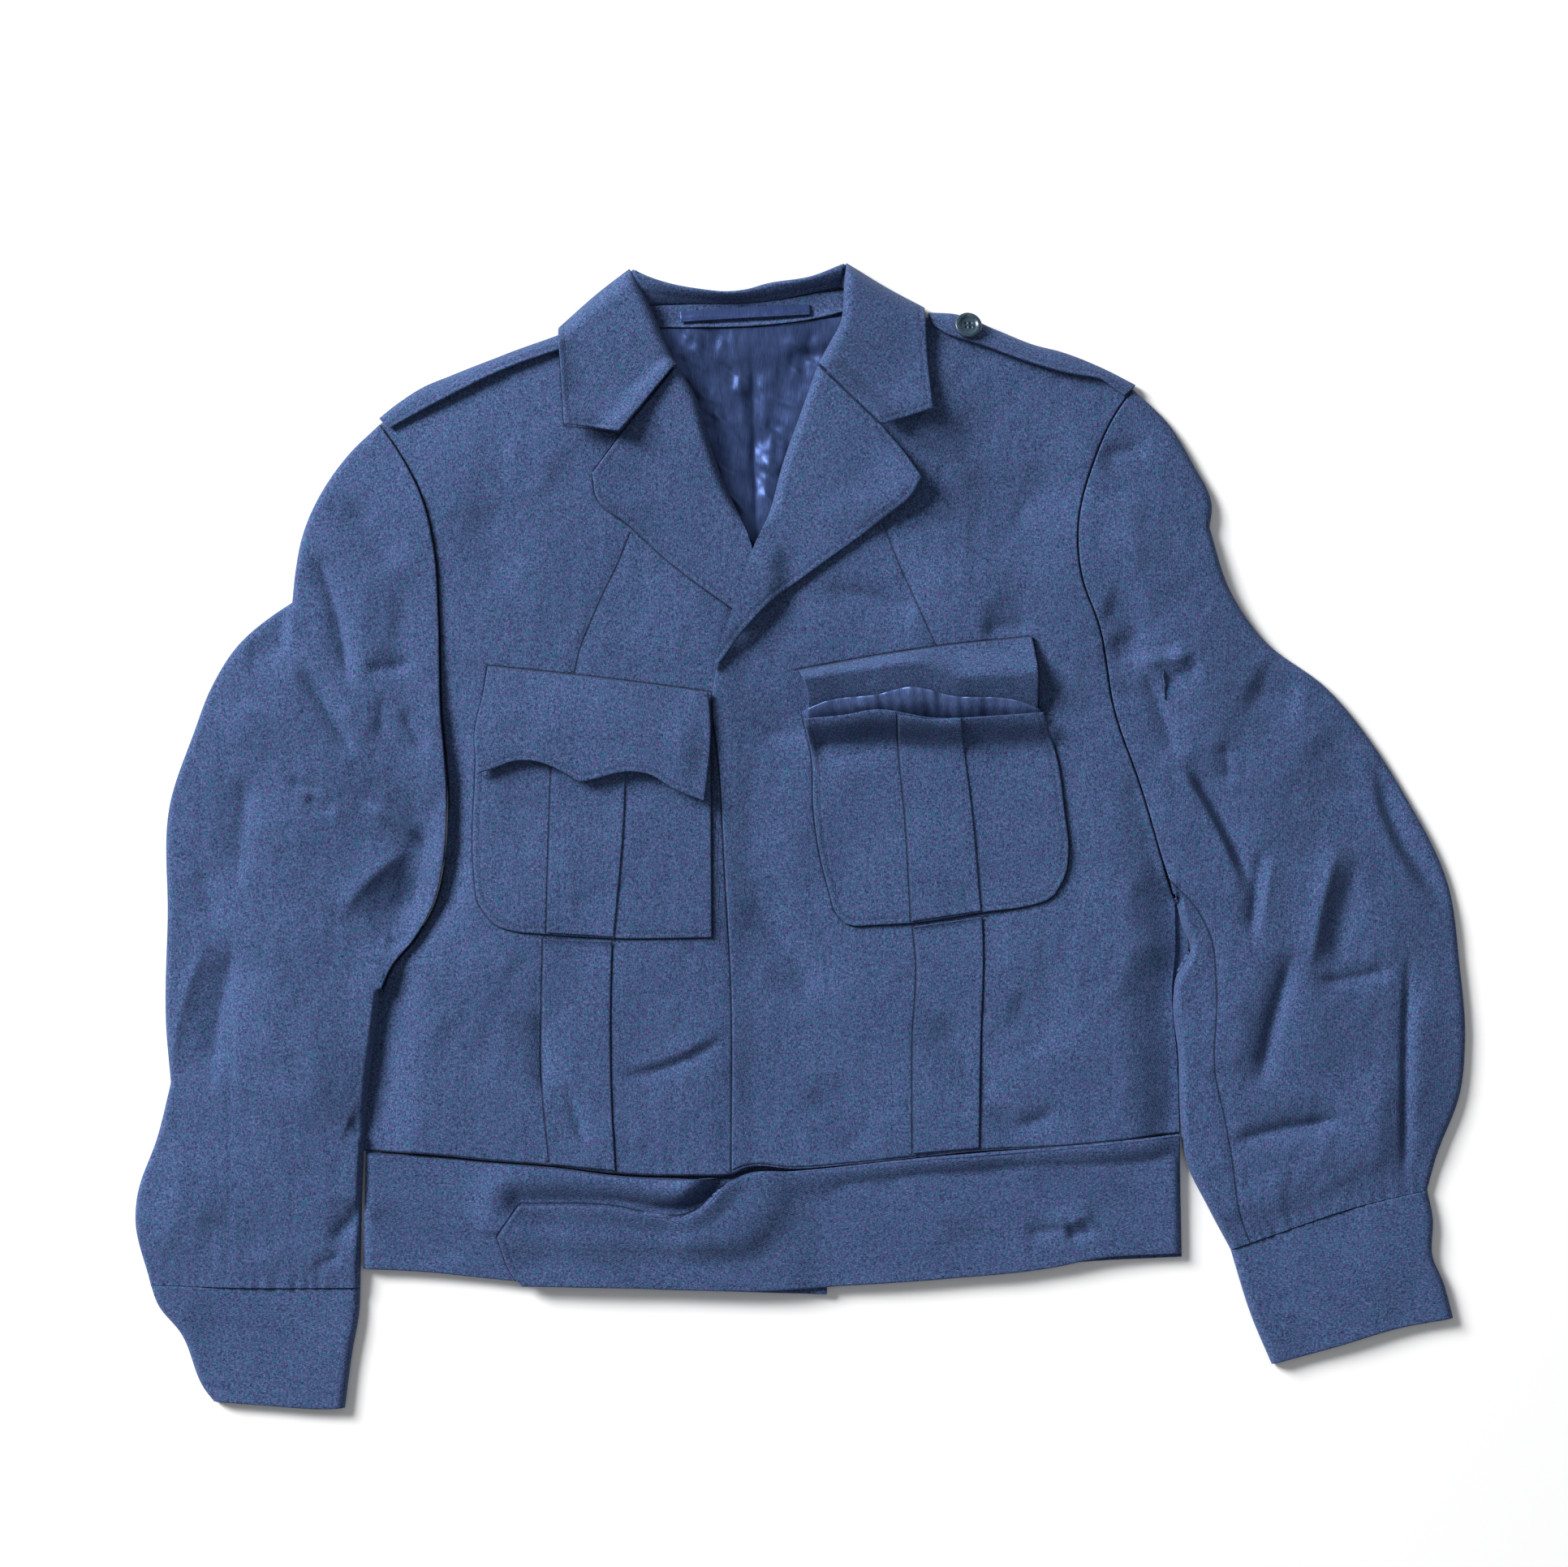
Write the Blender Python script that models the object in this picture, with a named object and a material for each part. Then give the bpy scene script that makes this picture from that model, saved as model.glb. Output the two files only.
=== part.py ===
"""Waist-length battledress blouse of wool serge, laid flat on its back, as closed cloth solids.

The script works in millimetres and writes metres. X runs across the chest (the wearer's left is +X),
Y runs from hem to neck, and Z is up from the surface it lies on. Each piece is a wall of cloth: a
sheet between four edges, or a flattened tube between two edges for a sleeve or cuff.
"""
from collections import namedtuple
from math import cos, pi, radians, sin

import bpy
import numpy as np
from mathutils import Vector
from mathutils.bvhtree import BVHTree

MM = 0.001

# Driving sizes, in millimetres
CLOTH = 1.6            # one layer of serge
DOUBLE = 2.6           # two layers: collar, lapels, flaps, straps and bands
SATIN = 1.0            # lining with its own folds
GAP = 0.5              # clear space between layers that lie on each other
SEAM = 0.3             # clear space between pieces that meet edge to edge
BACK_LIFT = 2.4        # how far the back stands over the collar fall beneath it
BODY_HEIGHT = 9.5      # top of the fronts where nothing lies under them
BAND_HEIGHT = 7.6      # top of the waistband and cuffs
SHOULDER_ROUND = 17.0  # how far in from the outline the shoulders and sleeves round down
SIDE_ROUND = 8.0       # the same at the sides of the body and along the inner sleeve
BAND_ROUND = 5.0       # the same at the ends of bands and cuffs
TUBE_ROUND = 2.6       # lower edge of a sleeve or cuff, where it turns onto the surface
ROLL_ROUND = 6.0       # how far in from the roll line collar and lapel turn down
ROLL_DEPTH = 8.0       # how far they turn down there
STAND_HEIGHT = 15.0    # top of the collar behind the neck
UNDER_FALL = 34.0      # depth of the collar fall that lies under the back
BUTTON_RADIUS = 8.5
BUTTON_THICK = 3.2
BREAK_Y = 184.0        # where the roll line ends and the fronts cross
STRAP_LIFT = 3.5       # how far the free edge of a shoulder strap stands off the shoulder
SLANT = 1.12           # how much more height a slanting wall takes than a flat one
NECK_SLOPE = 16.0      # length over which the back comes down from the collar beneath it
TUCK_DEPTH = 2.2       # how far the right front dips where it goes under the left one
TUCK_WIDTH = 20.0      # how far in from its edge that dip starts
GATHER = 26.0          # length over which a sleeve draws in to its cuff
BREAK_LENGTH = 25.0    # length over which a lapel's roll flattens out above the break
FALL_ROUND = 12.0      # how far in from the outline the collar's fall turns down
FALL_FLOOR = 0.4       # lowest point of the fall where it meets the surface
HOVER = 1.2            # how far the fall stands clear of the front and the strap
FLAP_STAND = 2.5       # how far the right pocket flap stands off its pocket
FLAP_FLARE = 3.0       # how much more its loose corner does
FLAP_RIDGE = 3.5       # height of the left flap's bend before it goes into the pocket
MOUTH_BULGE = 2.2      # height of the lining's swell in the open pocket
MOUTH_PUCKER = 0.7     # height of its puckers
GAPE = 4.0             # how far the open pocket's rim stands up
LINING_LIFT = 2.2      # how loosely the lining lies on the back
TAPE_ARCH = 1.6        # how far the hanger tape bows up between its ends

Fold = namedtuple("Fold", "x0 y0 x1 y1 bend half rise lean")
Dome = namedtuple("Dome", "x y spread_x spread_y rise")
Material = namedtuple("Material", "name color roughness")

SERGE = Material("serge", (0.045, 0.075, 0.165, 1), 0.92)
LINING = Material("satin", (0.018, 0.022, 0.07, 1), 0.42)
TAPE = Material("tape", (0.03, 0.035, 0.13, 1), 0.45)
PLASTIC = Material("button_plastic", (0.02, 0.035, 0.06, 1), 0.3)

# Outline and seams, rows of x, y; a third value of 1 marks a corner.
# Names say the wearer's side: right is -X, left is +X.
SHOULDER_RIGHT = [
    (-259.5, 254), (-247, 264), (-231.5, 274), (-213.5, 281.5), (-192, 290), (-169, 298.5),
    (-148, 306), (-125.5, 316), (-105, 326),
]
SHOULDER_LEFT = [
    (205.5, 275.5), (186, 285.5), (161, 295.5), (143.5, 300), (119.5, 309.5), (96, 318.5),
    (76.5, 320), (54.5, 326), (32, 332),
]
ARMHOLE_RIGHT = [
    (-259.5, 254), (-248, 237.5), (-233, 209), (-225, 175), (-222.5, 135), (-221.5, 82.5),
    (-217.5, 23.5), (-219.5, -15), (-226, -42.5), (-238, -64), (-251, -80), (-259, -97.5),
]
ARMHOLE_LEFT = [
    (205.5, 275.5), (194, 259), (180.5, 229), (171.5, 193.5), (173, 161.5), (184.5, 128),
    (194, 75), (209.5, 31), (227, -27), (232, -41),
]
SIDE_RIGHT = [
    (-259, -97.5), (-262.5, -130), (-266.5, -168), (-268, -194.5),
]
SIDE_LEFT = [
    (232, -41), (235, -55.5), (237.5, -68.5), (235, -78.5), (232, -86.5), (230, -99), (233, -135),
    (234, -183.5),
]
WAIST_RIGHT = [
    (-268, -194.5), (-226, -196.5), (-192.5, -200), (-150, -203.5), (-114.5, -208), (-63, -209.5),
    (-43, -209), (-21.5, -203.5),
]
WAIST_LEFT = [
    (-42, -206.5), (-34, -203.5), (-3, -204.5), (30, -202), (73, -197.5), (107.5, -194),
    (159, -191.5), (234, -183.5),
]
WAIST_BACK = [
    (-268, -194.5), (-193, -199), (-103, -203), (-3, -203), (107, -195), (234, -183.5),
]
OPENING_RIGHT = [
    (-105, 326), (-93, 305), (-80, 284), (-69.5, 265), (-63, 245), (-52.5, 215), (-37.5, 183),
    (-28, 160), (-24, 115), (-24, 15), (-21.5, -203.5),
]
OPENING_LEFT = [
    (32, 332), (31, 310), (24, 297), (17, 287), (8.5, 263), (-4, 228), (-14, 193), (-24, 168),
    (-35, 145), (-51, 106), (-54, 85), (-50, 45), (-45.5, -33), (-42.5, -85), (-42, -207),
]
SLEEVE_OUT_RIGHT = [
    (-259.5, 254), (-279, 235), (-307.5, 184), (-311.5, 163), (-313.5, 144, 1), (-323.5, 137.5),
    (-347.5, 117), (-363.5, 91.5), (-374.5, 63), (-389, 20), (-390.5, -50), (-391.5, -117.5),
    (-388.5, -152.5, 1), (-396.5, -185), (-409.5, -223.5), (-410.5, -235), (-401, -277),
]
SLEEVE_OUT_LEFT = [
    (205.5, 275.5), (226, 255.5), (242, 230), (254, 203), (252.5, 190.5, 1), (265, 152),
    (285, 122), (325.5, 90.5), (351.5, 59), (372.5, 26), (400, -30.5), (407, -79.5), (410.5, -124),
    (407.5, -158), (392.5, -198.5), (387, -218.5),
]
SLEEVE_IN_RIGHT = [
    (-259, -97.5), (-263, -130), (-267.5, -168.5), (-270, -216), (-271.5, -278.5),
]
SLEEVE_IN_LEFT = [
    (232, -41), (235, -55.5), (237.5, -68.5), (235, -78.5), (232, -86.5), (230, -99), (233, -135),
    (234.5, -175), (237, -197.5), (252, -230), (265.5, -255),
]
CUFF_SEAM_RIGHT = [
    (-401, -277), (-347.5, -278.5), (-271.5, -278.5),
]
CUFF_SEAM_LEFT = [
    (387, -218.5), (343.5, -228.5), (294, -245), (265.5, -255),
]
CUFF_OUT_RIGHT = [
    (-401, -277), (-397, -288.5), (-382, -307.5), (-367.5, -342), (-362, -349),
]
CUFF_IN_RIGHT = [
    (-271.5, -278.5), (-272, -292), (-276.5, -319), (-281, -353),
]
CUFF_END_RIGHT = [
    (-362, -349), (-328, -351.5), (-294, -353.5), (-281, -353),
]
CUFF_OUT_LEFT = [
    (387, -218.5), (390.5, -235.5), (390.5, -260), (397, -275.5), (403, -297.5),
]
CUFF_IN_LEFT = [
    (265.5, -255), (278.5, -296.5), (291, -326),
]
CUFF_END_LEFT = [
    (403, -297.5), (368, -304), (331, -315), (291, -326),
]

# Largest folds of the body and sleeves: ends, bend to the left, half width, rise and lean
BODY_FOLDS = [
    Fold(114.5, -157.5, 161, -161, -20, 9, -2.2, 0),
    Fold(-146.5, -151.5, -134, -196, 2, 7, -1.8, 0),
    Fold(-114.5, -149, -43, -121, 8, 9, 1.8, 0),
    Fold(-159, -105, -157, -165, 3, 8, 1.6, 0),
    Fold(7, 152.5, 77, 137.5, 4, 11, -1.6, 0),
    Fold(5.5, 62.5, 122, 52.5, 3, 9, -2, 0),
    Fold(-213, 65, -215, -50, 0, 9, -2.2, 0),
    Fold(204.5, 50, 230, -75, -3, 8, -2, 0),
    Fold(-265.5, -205, -258, -135, 2, 14, -1.2, 0),
]
SLEEVE_FOLDS = [
    Fold(-302.5, 168, -279, 88.5, 10, 9, -3.6, 0.3),
    Fold(-312, 144, -314.5, 90, -3, 8, 3.2, 0),
    Fold(-309, 101, -274, 48.5, 3, 9, -2.2, 0),
    Fold(-272, 103, -233, 109, -2, 8, -2, 0),
    Fold(-244.5, 71, -230.5, 52, 0, 8, -1.6, 0),
    Fold(-304.5, 21.5, -237.5, -2, 6, 9, 2.4, 0),
    Fold(-236, -5, -280.5, -50, -6, 11, 3.6, -0.3),
    Fold(-233, -35, -258, -72.5, 2, 11, -2.8, 0),
    Fold(-341, 45, -348.5, -35, 4, 10, 2, 0),
    Fold(-362, -65, -387, -150, -9, 8, -4.4, 0.3),
    Fold(-352, -80, -375.5, -157.5, -8, 12, 2.6, 0),
    Fold(-371.5, -21.5, -362, -55, 2, 10, -1.8, 0),
    Fold(-299.5, -266, -272, -222.5, -4, 9, -2, 0),
    Fold(-258, 81, -257, 45, 0, 8, -1.4, 0),
    Fold(197.5, 134.5, 238.5, 112, 10, 9, -2.4, 0),
    Fold(194, 109, 238, 113.5, -3, 9, 2, 0),
    Fold(223.5, 94, 248, 104, 2, 7, -1.6, 0),
    Fold(208, 104.5, 231, 42.5, 6, 9, 2.2, 0),
    Fold(227, 50, 262, -7.5, 4, 9, 2.2, 0),
    Fold(244.5, 22.5, 272.5, -36.5, 6, 8, -4.2, -0.3),
    Fold(294.5, 5, 277, -67.5, 5, 11, 2.4, 0),
    Fold(274.5, 65, 263, 10, 2, 14, 1.8, 0),
    Fold(343, 10, 314, -85, 6, 13, -1.8, 0),
    Fold(352.5, 52.5, 402, -49, 14, 12, 2.4, 0),
    Fold(328, -24, 281, -160, -14, 11, 2.6, 0),
    Fold(315, -88, 368, -76, -2, 10, -1.6, 0),
    Fold(262.5, -191.5, 341, -175, 4, 9, -2.6, 0),
    Fold(372.5, -69, 370.5, -222, -4, 7, -3.6, -0.3),
    Fold(386, -75, 379.5, -205, -8, 12, 2.6, 0),
    Fold(232, -45, 238, -85, 0, 8, -4.5, 0),
]
BODY_DOMES = [
    Dome(-173, 235, 110, 80, 4.5),
    Dome(122, 235, 110, 80, 4.5),
    Dome(-38, 305, 110, 80, 6.5),
    Dome(-113, 135, 120, 90, 1.5),
    Dome(72, 135, 120, 90, 1.5),
    Dome(-308, 115, 60, 120, 4),
    Dome(287, 95, 80, 120, 4.5),
    Dome(-328, -110, 60, 130, 3),
    Dome(332, -85, 80, 120, 4.5),
]
BAND_FOLDS = [
    Fold(-266, -227.5, -206, -261, -4, 8, -1.4, 0),
    Fold(152, -243, 182, -235, 3, 7, 1.6, 0),
    Fold(162, -233, 170, -250, 0, 6, -1.4, 0),
    Fold(138.5, -245.5, 166, -240.5, 0, 6, -1.2, 0),
]

# Collar, lapels and what shows inside the neck
FALL_OUT_RIGHT = [
    (-149, 313.5), (-147, 288.5), (-144.5, 252),
]
FALL_ROLL_RIGHT = [
    (-105.5, 350), (-93, 327.5), (-83, 305), (-76, 290),
]
FALL_TOP_RIGHT = [
    (-149, 313.5), (-125.5, 334.5), (-105.5, 350),
]
FALL_LOW_RIGHT = [
    (-144.5, 252), (-125.5, 250), (-110.5, 247.5, 1), (-76, 290),
]
FALL_OUT_LEFT = [
    (76.5, 326), (78, 295), (81.5, 262),
]
FALL_ROLL_LEFT = [
    (28.5, 353.5), (27, 340), (24.5, 315), (18, 302.5), (11, 290),
]
FALL_TOP_LEFT = [
    (76.5, 326), (53, 338.5), (28.5, 353.5),
]
FALL_LOW_LEFT = [
    (81.5, 262), (64.5, 256.5), (50.5, 252, 1), (11, 290),
]
LAPEL_ROLL_RIGHT = [
    (-75.5, 289), (-64, 270), (-58, 250), (-48, 220), (-33, 187.5), (-26, 165),
]
LAPEL_TOP_RIGHT = [
    (-127.5, 222.5), (-110, 246.5, 1), (-75.5, 289),
]
LAPEL_OUT_RIGHT = [
    (-127.5, 222.5), (-125, 208), (-104.5, 190.5), (-78, 166.5), (-37, 136.5),
]
LAPEL_END_RIGHT = [
    (-37, 136.5), (-26, 165),
]
LAPEL_ROLL_LEFT = [
    (10.5, 289), (2, 265), (-10.5, 230), (-20.5, 195), (-28, 179), (-39.5, 145), (-54.5, 104),
]
LAPEL_TOP_LEFT = [
    (74.5, 220), (62, 237.5), (50.5, 251, 1), (10.5, 289),
]
LAPEL_OUT_LEFT = [
    (74.5, 220), (69, 210), (50, 194), (8.5, 163.5), (-22, 140), (-35.5, 125), (-49.5, 106),
]
LAPEL_END_LEFT = [
    (-49.5, 106), (-54.5, 104),
]
NECK_ROLL = [
    (-103, 349), (-93, 344.5), (-61.5, 337), (-46, 335.5), (-32.5, 337), (-22, 340), (7, 345),
    (26.5, 352.5),
]
NECK_SEAM = [
    (-91, 328), (-63, 328), (-22, 329.5), (24, 338.5),
]
FACING_LOW = [
    (-85, 314), (-63, 313), (-28, 314), (7, 318), (24, 323),
]
LINING_TOP = [
    (-98, 312.5), (-63, 312.5), (-28, 313.5), (7, 317.5), (37, 321.5),
]
LINING_LOW = [
    (-50.5, 165), (-13, 165),
]
LINING_RIGHT = [
    (-98, 312.5), (-87, 290), (-75, 255), (-63, 215), (-50.5, 165),
]
LINING_LEFT = [
    (37, 321.5), (27, 290), (18, 255), (2, 215), (-13, 165),
]
LINING_FOLDS = [
    Fold(-30, 313, -26.5, 170, 0, 4, -1.8, 0.5),
    Fold(-23, 313, -20.5, 170, 0, 7, 1.2, 0),
    Fold(-68, 305, -40.5, 255, 4, 7, 1.2, 0),
    Fold(-59, 242.5, -30.5, 210, -3, 7, 1.3, 0),
    Fold(12, 295, -18, 215, 2, 6, 1.4, 0),
    Fold(-0.5, 300, -23, 235, -3, 6, -1.2, 0),
]
TAPE_TOP = [
    (-74, 323), (-43, 325.5), (6, 327.5),
]
TAPE_LOW = [
    (-74, 316.5), (-43, 318.5), (6, 321),
]

# Right pocket, closed by its scalloped flap
POCKET_RIGHT_TOP = [
    (-193, 87), (-143, 82), (-56, 71),
]
POCKET_RIGHT_OUT = [
    (-193, 87), (-199.5, 55), (-200, -25), (-191, -51.5),
]
POCKET_RIGHT_IN = [
    (-56, 71), (-55, 15), (-54.5, -62.5),
]
POCKET_RIGHT_LOW = [
    (-191, -51.5), (-179, -58), (-157, -60.5), (-114.5, -63), (-54.5, -62.5),
]
PLEAT_RIGHT_TOP = [
    (-151, 79), (-107, 73),
]
PLEAT_RIGHT_OUT = [
    (-151, 79), (-153, 37.5), (-156, -59.5),
]
PLEAT_RIGHT_IN = [
    (-107, 73), (-109, 5), (-115, -62),
]
PLEAT_RIGHT_LOW = [
    (-156, -59.5), (-115, -62),
]
FLAP_RIGHT_TOP = [
    (-192, 104.5), (-139.5, 99), (-98, 94), (-56.5, 88.5),
]
FLAP_RIGHT_OUT = [
    (-192, 104.5), (-194.5, 89), (-200, 61.5), (-198, 38.5),
]
FLAP_RIGHT_IN = [
    (-56.5, 88.5), (-55, 69), (-57, 36), (-59, 21.5),
]
FLAP_RIGHT_LOW = [
    (-198, 38.5), (-188, 41.5), (-175, 46), (-163.5, 46), (-144, 38.5), (-135, 33.5), (-126, 35),
    (-105, 39.5), (-93.5, 38), (-77.5, 29), (-59, 21.5),
]
TUCK_RIGHT_OUT = [
    (-158, -63.5), (-159, -105), (-159.5, -140), (-154, -202),
]
TUCK_RIGHT_IN = [
    (-116, -65), (-117, -105), (-116.5, -160), (-114, -206),
]

# Left pocket, open, with its flap tucked in
FLAP_LEFT_TOP = [
    (-1.5, 102), (48.5, 111), (85.5, 116.5), (142.5, 122.5),
]
FLAP_LEFT_LOW = [
    (5, 71), (67, 73), (146, 72),
]
FLAP_LEFT_IN = [
    (-1.5, 102), (2, 96), (5, 71),
]
FLAP_LEFT_OUT = [
    (142.5, 122.5), (145, 107.5), (146, 72),
]
MOUTH_TOP = [
    (1, 76.5), (15, 82.5), (47.5, 87), (67, 91.5), (93.5, 86), (133.5, 83), (147.5, 77.5),
]
MOUTH_LOW = [
    (7, 68), (44.5, 70), (81.5, 66), (122.5, 67), (147.5, 70),
]
POCKET_LEFT_TOP = [
    (2, 72), (28, 74.5), (44.5, 77.5), (81.5, 72.5), (122.5, 74), (149, 76),
]
POCKET_LEFT_IN = [
    (2, 72), (7, 50), (8.5, 15), (13, -15), (28, -54),
]
POCKET_LEFT_OUT = [
    (149, 76), (158.5, 45), (162.5, 15), (165, -10), (157, -35.5),
]
POCKET_LEFT_LOW = [
    (28, -54), (42, -55), (69.5, -53.5), (112, -47), (144.5, -42), (157, -35.5),
]
PLEAT_LEFT_TOP = [
    (60, 70), (98, 69),
]
PLEAT_LEFT_IN = [
    (60, 70), (61, 50), (64.5, 15), (68.5, -52.5),
]
PLEAT_LEFT_OUT = [
    (98, 69), (101, 50), (105.5, 15), (111, -46),
]
PLEAT_LEFT_LOW = [
    (68.5, -52.5), (111, -46),
]
TUCK_LEFT_IN = [
    (69.5, -56), (71.5, -75), (69.5, -126.5), (69.5, -195.5),
]
TUCK_LEFT_OUT = [
    (112, -50), (112.5, -75), (111, -126.5), (110, -192),
]

# Waistband and straps
BAND_RIGHT_TOP = [
    (-268, -195.5), (-226, -197.5), (-192.5, -201), (-150, -204.5), (-114.5, -209), (-44, -211),
    (16.5, -210),
]
BAND_RIGHT_LOW = [
    (-269.5, -267), (-237, -268.5), (-176, -274.5), (-92, -279.5), (-25, -281.5), (16.5, -283),
]
BAND_RIGHT_SIDE = [
    (-268, -195.5), (-269.5, -267),
]
BAND_RIGHT_END = [
    (16.5, -210), (16.5, -283),
]
BAND_LEFT_TOP = [
    (-173, -227.5), (-111.5, -229.5), (-87.5, -234.5), (-71.5, -234.5), (-60.5, -229.5),
    (-44, -213.5), (-34, -208.5), (-3, -207), (73, -200), (159, -193.5), (234, -185.5),
]
BAND_LEFT_LOW = [
    (-171.5, -277.5), (-92, -279), (-25, -280.5), (17, -278), (90.5, -273), (159, -265.5),
    (180, -261), (235, -257.5),
]
BAND_LEFT_TIP = [
    (-173, -227.5), (-186.5, -247, 1), (-177, -271), (-171.5, -277.5),
]
BAND_LEFT_SIDE = [
    (234, -184.5), (235, -257.5),
]
BAND_BACK_LOW = [
    (-269.5, -266.5), (-193, -271), (-93, -276), (7, -277), (107, -271), (177, -263),
    (235.5, -260),
]
STRAP_RIGHT_EDGE = [
    (-252, 251), (-213, 271.5), (-183, 286), (-163, 293.5), (-141, 301),
]
STRAP_RIGHT_ENDS = [
    (-258, 255.5), (-141, 309),
]
STRAP_LEFT_EDGE = [
    (82.5, 313), (88.5, 309), (109.5, 302), (146.5, 289), (168.5, 283.5), (184.5, 281), (199, 271),
]
STRAP_LEFT_ENDS = [
    (78.5, 320), (204.5, 276.5),
]
BUTTON_PLACE = (103, 313.5)


# Curves and patches in plan

def smooth(rows):
    """Closely spaced points of a curve through the rows, which bends sharply only at marked corners."""
    if isinstance(rows, np.ndarray):
        return rows
    corners = [i for i, row in enumerate(rows) if len(row) > 2]
    ends = [0] + corners + [len(rows) - 1]
    stretches = [spline(np.array([row[:2] for row in rows[a:b + 1]])) for a, b in zip(ends, ends[1:])]
    return np.vstack([stretches[0]] + [stretch[1:] for stretch in stretches[1:]])


def spline(knots):
    """Cubic through the knots whose slope at each one is its neighbours' mean, weighted by distance."""
    gaps = np.linalg.norm(np.diff(knots, axis=0), axis=1)
    slopes = np.diff(knots, axis=0) / gaps[:, None]
    tangents = np.vstack([slopes[:1], slopes[-1:]])
    if len(knots) > 2:
        before, after = gaps[:-1, None], gaps[1:, None]
        inner = (slopes[:-1] * after + slopes[1:] * before) / (before + after)
        tangents = np.vstack([slopes[:1], inner, slopes[-1:]])
    t = np.linspace(0, 1, 9)[:-1, None]
    pieces = []
    for a, b, ta, tb, gap in zip(knots, knots[1:], tangents, tangents[1:], gaps):
        pieces.append((2 * t ** 3 - 3 * t ** 2 + 1) * a + (t ** 3 - 2 * t ** 2 + t) * gap * ta
                      + (3 * t ** 2 - 2 * t ** 3) * b + (t ** 3 - t ** 2) * gap * tb)
    return np.vstack(pieces + [knots[-1:]])


def along(rows, fractions):
    """Points at the given fractions of a curve's length."""
    points = smooth(rows)
    reach = np.r_[0, np.cumsum(np.linalg.norm(np.diff(points, axis=0), axis=1))]
    at = np.asarray(fractions) * reach[-1]
    return np.column_stack([np.interp(at, reach, points[:, 0]), np.interp(at, reach, points[:, 1])])


def moved(rows, distance):
    """The curve's points moved sideways, to the left of its direction where distance is positive."""
    points = smooth(rows)
    run = np.gradient(points, axis=0)
    run /= np.linalg.norm(run, axis=1)[:, None]
    return points + distance * np.column_stack([-run[:, 1], run[:, 0]])


def patch(top, bottom, left, right, us, vs, right_vs=None):
    """Plan points between four edges: each edge's pull less the corners' share, as a Coons patch."""
    upper, lower = along(top, us)[None], along(bottom, us)[None]
    first, last = along(left, vs)[:, None], along(right, vs if right_vs is None else right_vs)[:, None]
    u, v = np.asarray(us)[None, :, None], np.asarray(vs)[:, None, None]
    corners = ((1 - u) * (1 - v) * upper[:, :1] + u * (1 - v) * upper[:, -1:]
               + (1 - u) * v * lower[:, :1] + u * v * lower[:, -1:])
    return (1 - v) * upper + v * lower + (1 - u) * first + u * last - corners


def steps(count, start=0.0, end=0.0, turns=4):
    """Fractions from 0 to 1 with extra ones, spaced round a quarter turn, in the start and end shares."""
    turn = 1 - np.cos(np.linspace(0, pi / 2, turns + 1))[:-1]
    first = start * turn if start else np.zeros(0)
    last = (1 - end * turn)[::-1] if end else np.zeros(0)
    return np.r_[first, np.linspace(start, 1 - end, count + 1), last]


# Heights of the cloth over the plan

def nearest(points, curve):
    """Signed distance of each point from a curve, positive to its left, and how far along it that is."""
    flat = points.reshape(-1, 2)
    a, b = curve[:-1], curve[1:]
    run = b - a
    size = (run ** 2).sum(1)
    away = flat[:, None] - a[None]
    t = np.clip((away * run[None]).sum(2) / size, 0, 1)
    off = away - t[..., None] * run[None]
    gaps = np.sqrt((off ** 2).sum(2))
    pick = gaps.argmin(1)
    rows = np.arange(len(flat))
    side = run[pick, 0] * off[rows, pick, 1] - run[pick, 1] * off[rows, pick, 0]
    place = (pick + t[rows, pick]) / len(a)
    shape = points.shape[:-1]
    return (gaps[rows, pick] * np.sign(side)).reshape(shape), place.reshape(shape)


def away(points, rows):
    """Distance of each point from a curve."""
    return np.abs(nearest(points, smooth(rows))[0])


def ease(x):
    """0 below 0, 1 above 1, and a smooth rise between."""
    t = np.clip(x, 0, 1)
    return t * t * (3 - 2 * t)


def quarter(distance, radius):
    """Height of a quarter circle's arc, from 0 at the edge to 1 one radius in."""
    t = np.clip(distance / radius, 0, 1)
    return np.sqrt(1 - (1 - t) ** 2)


def folds(points, table):
    """Ridges and troughs: a bell across each bent line, fading at its ends, wider on one side by its lean."""
    total = np.zeros(points.shape[:-1])
    t = np.linspace(0, 1, 15)[:, None]
    for fold in table:
        a, b = np.array([fold.x0, fold.y0]), np.array([fold.x1, fold.y1])
        across = np.array([a[1] - b[1], b[0] - a[0]]) / np.linalg.norm(b - a)
        middle = (a + b) / 2 + 2 * fold.bend * across
        line = (1 - t) ** 2 * a + 2 * t * (1 - t) * middle + t ** 2 * b
        side, place = nearest(points, line)
        width = fold.half * (1 + fold.lean * np.sign(side))
        fade = ease(place / 0.3) * ease((1 - place) / 0.3)
        total += fold.rise * fade * np.exp(-(side / width) ** 2)
    return total


def domes(points, table):
    """Broad swellings: a bell round each centre."""
    total = np.zeros(points.shape[:-1])
    for dome in table:
        x, y = (points[..., 0] - dome.x) / dome.spread_x, (points[..., 1] - dome.y) / dome.spread_y
        total += dome.rise * np.exp(-(x * x + y * y))
    return total


def body_top(points):
    """Top of the fronts and sleeves before they round down at the outline."""
    return BODY_HEIGHT + domes(points, BODY_DOMES) + folds(points, BODY_FOLDS + SLEEVE_FOLDS)


def raised(points, heights):
    """Plan points with their heights."""
    return np.dstack([points, heights])


# Meshes

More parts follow.
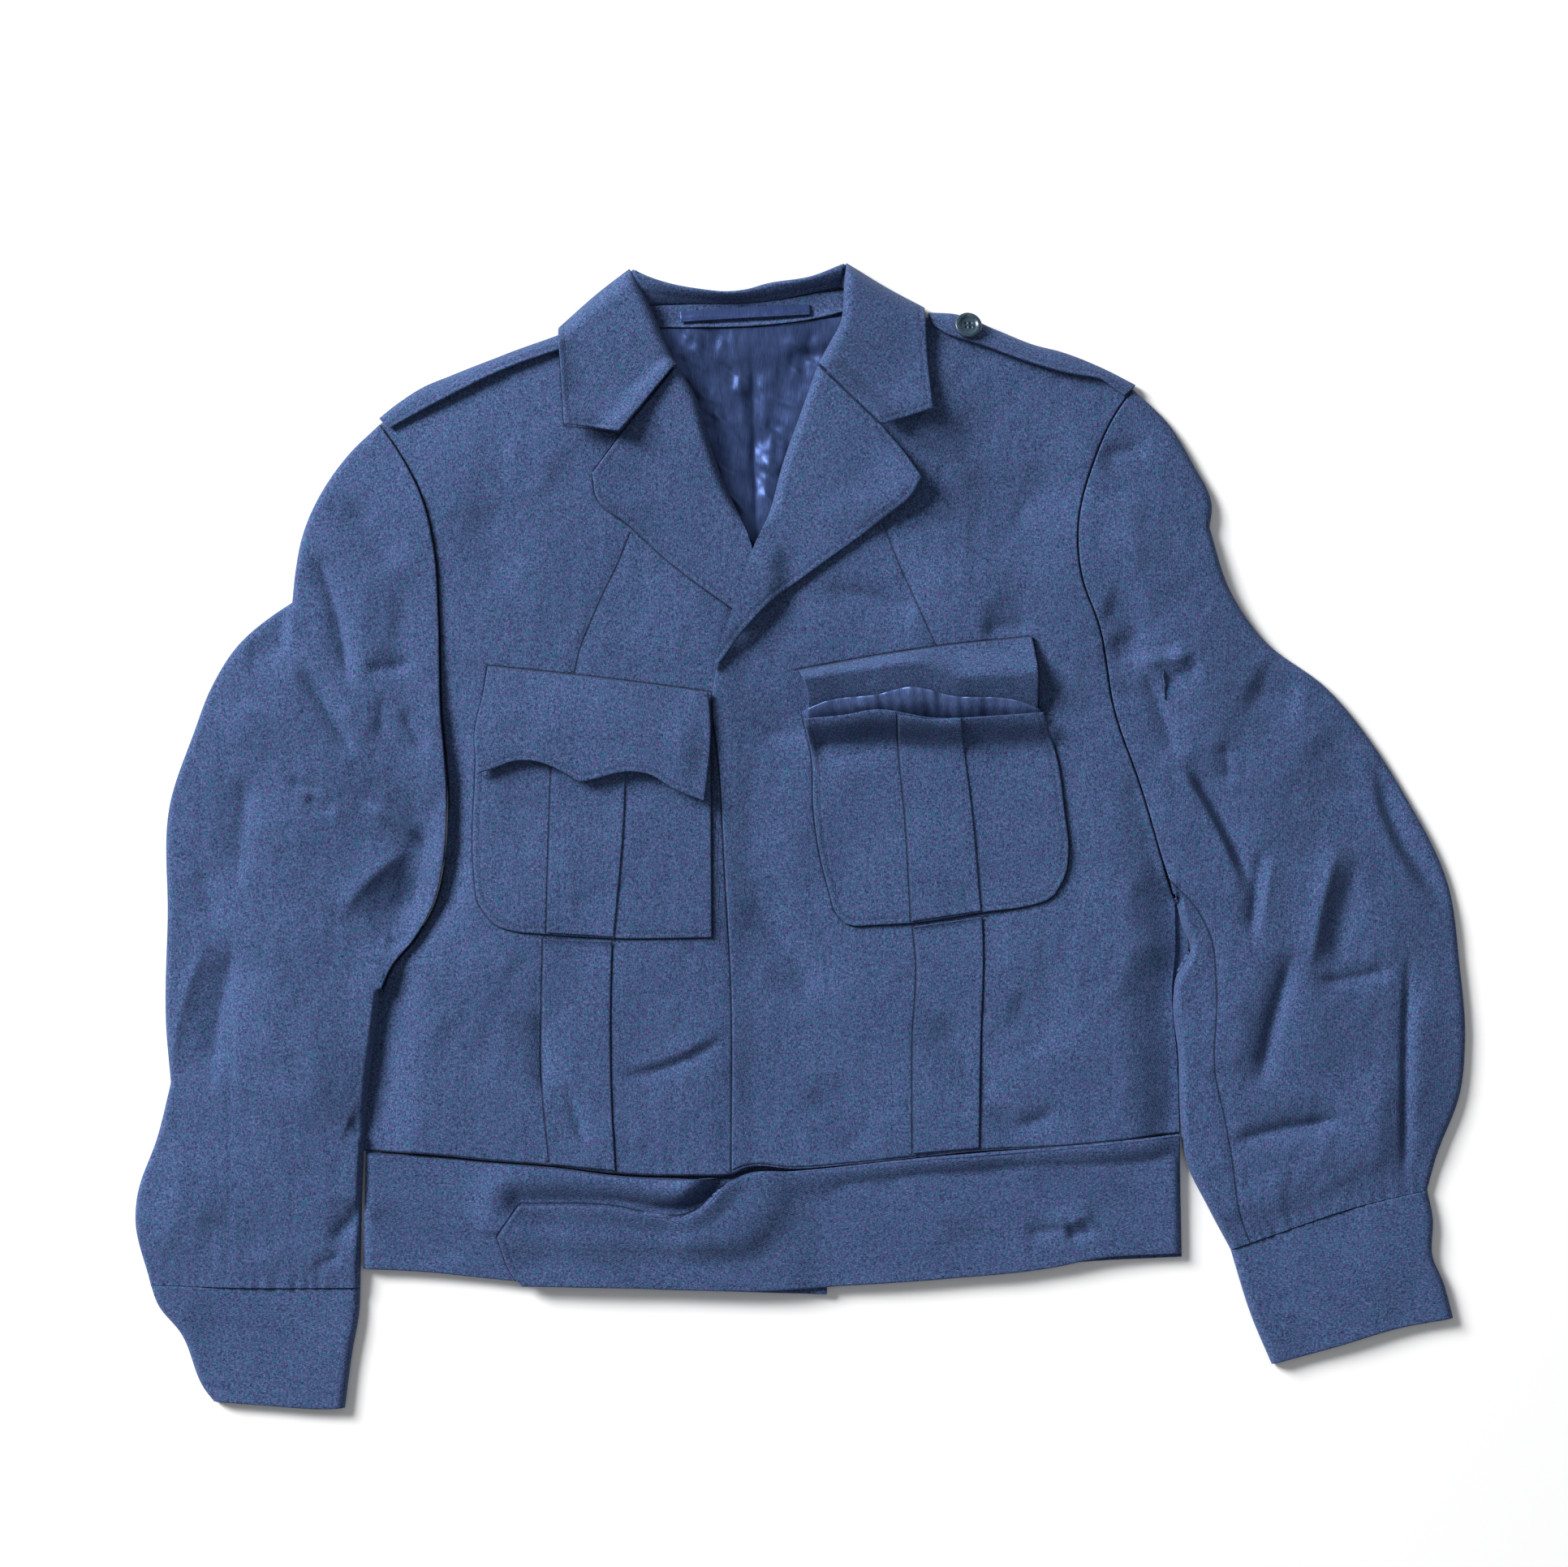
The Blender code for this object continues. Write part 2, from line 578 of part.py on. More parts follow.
def normals(grid, closed=False):
    """Unit normals of a grid of points, upwards where rows run down the plan and columns to the right."""
    if closed:
        ring = np.concatenate([grid[:, -1:], grid, grid[:, :1]], axis=1)
        across = (ring[:, 2:] - ring[:, :-2])
    else:
        across = np.gradient(grid, axis=1)
    normal = np.cross(np.gradient(grid, axis=0), across)
    return normal / np.maximum(np.linalg.norm(normal, axis=2), 1e-9)[..., None]


def squared(offset, run, wall):
    """An edge's offsets kept upright over its line, or level where the cloth there stands on edge."""
    flat = np.stack([run[:, 1], -run[:, 0]], axis=1)
    flat /= np.maximum(np.linalg.norm(flat, axis=1), 1e-9)[:, None]
    kept = offset.copy()
    kept[:, :2] -= (offset[:, :2] * flat).sum(1)[:, None] * flat
    level = offset * [1, 1, 0]
    level *= wall / np.maximum(np.linalg.norm(level, axis=1), 1e-9)[:, None]
    upright = np.linalg.norm(kept, axis=1) > 0.6 * wall
    return np.where(upright[:, None], kept, level)


def add_object(name, points, faces, material):
    """A closed mesh in metres with its material, smooth but for its sharp edges."""
    mesh = bpy.data.meshes.new(name)
    mesh.from_pydata([tuple(p) for p in np.asarray(points) * MM], [], faces)
    mesh.shade_smooth()
    mesh.set_sharp_from_angle(angle=radians(50))
    mesh.materials.append(material_for(material))
    body = bpy.data.objects.new(name, mesh)
    bpy.context.scene.collection.objects.link(body)
    return body


def material_for(spec):
    """The Principled material of that name, made once."""
    found = bpy.data.materials.get(spec.name)
    if found:
        return found
    made = bpy.data.materials.new(spec.name)
    made.use_nodes = True
    shader = made.node_tree.nodes["Principled BSDF"]
    shader.inputs["Base Color"].default_value = spec.color
    shader.inputs["Roughness"].default_value = spec.roughness
    made.diffuse_color = spec.color
    return made


def split(a, b, c, d):
    """A four-cornered face as two triangles."""
    return [(a, b, c), (a, c, d)]


def sheet(name, outer, wall, material, inner=None, level=0):
    """A wall of cloth between a grid of outer points and the same grid moved in by its thickness.

    level says where the wall goes straight down instead of square to the cloth, from 0 to 1.
    """
    if inner is None:
        level = np.zeros(outer.shape[:2]) + level
        offset = -normals(outer) * wall * (1 - level[..., None]) - level[..., None] * [0, 0, wall]
        for edge in (np.s_[0], np.s_[-1], np.s_[:, 0], np.s_[:, -1]):
            offset[edge] = squared(offset[edge], np.gradient(outer[edge], axis=0), wall)
        inner = outer + offset
    rows, columns = outer.shape[:2]
    size = rows * columns
    faces = []

    def at(i, j, side):
        return side * size + i * columns + j

    for i in range(rows - 1):
        for j in range(columns - 1):
            faces += split(at(i, j, 0), at(i + 1, j, 0), at(i + 1, j + 1, 0), at(i, j + 1, 0))
            faces += split(at(i, j, 1), at(i, j + 1, 1), at(i + 1, j + 1, 1), at(i + 1, j, 1))
    rim = ([(0, j) for j in range(columns - 1)] + [(i, columns - 1) for i in range(rows - 1)]
           + [(rows - 1, j) for j in range(columns - 1, 0, -1)] + [(i, 0) for i in range(rows - 1, 0, -1)])
    for (i, j), (k, l) in zip(rim, rim[1:] + rim[:1]):
        faces += split(at(i, j, 0), at(k, l, 0), at(k, l, 1), at(i, j, 1))
    return add_object(name, np.vstack([outer.reshape(-1, 3), inner.reshape(-1, 3)]), faces, material)


def tube(name, rings, wall, material):
    """A wall of cloth round a stack of closed rings, open at both ends, and level where it lies flat."""
    offset = -normals(rings, closed=True) * wall
    offset[rings[..., 2] <= 0] = [0, 0, wall]
    for edge in (0, -1):
        offset[edge] = squared(offset[edge], np.gradient(rings[edge], axis=0), wall)
    inner = rings + offset
    rows, columns = rings.shape[:2]
    size = rows * columns
    faces = []

    def at(i, j, side):
        return side * size + i * columns + j % columns

    for j in range(columns):
        for i in range(rows - 1):
            faces += split(at(i, j, 0), at(i + 1, j, 0), at(i + 1, j + 1, 0), at(i, j + 1, 0))
            faces += split(at(i, j, 1), at(i, j + 1, 1), at(i + 1, j + 1, 1), at(i + 1, j, 1))
        faces += split(at(0, j, 0), at(0, j + 1, 0), at(0, j + 1, 1), at(0, j, 1))
        faces += split(at(rows - 1, j + 1, 0), at(rows - 1, j, 0), at(rows - 1, j, 1), at(rows - 1, j + 1, 1))
    return add_object(name, np.vstack([rings.reshape(-1, 3), inner.reshape(-1, 3)]), faces, material)


# Laying one piece on another

def tops(supports):
    """A function that gives the height of the highest surface of the supports under each plan point."""
    trees = []
    for body in supports:
        points = [v.co / MM for v in body.data.vertices]
        trees.append(BVHTree.FromPolygons(points, [tuple(f.vertices) for f in body.data.polygons]))
    down = Vector((0, 0, -1))

    def height(x, y):
        hits = [tree.ray_cast(Vector((x, y, 300)), down)[0] for tree in trees]
        return max([hit.z for hit in hits if hit is not None], default=-1e3)
    return height


def rest(plan, wish, wall, supports, gap=GAP):
    """Heights of a grid as wished, raised where its faces would come within a gap of what it lies on."""
    height = tops(supports)
    heights = np.array(wish, float)
    shares = [(a / 3, b / 3) for a in range(4) for b in range(4)]
    corners = [plan[:-1, :-1], plan[:-1, 1:], plan[1:, :-1], plan[1:, 1:]]
    needs = []
    for a, b in shares:
        mixed = ((1 - a) * (1 - b) * corners[0] + (1 - a) * b * corners[1]
                 + a * (1 - b) * corners[2] + a * b * corners[3])
        needs.append(np.array([[height(x, y) for x, y in row] for row in mixed]) + gap + wall)
    for _ in range(6):
        lift = np.zeros_like(heights)
        for (a, b), need in zip(shares, needs):
            first, last = heights[:-1, :-1], heights[1:, 1:]
            side = heights[1:, :-1] if a >= b else heights[:-1, 1:]
            low, high = max(a, b), min(a, b)
            now = first + low * (side - first) + high * (last - side)
            short = np.maximum(need - now, 0)
            for part in (np.s_[:-1, :-1], np.s_[:-1, 1:], np.s_[1:, :-1], np.s_[1:, 1:]):
                lift[part] = np.maximum(lift[part], short)
        heights += lift
    return heights


def laid(name, edges, counts, lift, wall, material, supports, top=body_top):
    """A sheet on a panel: made from the panel's points between its own four edges, moved up."""
    us, vs = np.linspace(0, 1, counts[0] + 1), np.linspace(0, 1, counts[1] + 1)
    plan = patch(*edges, us, vs)
    rise = lift(us[None, :], vs[:, None]) if callable(lift) else lift
    heights = rest(plan, top(plan) + wall + rise, wall, supports)
    outer = raised(plan, heights)
    return sheet(name, outer, wall, material, inner=outer - [0, 0, wall])


# Pieces

ARMHOLE_STEPS = steps(12, 0.055, 0.03, 3)
SIDE_STEPS = np.linspace(0, 1, 8)[1:] ** 1.4


def length(rows):
    """Length of a curve."""
    return np.linalg.norm(np.diff(smooth(rows), axis=0), axis=1).sum()


def side_steps(armhole, side):
    """Fractions down the armhole at its own steps, and on down the side seam, at first close together."""
    share = length(armhole) / (length(armhole) + length(side))
    return np.r_[share * ARMHOLE_STEPS, share + (1 - share) * SIDE_STEPS]


def back_heights(points, margin=20):
    """The back lies flat, but for its neck, which rests on the collar fall beneath it."""
    neck = away(points, NECK_ROLL)
    return CLOTH + BACK_LIFT * ease((UNDER_FALL + margin - neck) / NECK_SLOPE)


def make_back():
    """The back panel and the back of the waistband, flat on the surface."""
    left = np.vstack([moved(ARMHOLE_RIGHT, SEAM), moved(SIDE_RIGHT, SEAM)[1:]])
    right = np.vstack([moved(ARMHOLE_LEFT, -SEAM), moved(SIDE_LEFT, -SEAM)[1:]])
    top = SHOULDER_RIGHT + [NECK_SEAM[1], NECK_SEAM[2]] + SHOULDER_LEFT[::-1]
    us = steps(8, 0.02, 0.02, 1)
    plan = patch(moved(top, -SEAM), WAIST_BACK, left, right, us,
                 side_steps(ARMHOLE_RIGHT, SIDE_RIGHT), side_steps(ARMHOLE_LEFT, SIDE_LEFT))
    outer = raised(plan, back_heights(plan))
    back = sheet("back", outer, CLOTH, SERGE, inner=outer - [0, 0, CLOTH])
    seam = moved(WAIST_BACK, -2 * SEAM)
    edges = (seam, BAND_BACK_LOW, [seam[0], BAND_BACK_LOW[0]], [seam[-1], BAND_BACK_LOW[-1]])
    band = patch(*edges, us, np.linspace(0, 1, 3))
    outer = raised(band, np.full(band.shape[:2], DOUBLE))
    band = sheet("waistband_back", outer, DOUBLE, SERGE, inner=outer - [0, 0, DOUBLE])
    return back, band


def front_heights(points, outline, side):
    """The fronts' top, rounded down onto the back at the shoulder, the sleeve's outline and the side."""
    low = back_heights(points, 70) + GAP
    rounded = quarter(away(points, outline), SHOULDER_ROUND) * quarter(away(points, side), SIDE_ROUND)
    return low + (body_top(points) - low) * rounded


def outline_of(shoulder, sleeve):
    """The line from the neck over the shoulder and down the sleeve, along which the cloth turns under."""
    return np.vstack([smooth(shoulder)[::-1], smooth(sleeve)[1:]])


def front_plan_right(us, vs):
    """Plan points of the wearer's right front between its shoulder, waist, armhole and opening."""
    edge = np.vstack([moved(ARMHOLE_RIGHT, SEAM), moved(SIDE_RIGHT, SEAM)[1:]])
    return patch(SHOULDER_RIGHT, WAIST_RIGHT, edge, OPENING_RIGHT, us, vs)


def front_plan_left(us, vs):
    """Plan points of the wearer's left front between its shoulder, waist, opening and armhole."""
    edge = np.vstack([moved(ARMHOLE_LEFT, -SEAM), moved(SIDE_LEFT, -SEAM)[1:]])
    return patch(SHOULDER_LEFT[::-1], WAIST_LEFT, OPENING_LEFT, edge, us, vs)


def make_front_right():
    """The wearer's right front, which lies under the other along the opening."""
    plan = front_plan_right(steps(10, 0.03, 0, 3), side_steps(ARMHOLE_RIGHT, SIDE_RIGHT))
    heights = front_heights(plan, outline_of(SHOULDER_RIGHT, SLEEVE_OUT_RIGHT), SIDE_RIGHT)
    tucked = TUCK_DEPTH * ease(1 - away(plan, OPENING_RIGHT) / TUCK_WIDTH)
    tucked = tucked * ease(away(plan, SHOULDER_RIGHT) / TUCK_WIDTH)
    return sheet("front_right", raised(plan, heights - tucked), CLOTH, SERGE)


def make_front_left(supports):
    """The wearer's left front, over the right one and its lapel."""
    plan = front_plan_left(steps(10, 0, 0.03, 3), side_steps(ARMHOLE_LEFT, SIDE_LEFT))
    heights = front_heights(plan, outline_of(SHOULDER_LEFT, SLEEVE_OUT_LEFT), SIDE_LEFT)
    heights = rest(plan, heights, CLOTH * SLANT, supports)
    return sheet("front_left", raised(plan, heights), CLOTH, SERGE)


def fan(top, bottom, out, inner, us, vs):
    """Plan points of a sleeve: straight across, but for its ends' own curves, which soon fade; on the
    short inner edge the rows start close together."""
    across = np.asarray(us)[None, :, None]
    down = np.asarray(vs)[:, None, None]
    upper, lower = along(top, us)[None], along(bottom, us)[None]
    straight = (1 - across) * along(out, vs)[:, None] + across * along(inner, np.power(vs, 2.0))[:, None]
    return straight + (1 - down) ** 3 * (upper - straight[:1]) + down ** 3 * (lower - straight[-1:])


def tube_rings(plan, top):
    """Rings of a flattened tube: over its top from its first edge to its last, and back along the surface."""
    turn = TUBE_ROUND * (1 - cos(pi / 4))
    rings = []
    for row, heights in zip(plan, top(plan)):
        reach = np.r_[0, np.cumsum(np.linalg.norm(np.diff(row, axis=0), axis=1))]
        width = reach[-1]
        at = [width - turn, width - TUBE_ROUND, 0.75 * width, 0.5 * width, 0.25 * width, TUBE_ROUND, turn]
        low = [turn, 0, 0, 0, 0, 0, turn]
        under = np.column_stack([np.interp(at, reach, row[:, 0]), np.interp(at, reach, row[:, 1]), low])
        rings.append(np.vstack([np.column_stack([row, heights]), under]))
    return np.array(rings)


def make_sleeve(name, armhole, cuff_seam, out, inner, shoulder, side):
    """A sleeve, cut full, from its armhole seam to its cuff; side is 1 where its outer edge is at +X."""
    outline = outline_of(shoulder, out)

    def top(points):
        full = body_top(points)
        gathered = ease(1 - away(points, cuff_seam) / GATHER)
        full = full + (BAND_HEIGHT + 1 - full) * gathered
        rounded = quarter(away(points, outline), SHOULDER_ROUND) * quarter(away(points, inner), SIDE_ROUND)
        return TUBE_ROUND + (full - TUBE_ROUND) * rounded

    armhole = moved(armhole, side * SEAM)
    inner = np.vstack([armhole[-1:], moved(inner, side * 1.5 * SEAM)[1:]])
    plan = fan(armhole, cuff_seam, out, inner, ARMHOLE_STEPS, steps(16, 0.012, 0.012, 1))
    rings = tube_rings(plan[:, ::-side], top)
    return tube(name, rings, CLOTH, SERGE)


def make_cuff(name, seam, end, out, inner, side):
    """A plain cuff band, flattened."""
    def top(points):
        ends = quarter(np.minimum(away(points, out), away(points, inner)), BAND_ROUND)
        return TUBE_ROUND + (BAND_HEIGHT - TUBE_ROUND) * ends

    seam = moved(seam, side * 2 * SEAM)
    first, last = np.vstack([seam[:1], smooth(out)[1:]]), np.vstack([seam[-1:], smooth(inner)[1:]])
    plan = patch(seam, end, first, last, ARMHOLE_STEPS, np.linspace(0, 1, 4))
    rings = tube_rings(plan[:, ::-side], top)
    return tube(name, rings, CLOTH, SERGE)


def rolled(plan, flat, roll, depth=ROLL_DEPTH):
    """Heights that turn down along a roll line."""
    return flat - depth * (1 - quarter(away(plan, roll), ROLL_ROUND))


def make_lapel(name, edges, roll, columns, supports):
    """A turned facing that lies on its front and turns down along its roll line, above the break."""
    plan = patch(*edges, columns, np.linspace(0, 1, 12))
    clear = rest(plan, body_top(plan) + DOUBLE + GAP, DOUBLE * SLANT, supports)
    turned = ease((plan[..., 1] - BREAK_Y) / BREAK_LENGTH)
    outer = raised(plan, rolled(plan, clear, roll, ROLL_DEPTH * turned))
    flat = np.maximum(1 - turned, ease((away(plan, roll) - 0.5 * ROLL_ROUND) / ROLL_ROUND))
    return sheet(name, outer, DOUBLE, SERGE, level=flat)


def make_fall(name, edges, roll, outline, columns, supports):
    """One side of the collar's fall: on the front, down to the surface behind, and down along its roll."""
    plan = patch(*edges, columns, steps(7, 0.1, 0, 4))
    clear = rest(plan, body_top(plan) + DOUBLE + HOVER, DOUBLE * SLANT, supports)
    turned = quarter(away(plan, outline), FALL_ROUND)
    heights = FALL_FLOOR + (rolled(plan, clear, roll) - FALL_FLOOR) * turned
    outer = raised(plan, rest(plan, heights, DOUBLE * SLANT, supports, gap=HOVER))
    return sheet(name, outer, DOUBLE, SERGE)


def make_collar_back():
    """The collar behind the neck: its stand, its roll, and its fall, which lies under the back."""
    us = np.linspace(0, 1, 14)
    roll, seam = along(NECK_ROLL, us), along(NECK_SEAM, us)
    reach = (seam - roll) / np.linalg.norm(seam - roll, axis=1)[:, None]
    depth = np.linalg.norm(seam - roll, axis=1)[:, None]
    low = 2 * CLOTH + BACK_LIFT + GAP
    rows = []
    for share in (1.0, 0.75, 0.5, 0.3):
        height = low + (STAND_HEIGHT - low) * sin(pi / 2 * (1 - share))
        rows.append((share * depth, height))
    radius = STAND_HEIGHT / 2
    for turn in (60, 30, 0, -30, -60):
        height = radius + radius * sin(radians(turn))
        rows.append((0.25 * depth * (1 - cos(radians(turn))), height))
    for share in (0.1, 0.4, 0.7, 1.0):
        rows.append((0.25 * depth + share * UNDER_FALL, 0))
    grid = [np.column_stack([roll + back * reach, np.full(len(us), height)]) for back, height in rows]
    return sheet("collar_back", np.array(grid)[::-1], CLOTH, SERGE)


def make_strap(name, ends, edge, outline, side):
    """A shoulder strap, made from the front's points over the shoulder, moved out; its long edge stands off."""
    rows = steps(2, 0.6, 0, 4)
    us = np.linspace(0, 1, 12)
    low, high = sorted(int(np.linalg.norm(outline - end, axis=1).argmin()) for end in ends)
    top = outline[low:high + 1]
    if np.linalg.norm(top[0] - ends[0]) > np.linalg.norm(top[-1] - ends[0]):
        top = top[::-1]
    plan = patch(top, edge, [top[0], edge[0]], [top[-1], edge[-1]], us, rows)
    under = raised(plan, front_heights(plan, outline, side))
    out = normals(under)
    lift = STRAP_LIFT * ease(rows)[:, None] * np.sin(pi * (0.05 + 0.9 * us))[None, :]
    inner = under + out * (GAP + SEAM)
    inner[..., 2] += lift
    outer = inner + out * DOUBLE
    return sheet(name, outer, DOUBLE, SERGE, inner=inner), outer


def make_button(name, centre, facing):
    """A button: a dished disc with a rounded rim, at a centre and facing a direction."""
    profile = [(0, BUTTON_THICK * 0.62), (4.6, BUTTON_THICK * 0.62), (5.6, BUTTON_THICK * 0.95),
               (7.6, BUTTON_THICK), (BUTTON_RADIUS, BUTTON_THICK * 0.55), (7.8, 0.5), (3.5, 0), (0, 0)]
    count = 24
    points = [(0, 0, profile[0][1])]
    for radius, height in profile[1:-1]:
        for k in range(count):
            angle = 2 * pi * k / count
            points.append((radius * cos(angle), radius * sin(angle), height))
    points.append((0, 0, 0))
    last = len(points) - 1
    faces = []
    for k in range(count):
        n = (k + 1) % count
        faces.append((0, 1 + k, 1 + n))
        for ring in range(len(profile) - 3):
            a, b = 1 + ring * count, 1 + (ring + 1) * count
            faces += split(a + k, b + k, b + n, a + n)
        faces.append((last, last - count + n, last - count + k))
    turn = Vector((0, 0, 1)).rotation_difference(Vector(facing)).to_matrix()
    placed = [turn @ Vector(p) + Vector(centre) for p in points]
    return add_object(name, placed, faces, PLASTIC)


def make_neck(back):
    """What shows inside the neck: the back's lining, its cloth facing and the hanger tape."""
    us, vs = np.linspace(0, 1, 13), np.linspace(0, 1, 12)
    plan = patch(LINING_TOP, LINING_LOW, LINING_RIGHT, LINING_LEFT, us, vs)
    wish = back_heights(plan) + GAP + SATIN + LINING_LIFT + folds(plan, LINING_FOLDS)
    outer = raised(plan, rest(plan, wish, SATIN, [back]))
    lining = sheet("back_lining", outer, SATIN, LINING, inner=outer - [0, 0, SATIN])
    seam, low = moved(NECK_SEAM, -2 * SEAM), moved(FACING_LOW, 2 * SEAM)
    edges = (seam, low, [seam[0], low[0]], [seam[-1], low[-1]])
    facing = laid("back_facing", edges, (12, 3), GAP, CLOTH, SERGE, [back, lining], top=back_heights)

    def arch(u, v):
        return TAPE_ARCH * np.sin(pi * u) + 0 * v

    edges = (TAPE_TOP, TAPE_LOW, [TAPE_TOP[0], TAPE_LOW[0]], [TAPE_TOP[-1], TAPE_LOW[-1]])
    tape = laid("hanger_tape", edges, (8, 2), arch, SATIN, TAPE, [facing, lining, back], top=back_heights)
    return lining, facing, tape


def make_pocket_right(front):
    """The wearer's right pocket: its bag, its box pleat, its scalloped flap and the tuck below it."""
    edges = (POCKET_RIGHT_TOP, POCKET_RIGHT_LOW, POCKET_RIGHT_OUT, POCKET_RIGHT_IN)
    pocket = laid("pocket_right", edges, (11, 11), GAP, CLOTH, SERGE, [front])
    edges = (PLEAT_RIGHT_TOP, PLEAT_RIGHT_LOW, PLEAT_RIGHT_OUT, PLEAT_RIGHT_IN)
    pleat = laid("pocket_pleat_right", edges, (3, 11), GAP, CLOTH, SERGE, [pocket])

    def stand(u, v):
        lower = ease((v - 0.1) / 0.5)
        return GAP + (FLAP_STAND + FLAP_FLARE * u ** 3) * lower

    edges = (FLAP_RIGHT_TOP, FLAP_RIGHT_LOW, FLAP_RIGHT_OUT, FLAP_RIGHT_IN)
    laid("flap_right", edges, (18, 6), stand, DOUBLE, SERGE, [front, pocket, pleat])
    ends = ([TUCK_RIGHT_OUT[0], TUCK_RIGHT_IN[0]], [TUCK_RIGHT_OUT[-1], TUCK_RIGHT_IN[-1]])
    laid("tuck_right", (*ends, TUCK_RIGHT_OUT, TUCK_RIGHT_IN), (3, 11), GAP, CLOTH, SERGE, [front])


def make_pocket_left(front):
    """The wearer's left pocket, open: the flap goes down into its mouth, where the lining shows."""
    def dip(u, v):
        ridge = np.exp(-((v - 0.16) / 0.16) ** 2)
        return GAP + FLAP_RIDGE * ridge + 0 * u

    edges = (FLAP_LEFT_TOP, FLAP_LEFT_LOW, FLAP_LEFT_IN, FLAP_LEFT_OUT)
    flap = laid("flap_left", edges, (12, 8), dip, DOUBLE, SERGE, [front])

    def pucker(u, v):
        bag = np.sin(pi * np.clip(u, 0.02, 0.98)) ** 0.5
        swell = MOUTH_BULGE * np.sin(pi * v) + MOUTH_PUCKER * np.sin(9 * pi * u + 2 * v)
        return GAP + DOUBLE + CLOTH + bag * swell

    edges = (MOUTH_TOP, MOUTH_LOW, [MOUTH_TOP[0], MOUTH_LOW[0]], [MOUTH_TOP[-1], MOUTH_LOW[-1]])
    lining = laid("pocket_lining_left", edges, (18, 4), pucker, SATIN, LINING, [front, flap])

    def gape(u, v):
        return GAP + GAPE * ease(1 - v / 0.22) * np.sin(pi * np.clip(u, 0.05, 0.95))

    edges = (POCKET_LEFT_TOP, POCKET_LEFT_LOW, POCKET_LEFT_IN, POCKET_LEFT_OUT)
    pocket = laid("pocket_left", edges, (11, 11), gape, CLOTH, SERGE, [front, flap, lining])
    edges = (PLEAT_LEFT_TOP, PLEAT_LEFT_LOW, PLEAT_LEFT_IN, PLEAT_LEFT_OUT)
    laid("pocket_pleat_left", edges, (3, 11), GAP, CLOTH, SERGE, [pocket])
    ends = ([TUCK_LEFT_IN[0], TUCK_LEFT_OUT[0]], [TUCK_LEFT_IN[-1], TUCK_LEFT_OUT[-1]])
    laid("tuck_left", (*ends, TUCK_LEFT_IN, TUCK_LEFT_OUT), (3, 11), GAP, CLOTH, SERGE, [front])


def band_top(points, side):
    """Top of the waistband, turned down at its side."""
    low = DOUBLE + GAP
    full = BAND_HEIGHT + folds(points, BAND_FOLDS)
    return low + (full - low) * quarter(away(points, side), BAND_ROUND)


def make_bands(back_band, front_right):
    """The waistband's two front pieces; the left one's pointed tab lies over the right one."""
    edges = (BAND_RIGHT_TOP, BAND_RIGHT_LOW, BAND_RIGHT_SIDE, BAND_RIGHT_END)
    plan = patch(*edges, steps(14, 0.018, 0, 3), np.linspace(0, 1, 5))
    heights = rest(plan, band_top(plan, BAND_RIGHT_SIDE), DOUBLE, [back_band], gap=SEAM)
    right = sheet("waistband_right", raised(plan, heights), DOUBLE, SERGE)
    edges = (BAND_LEFT_TOP, BAND_LEFT_LOW, BAND_LEFT_TIP, BAND_LEFT_SIDE)
    plan = patch(*edges, steps(24, 0, 0.012, 3), np.linspace(0, 1, 5))
    heights = rest(plan, band_top(plan, BAND_LEFT_SIDE), DOUBLE * SLANT, [back_band, right, front_right])
    sheet("waistband_left", raised(plan, heights), DOUBLE, SERGE)


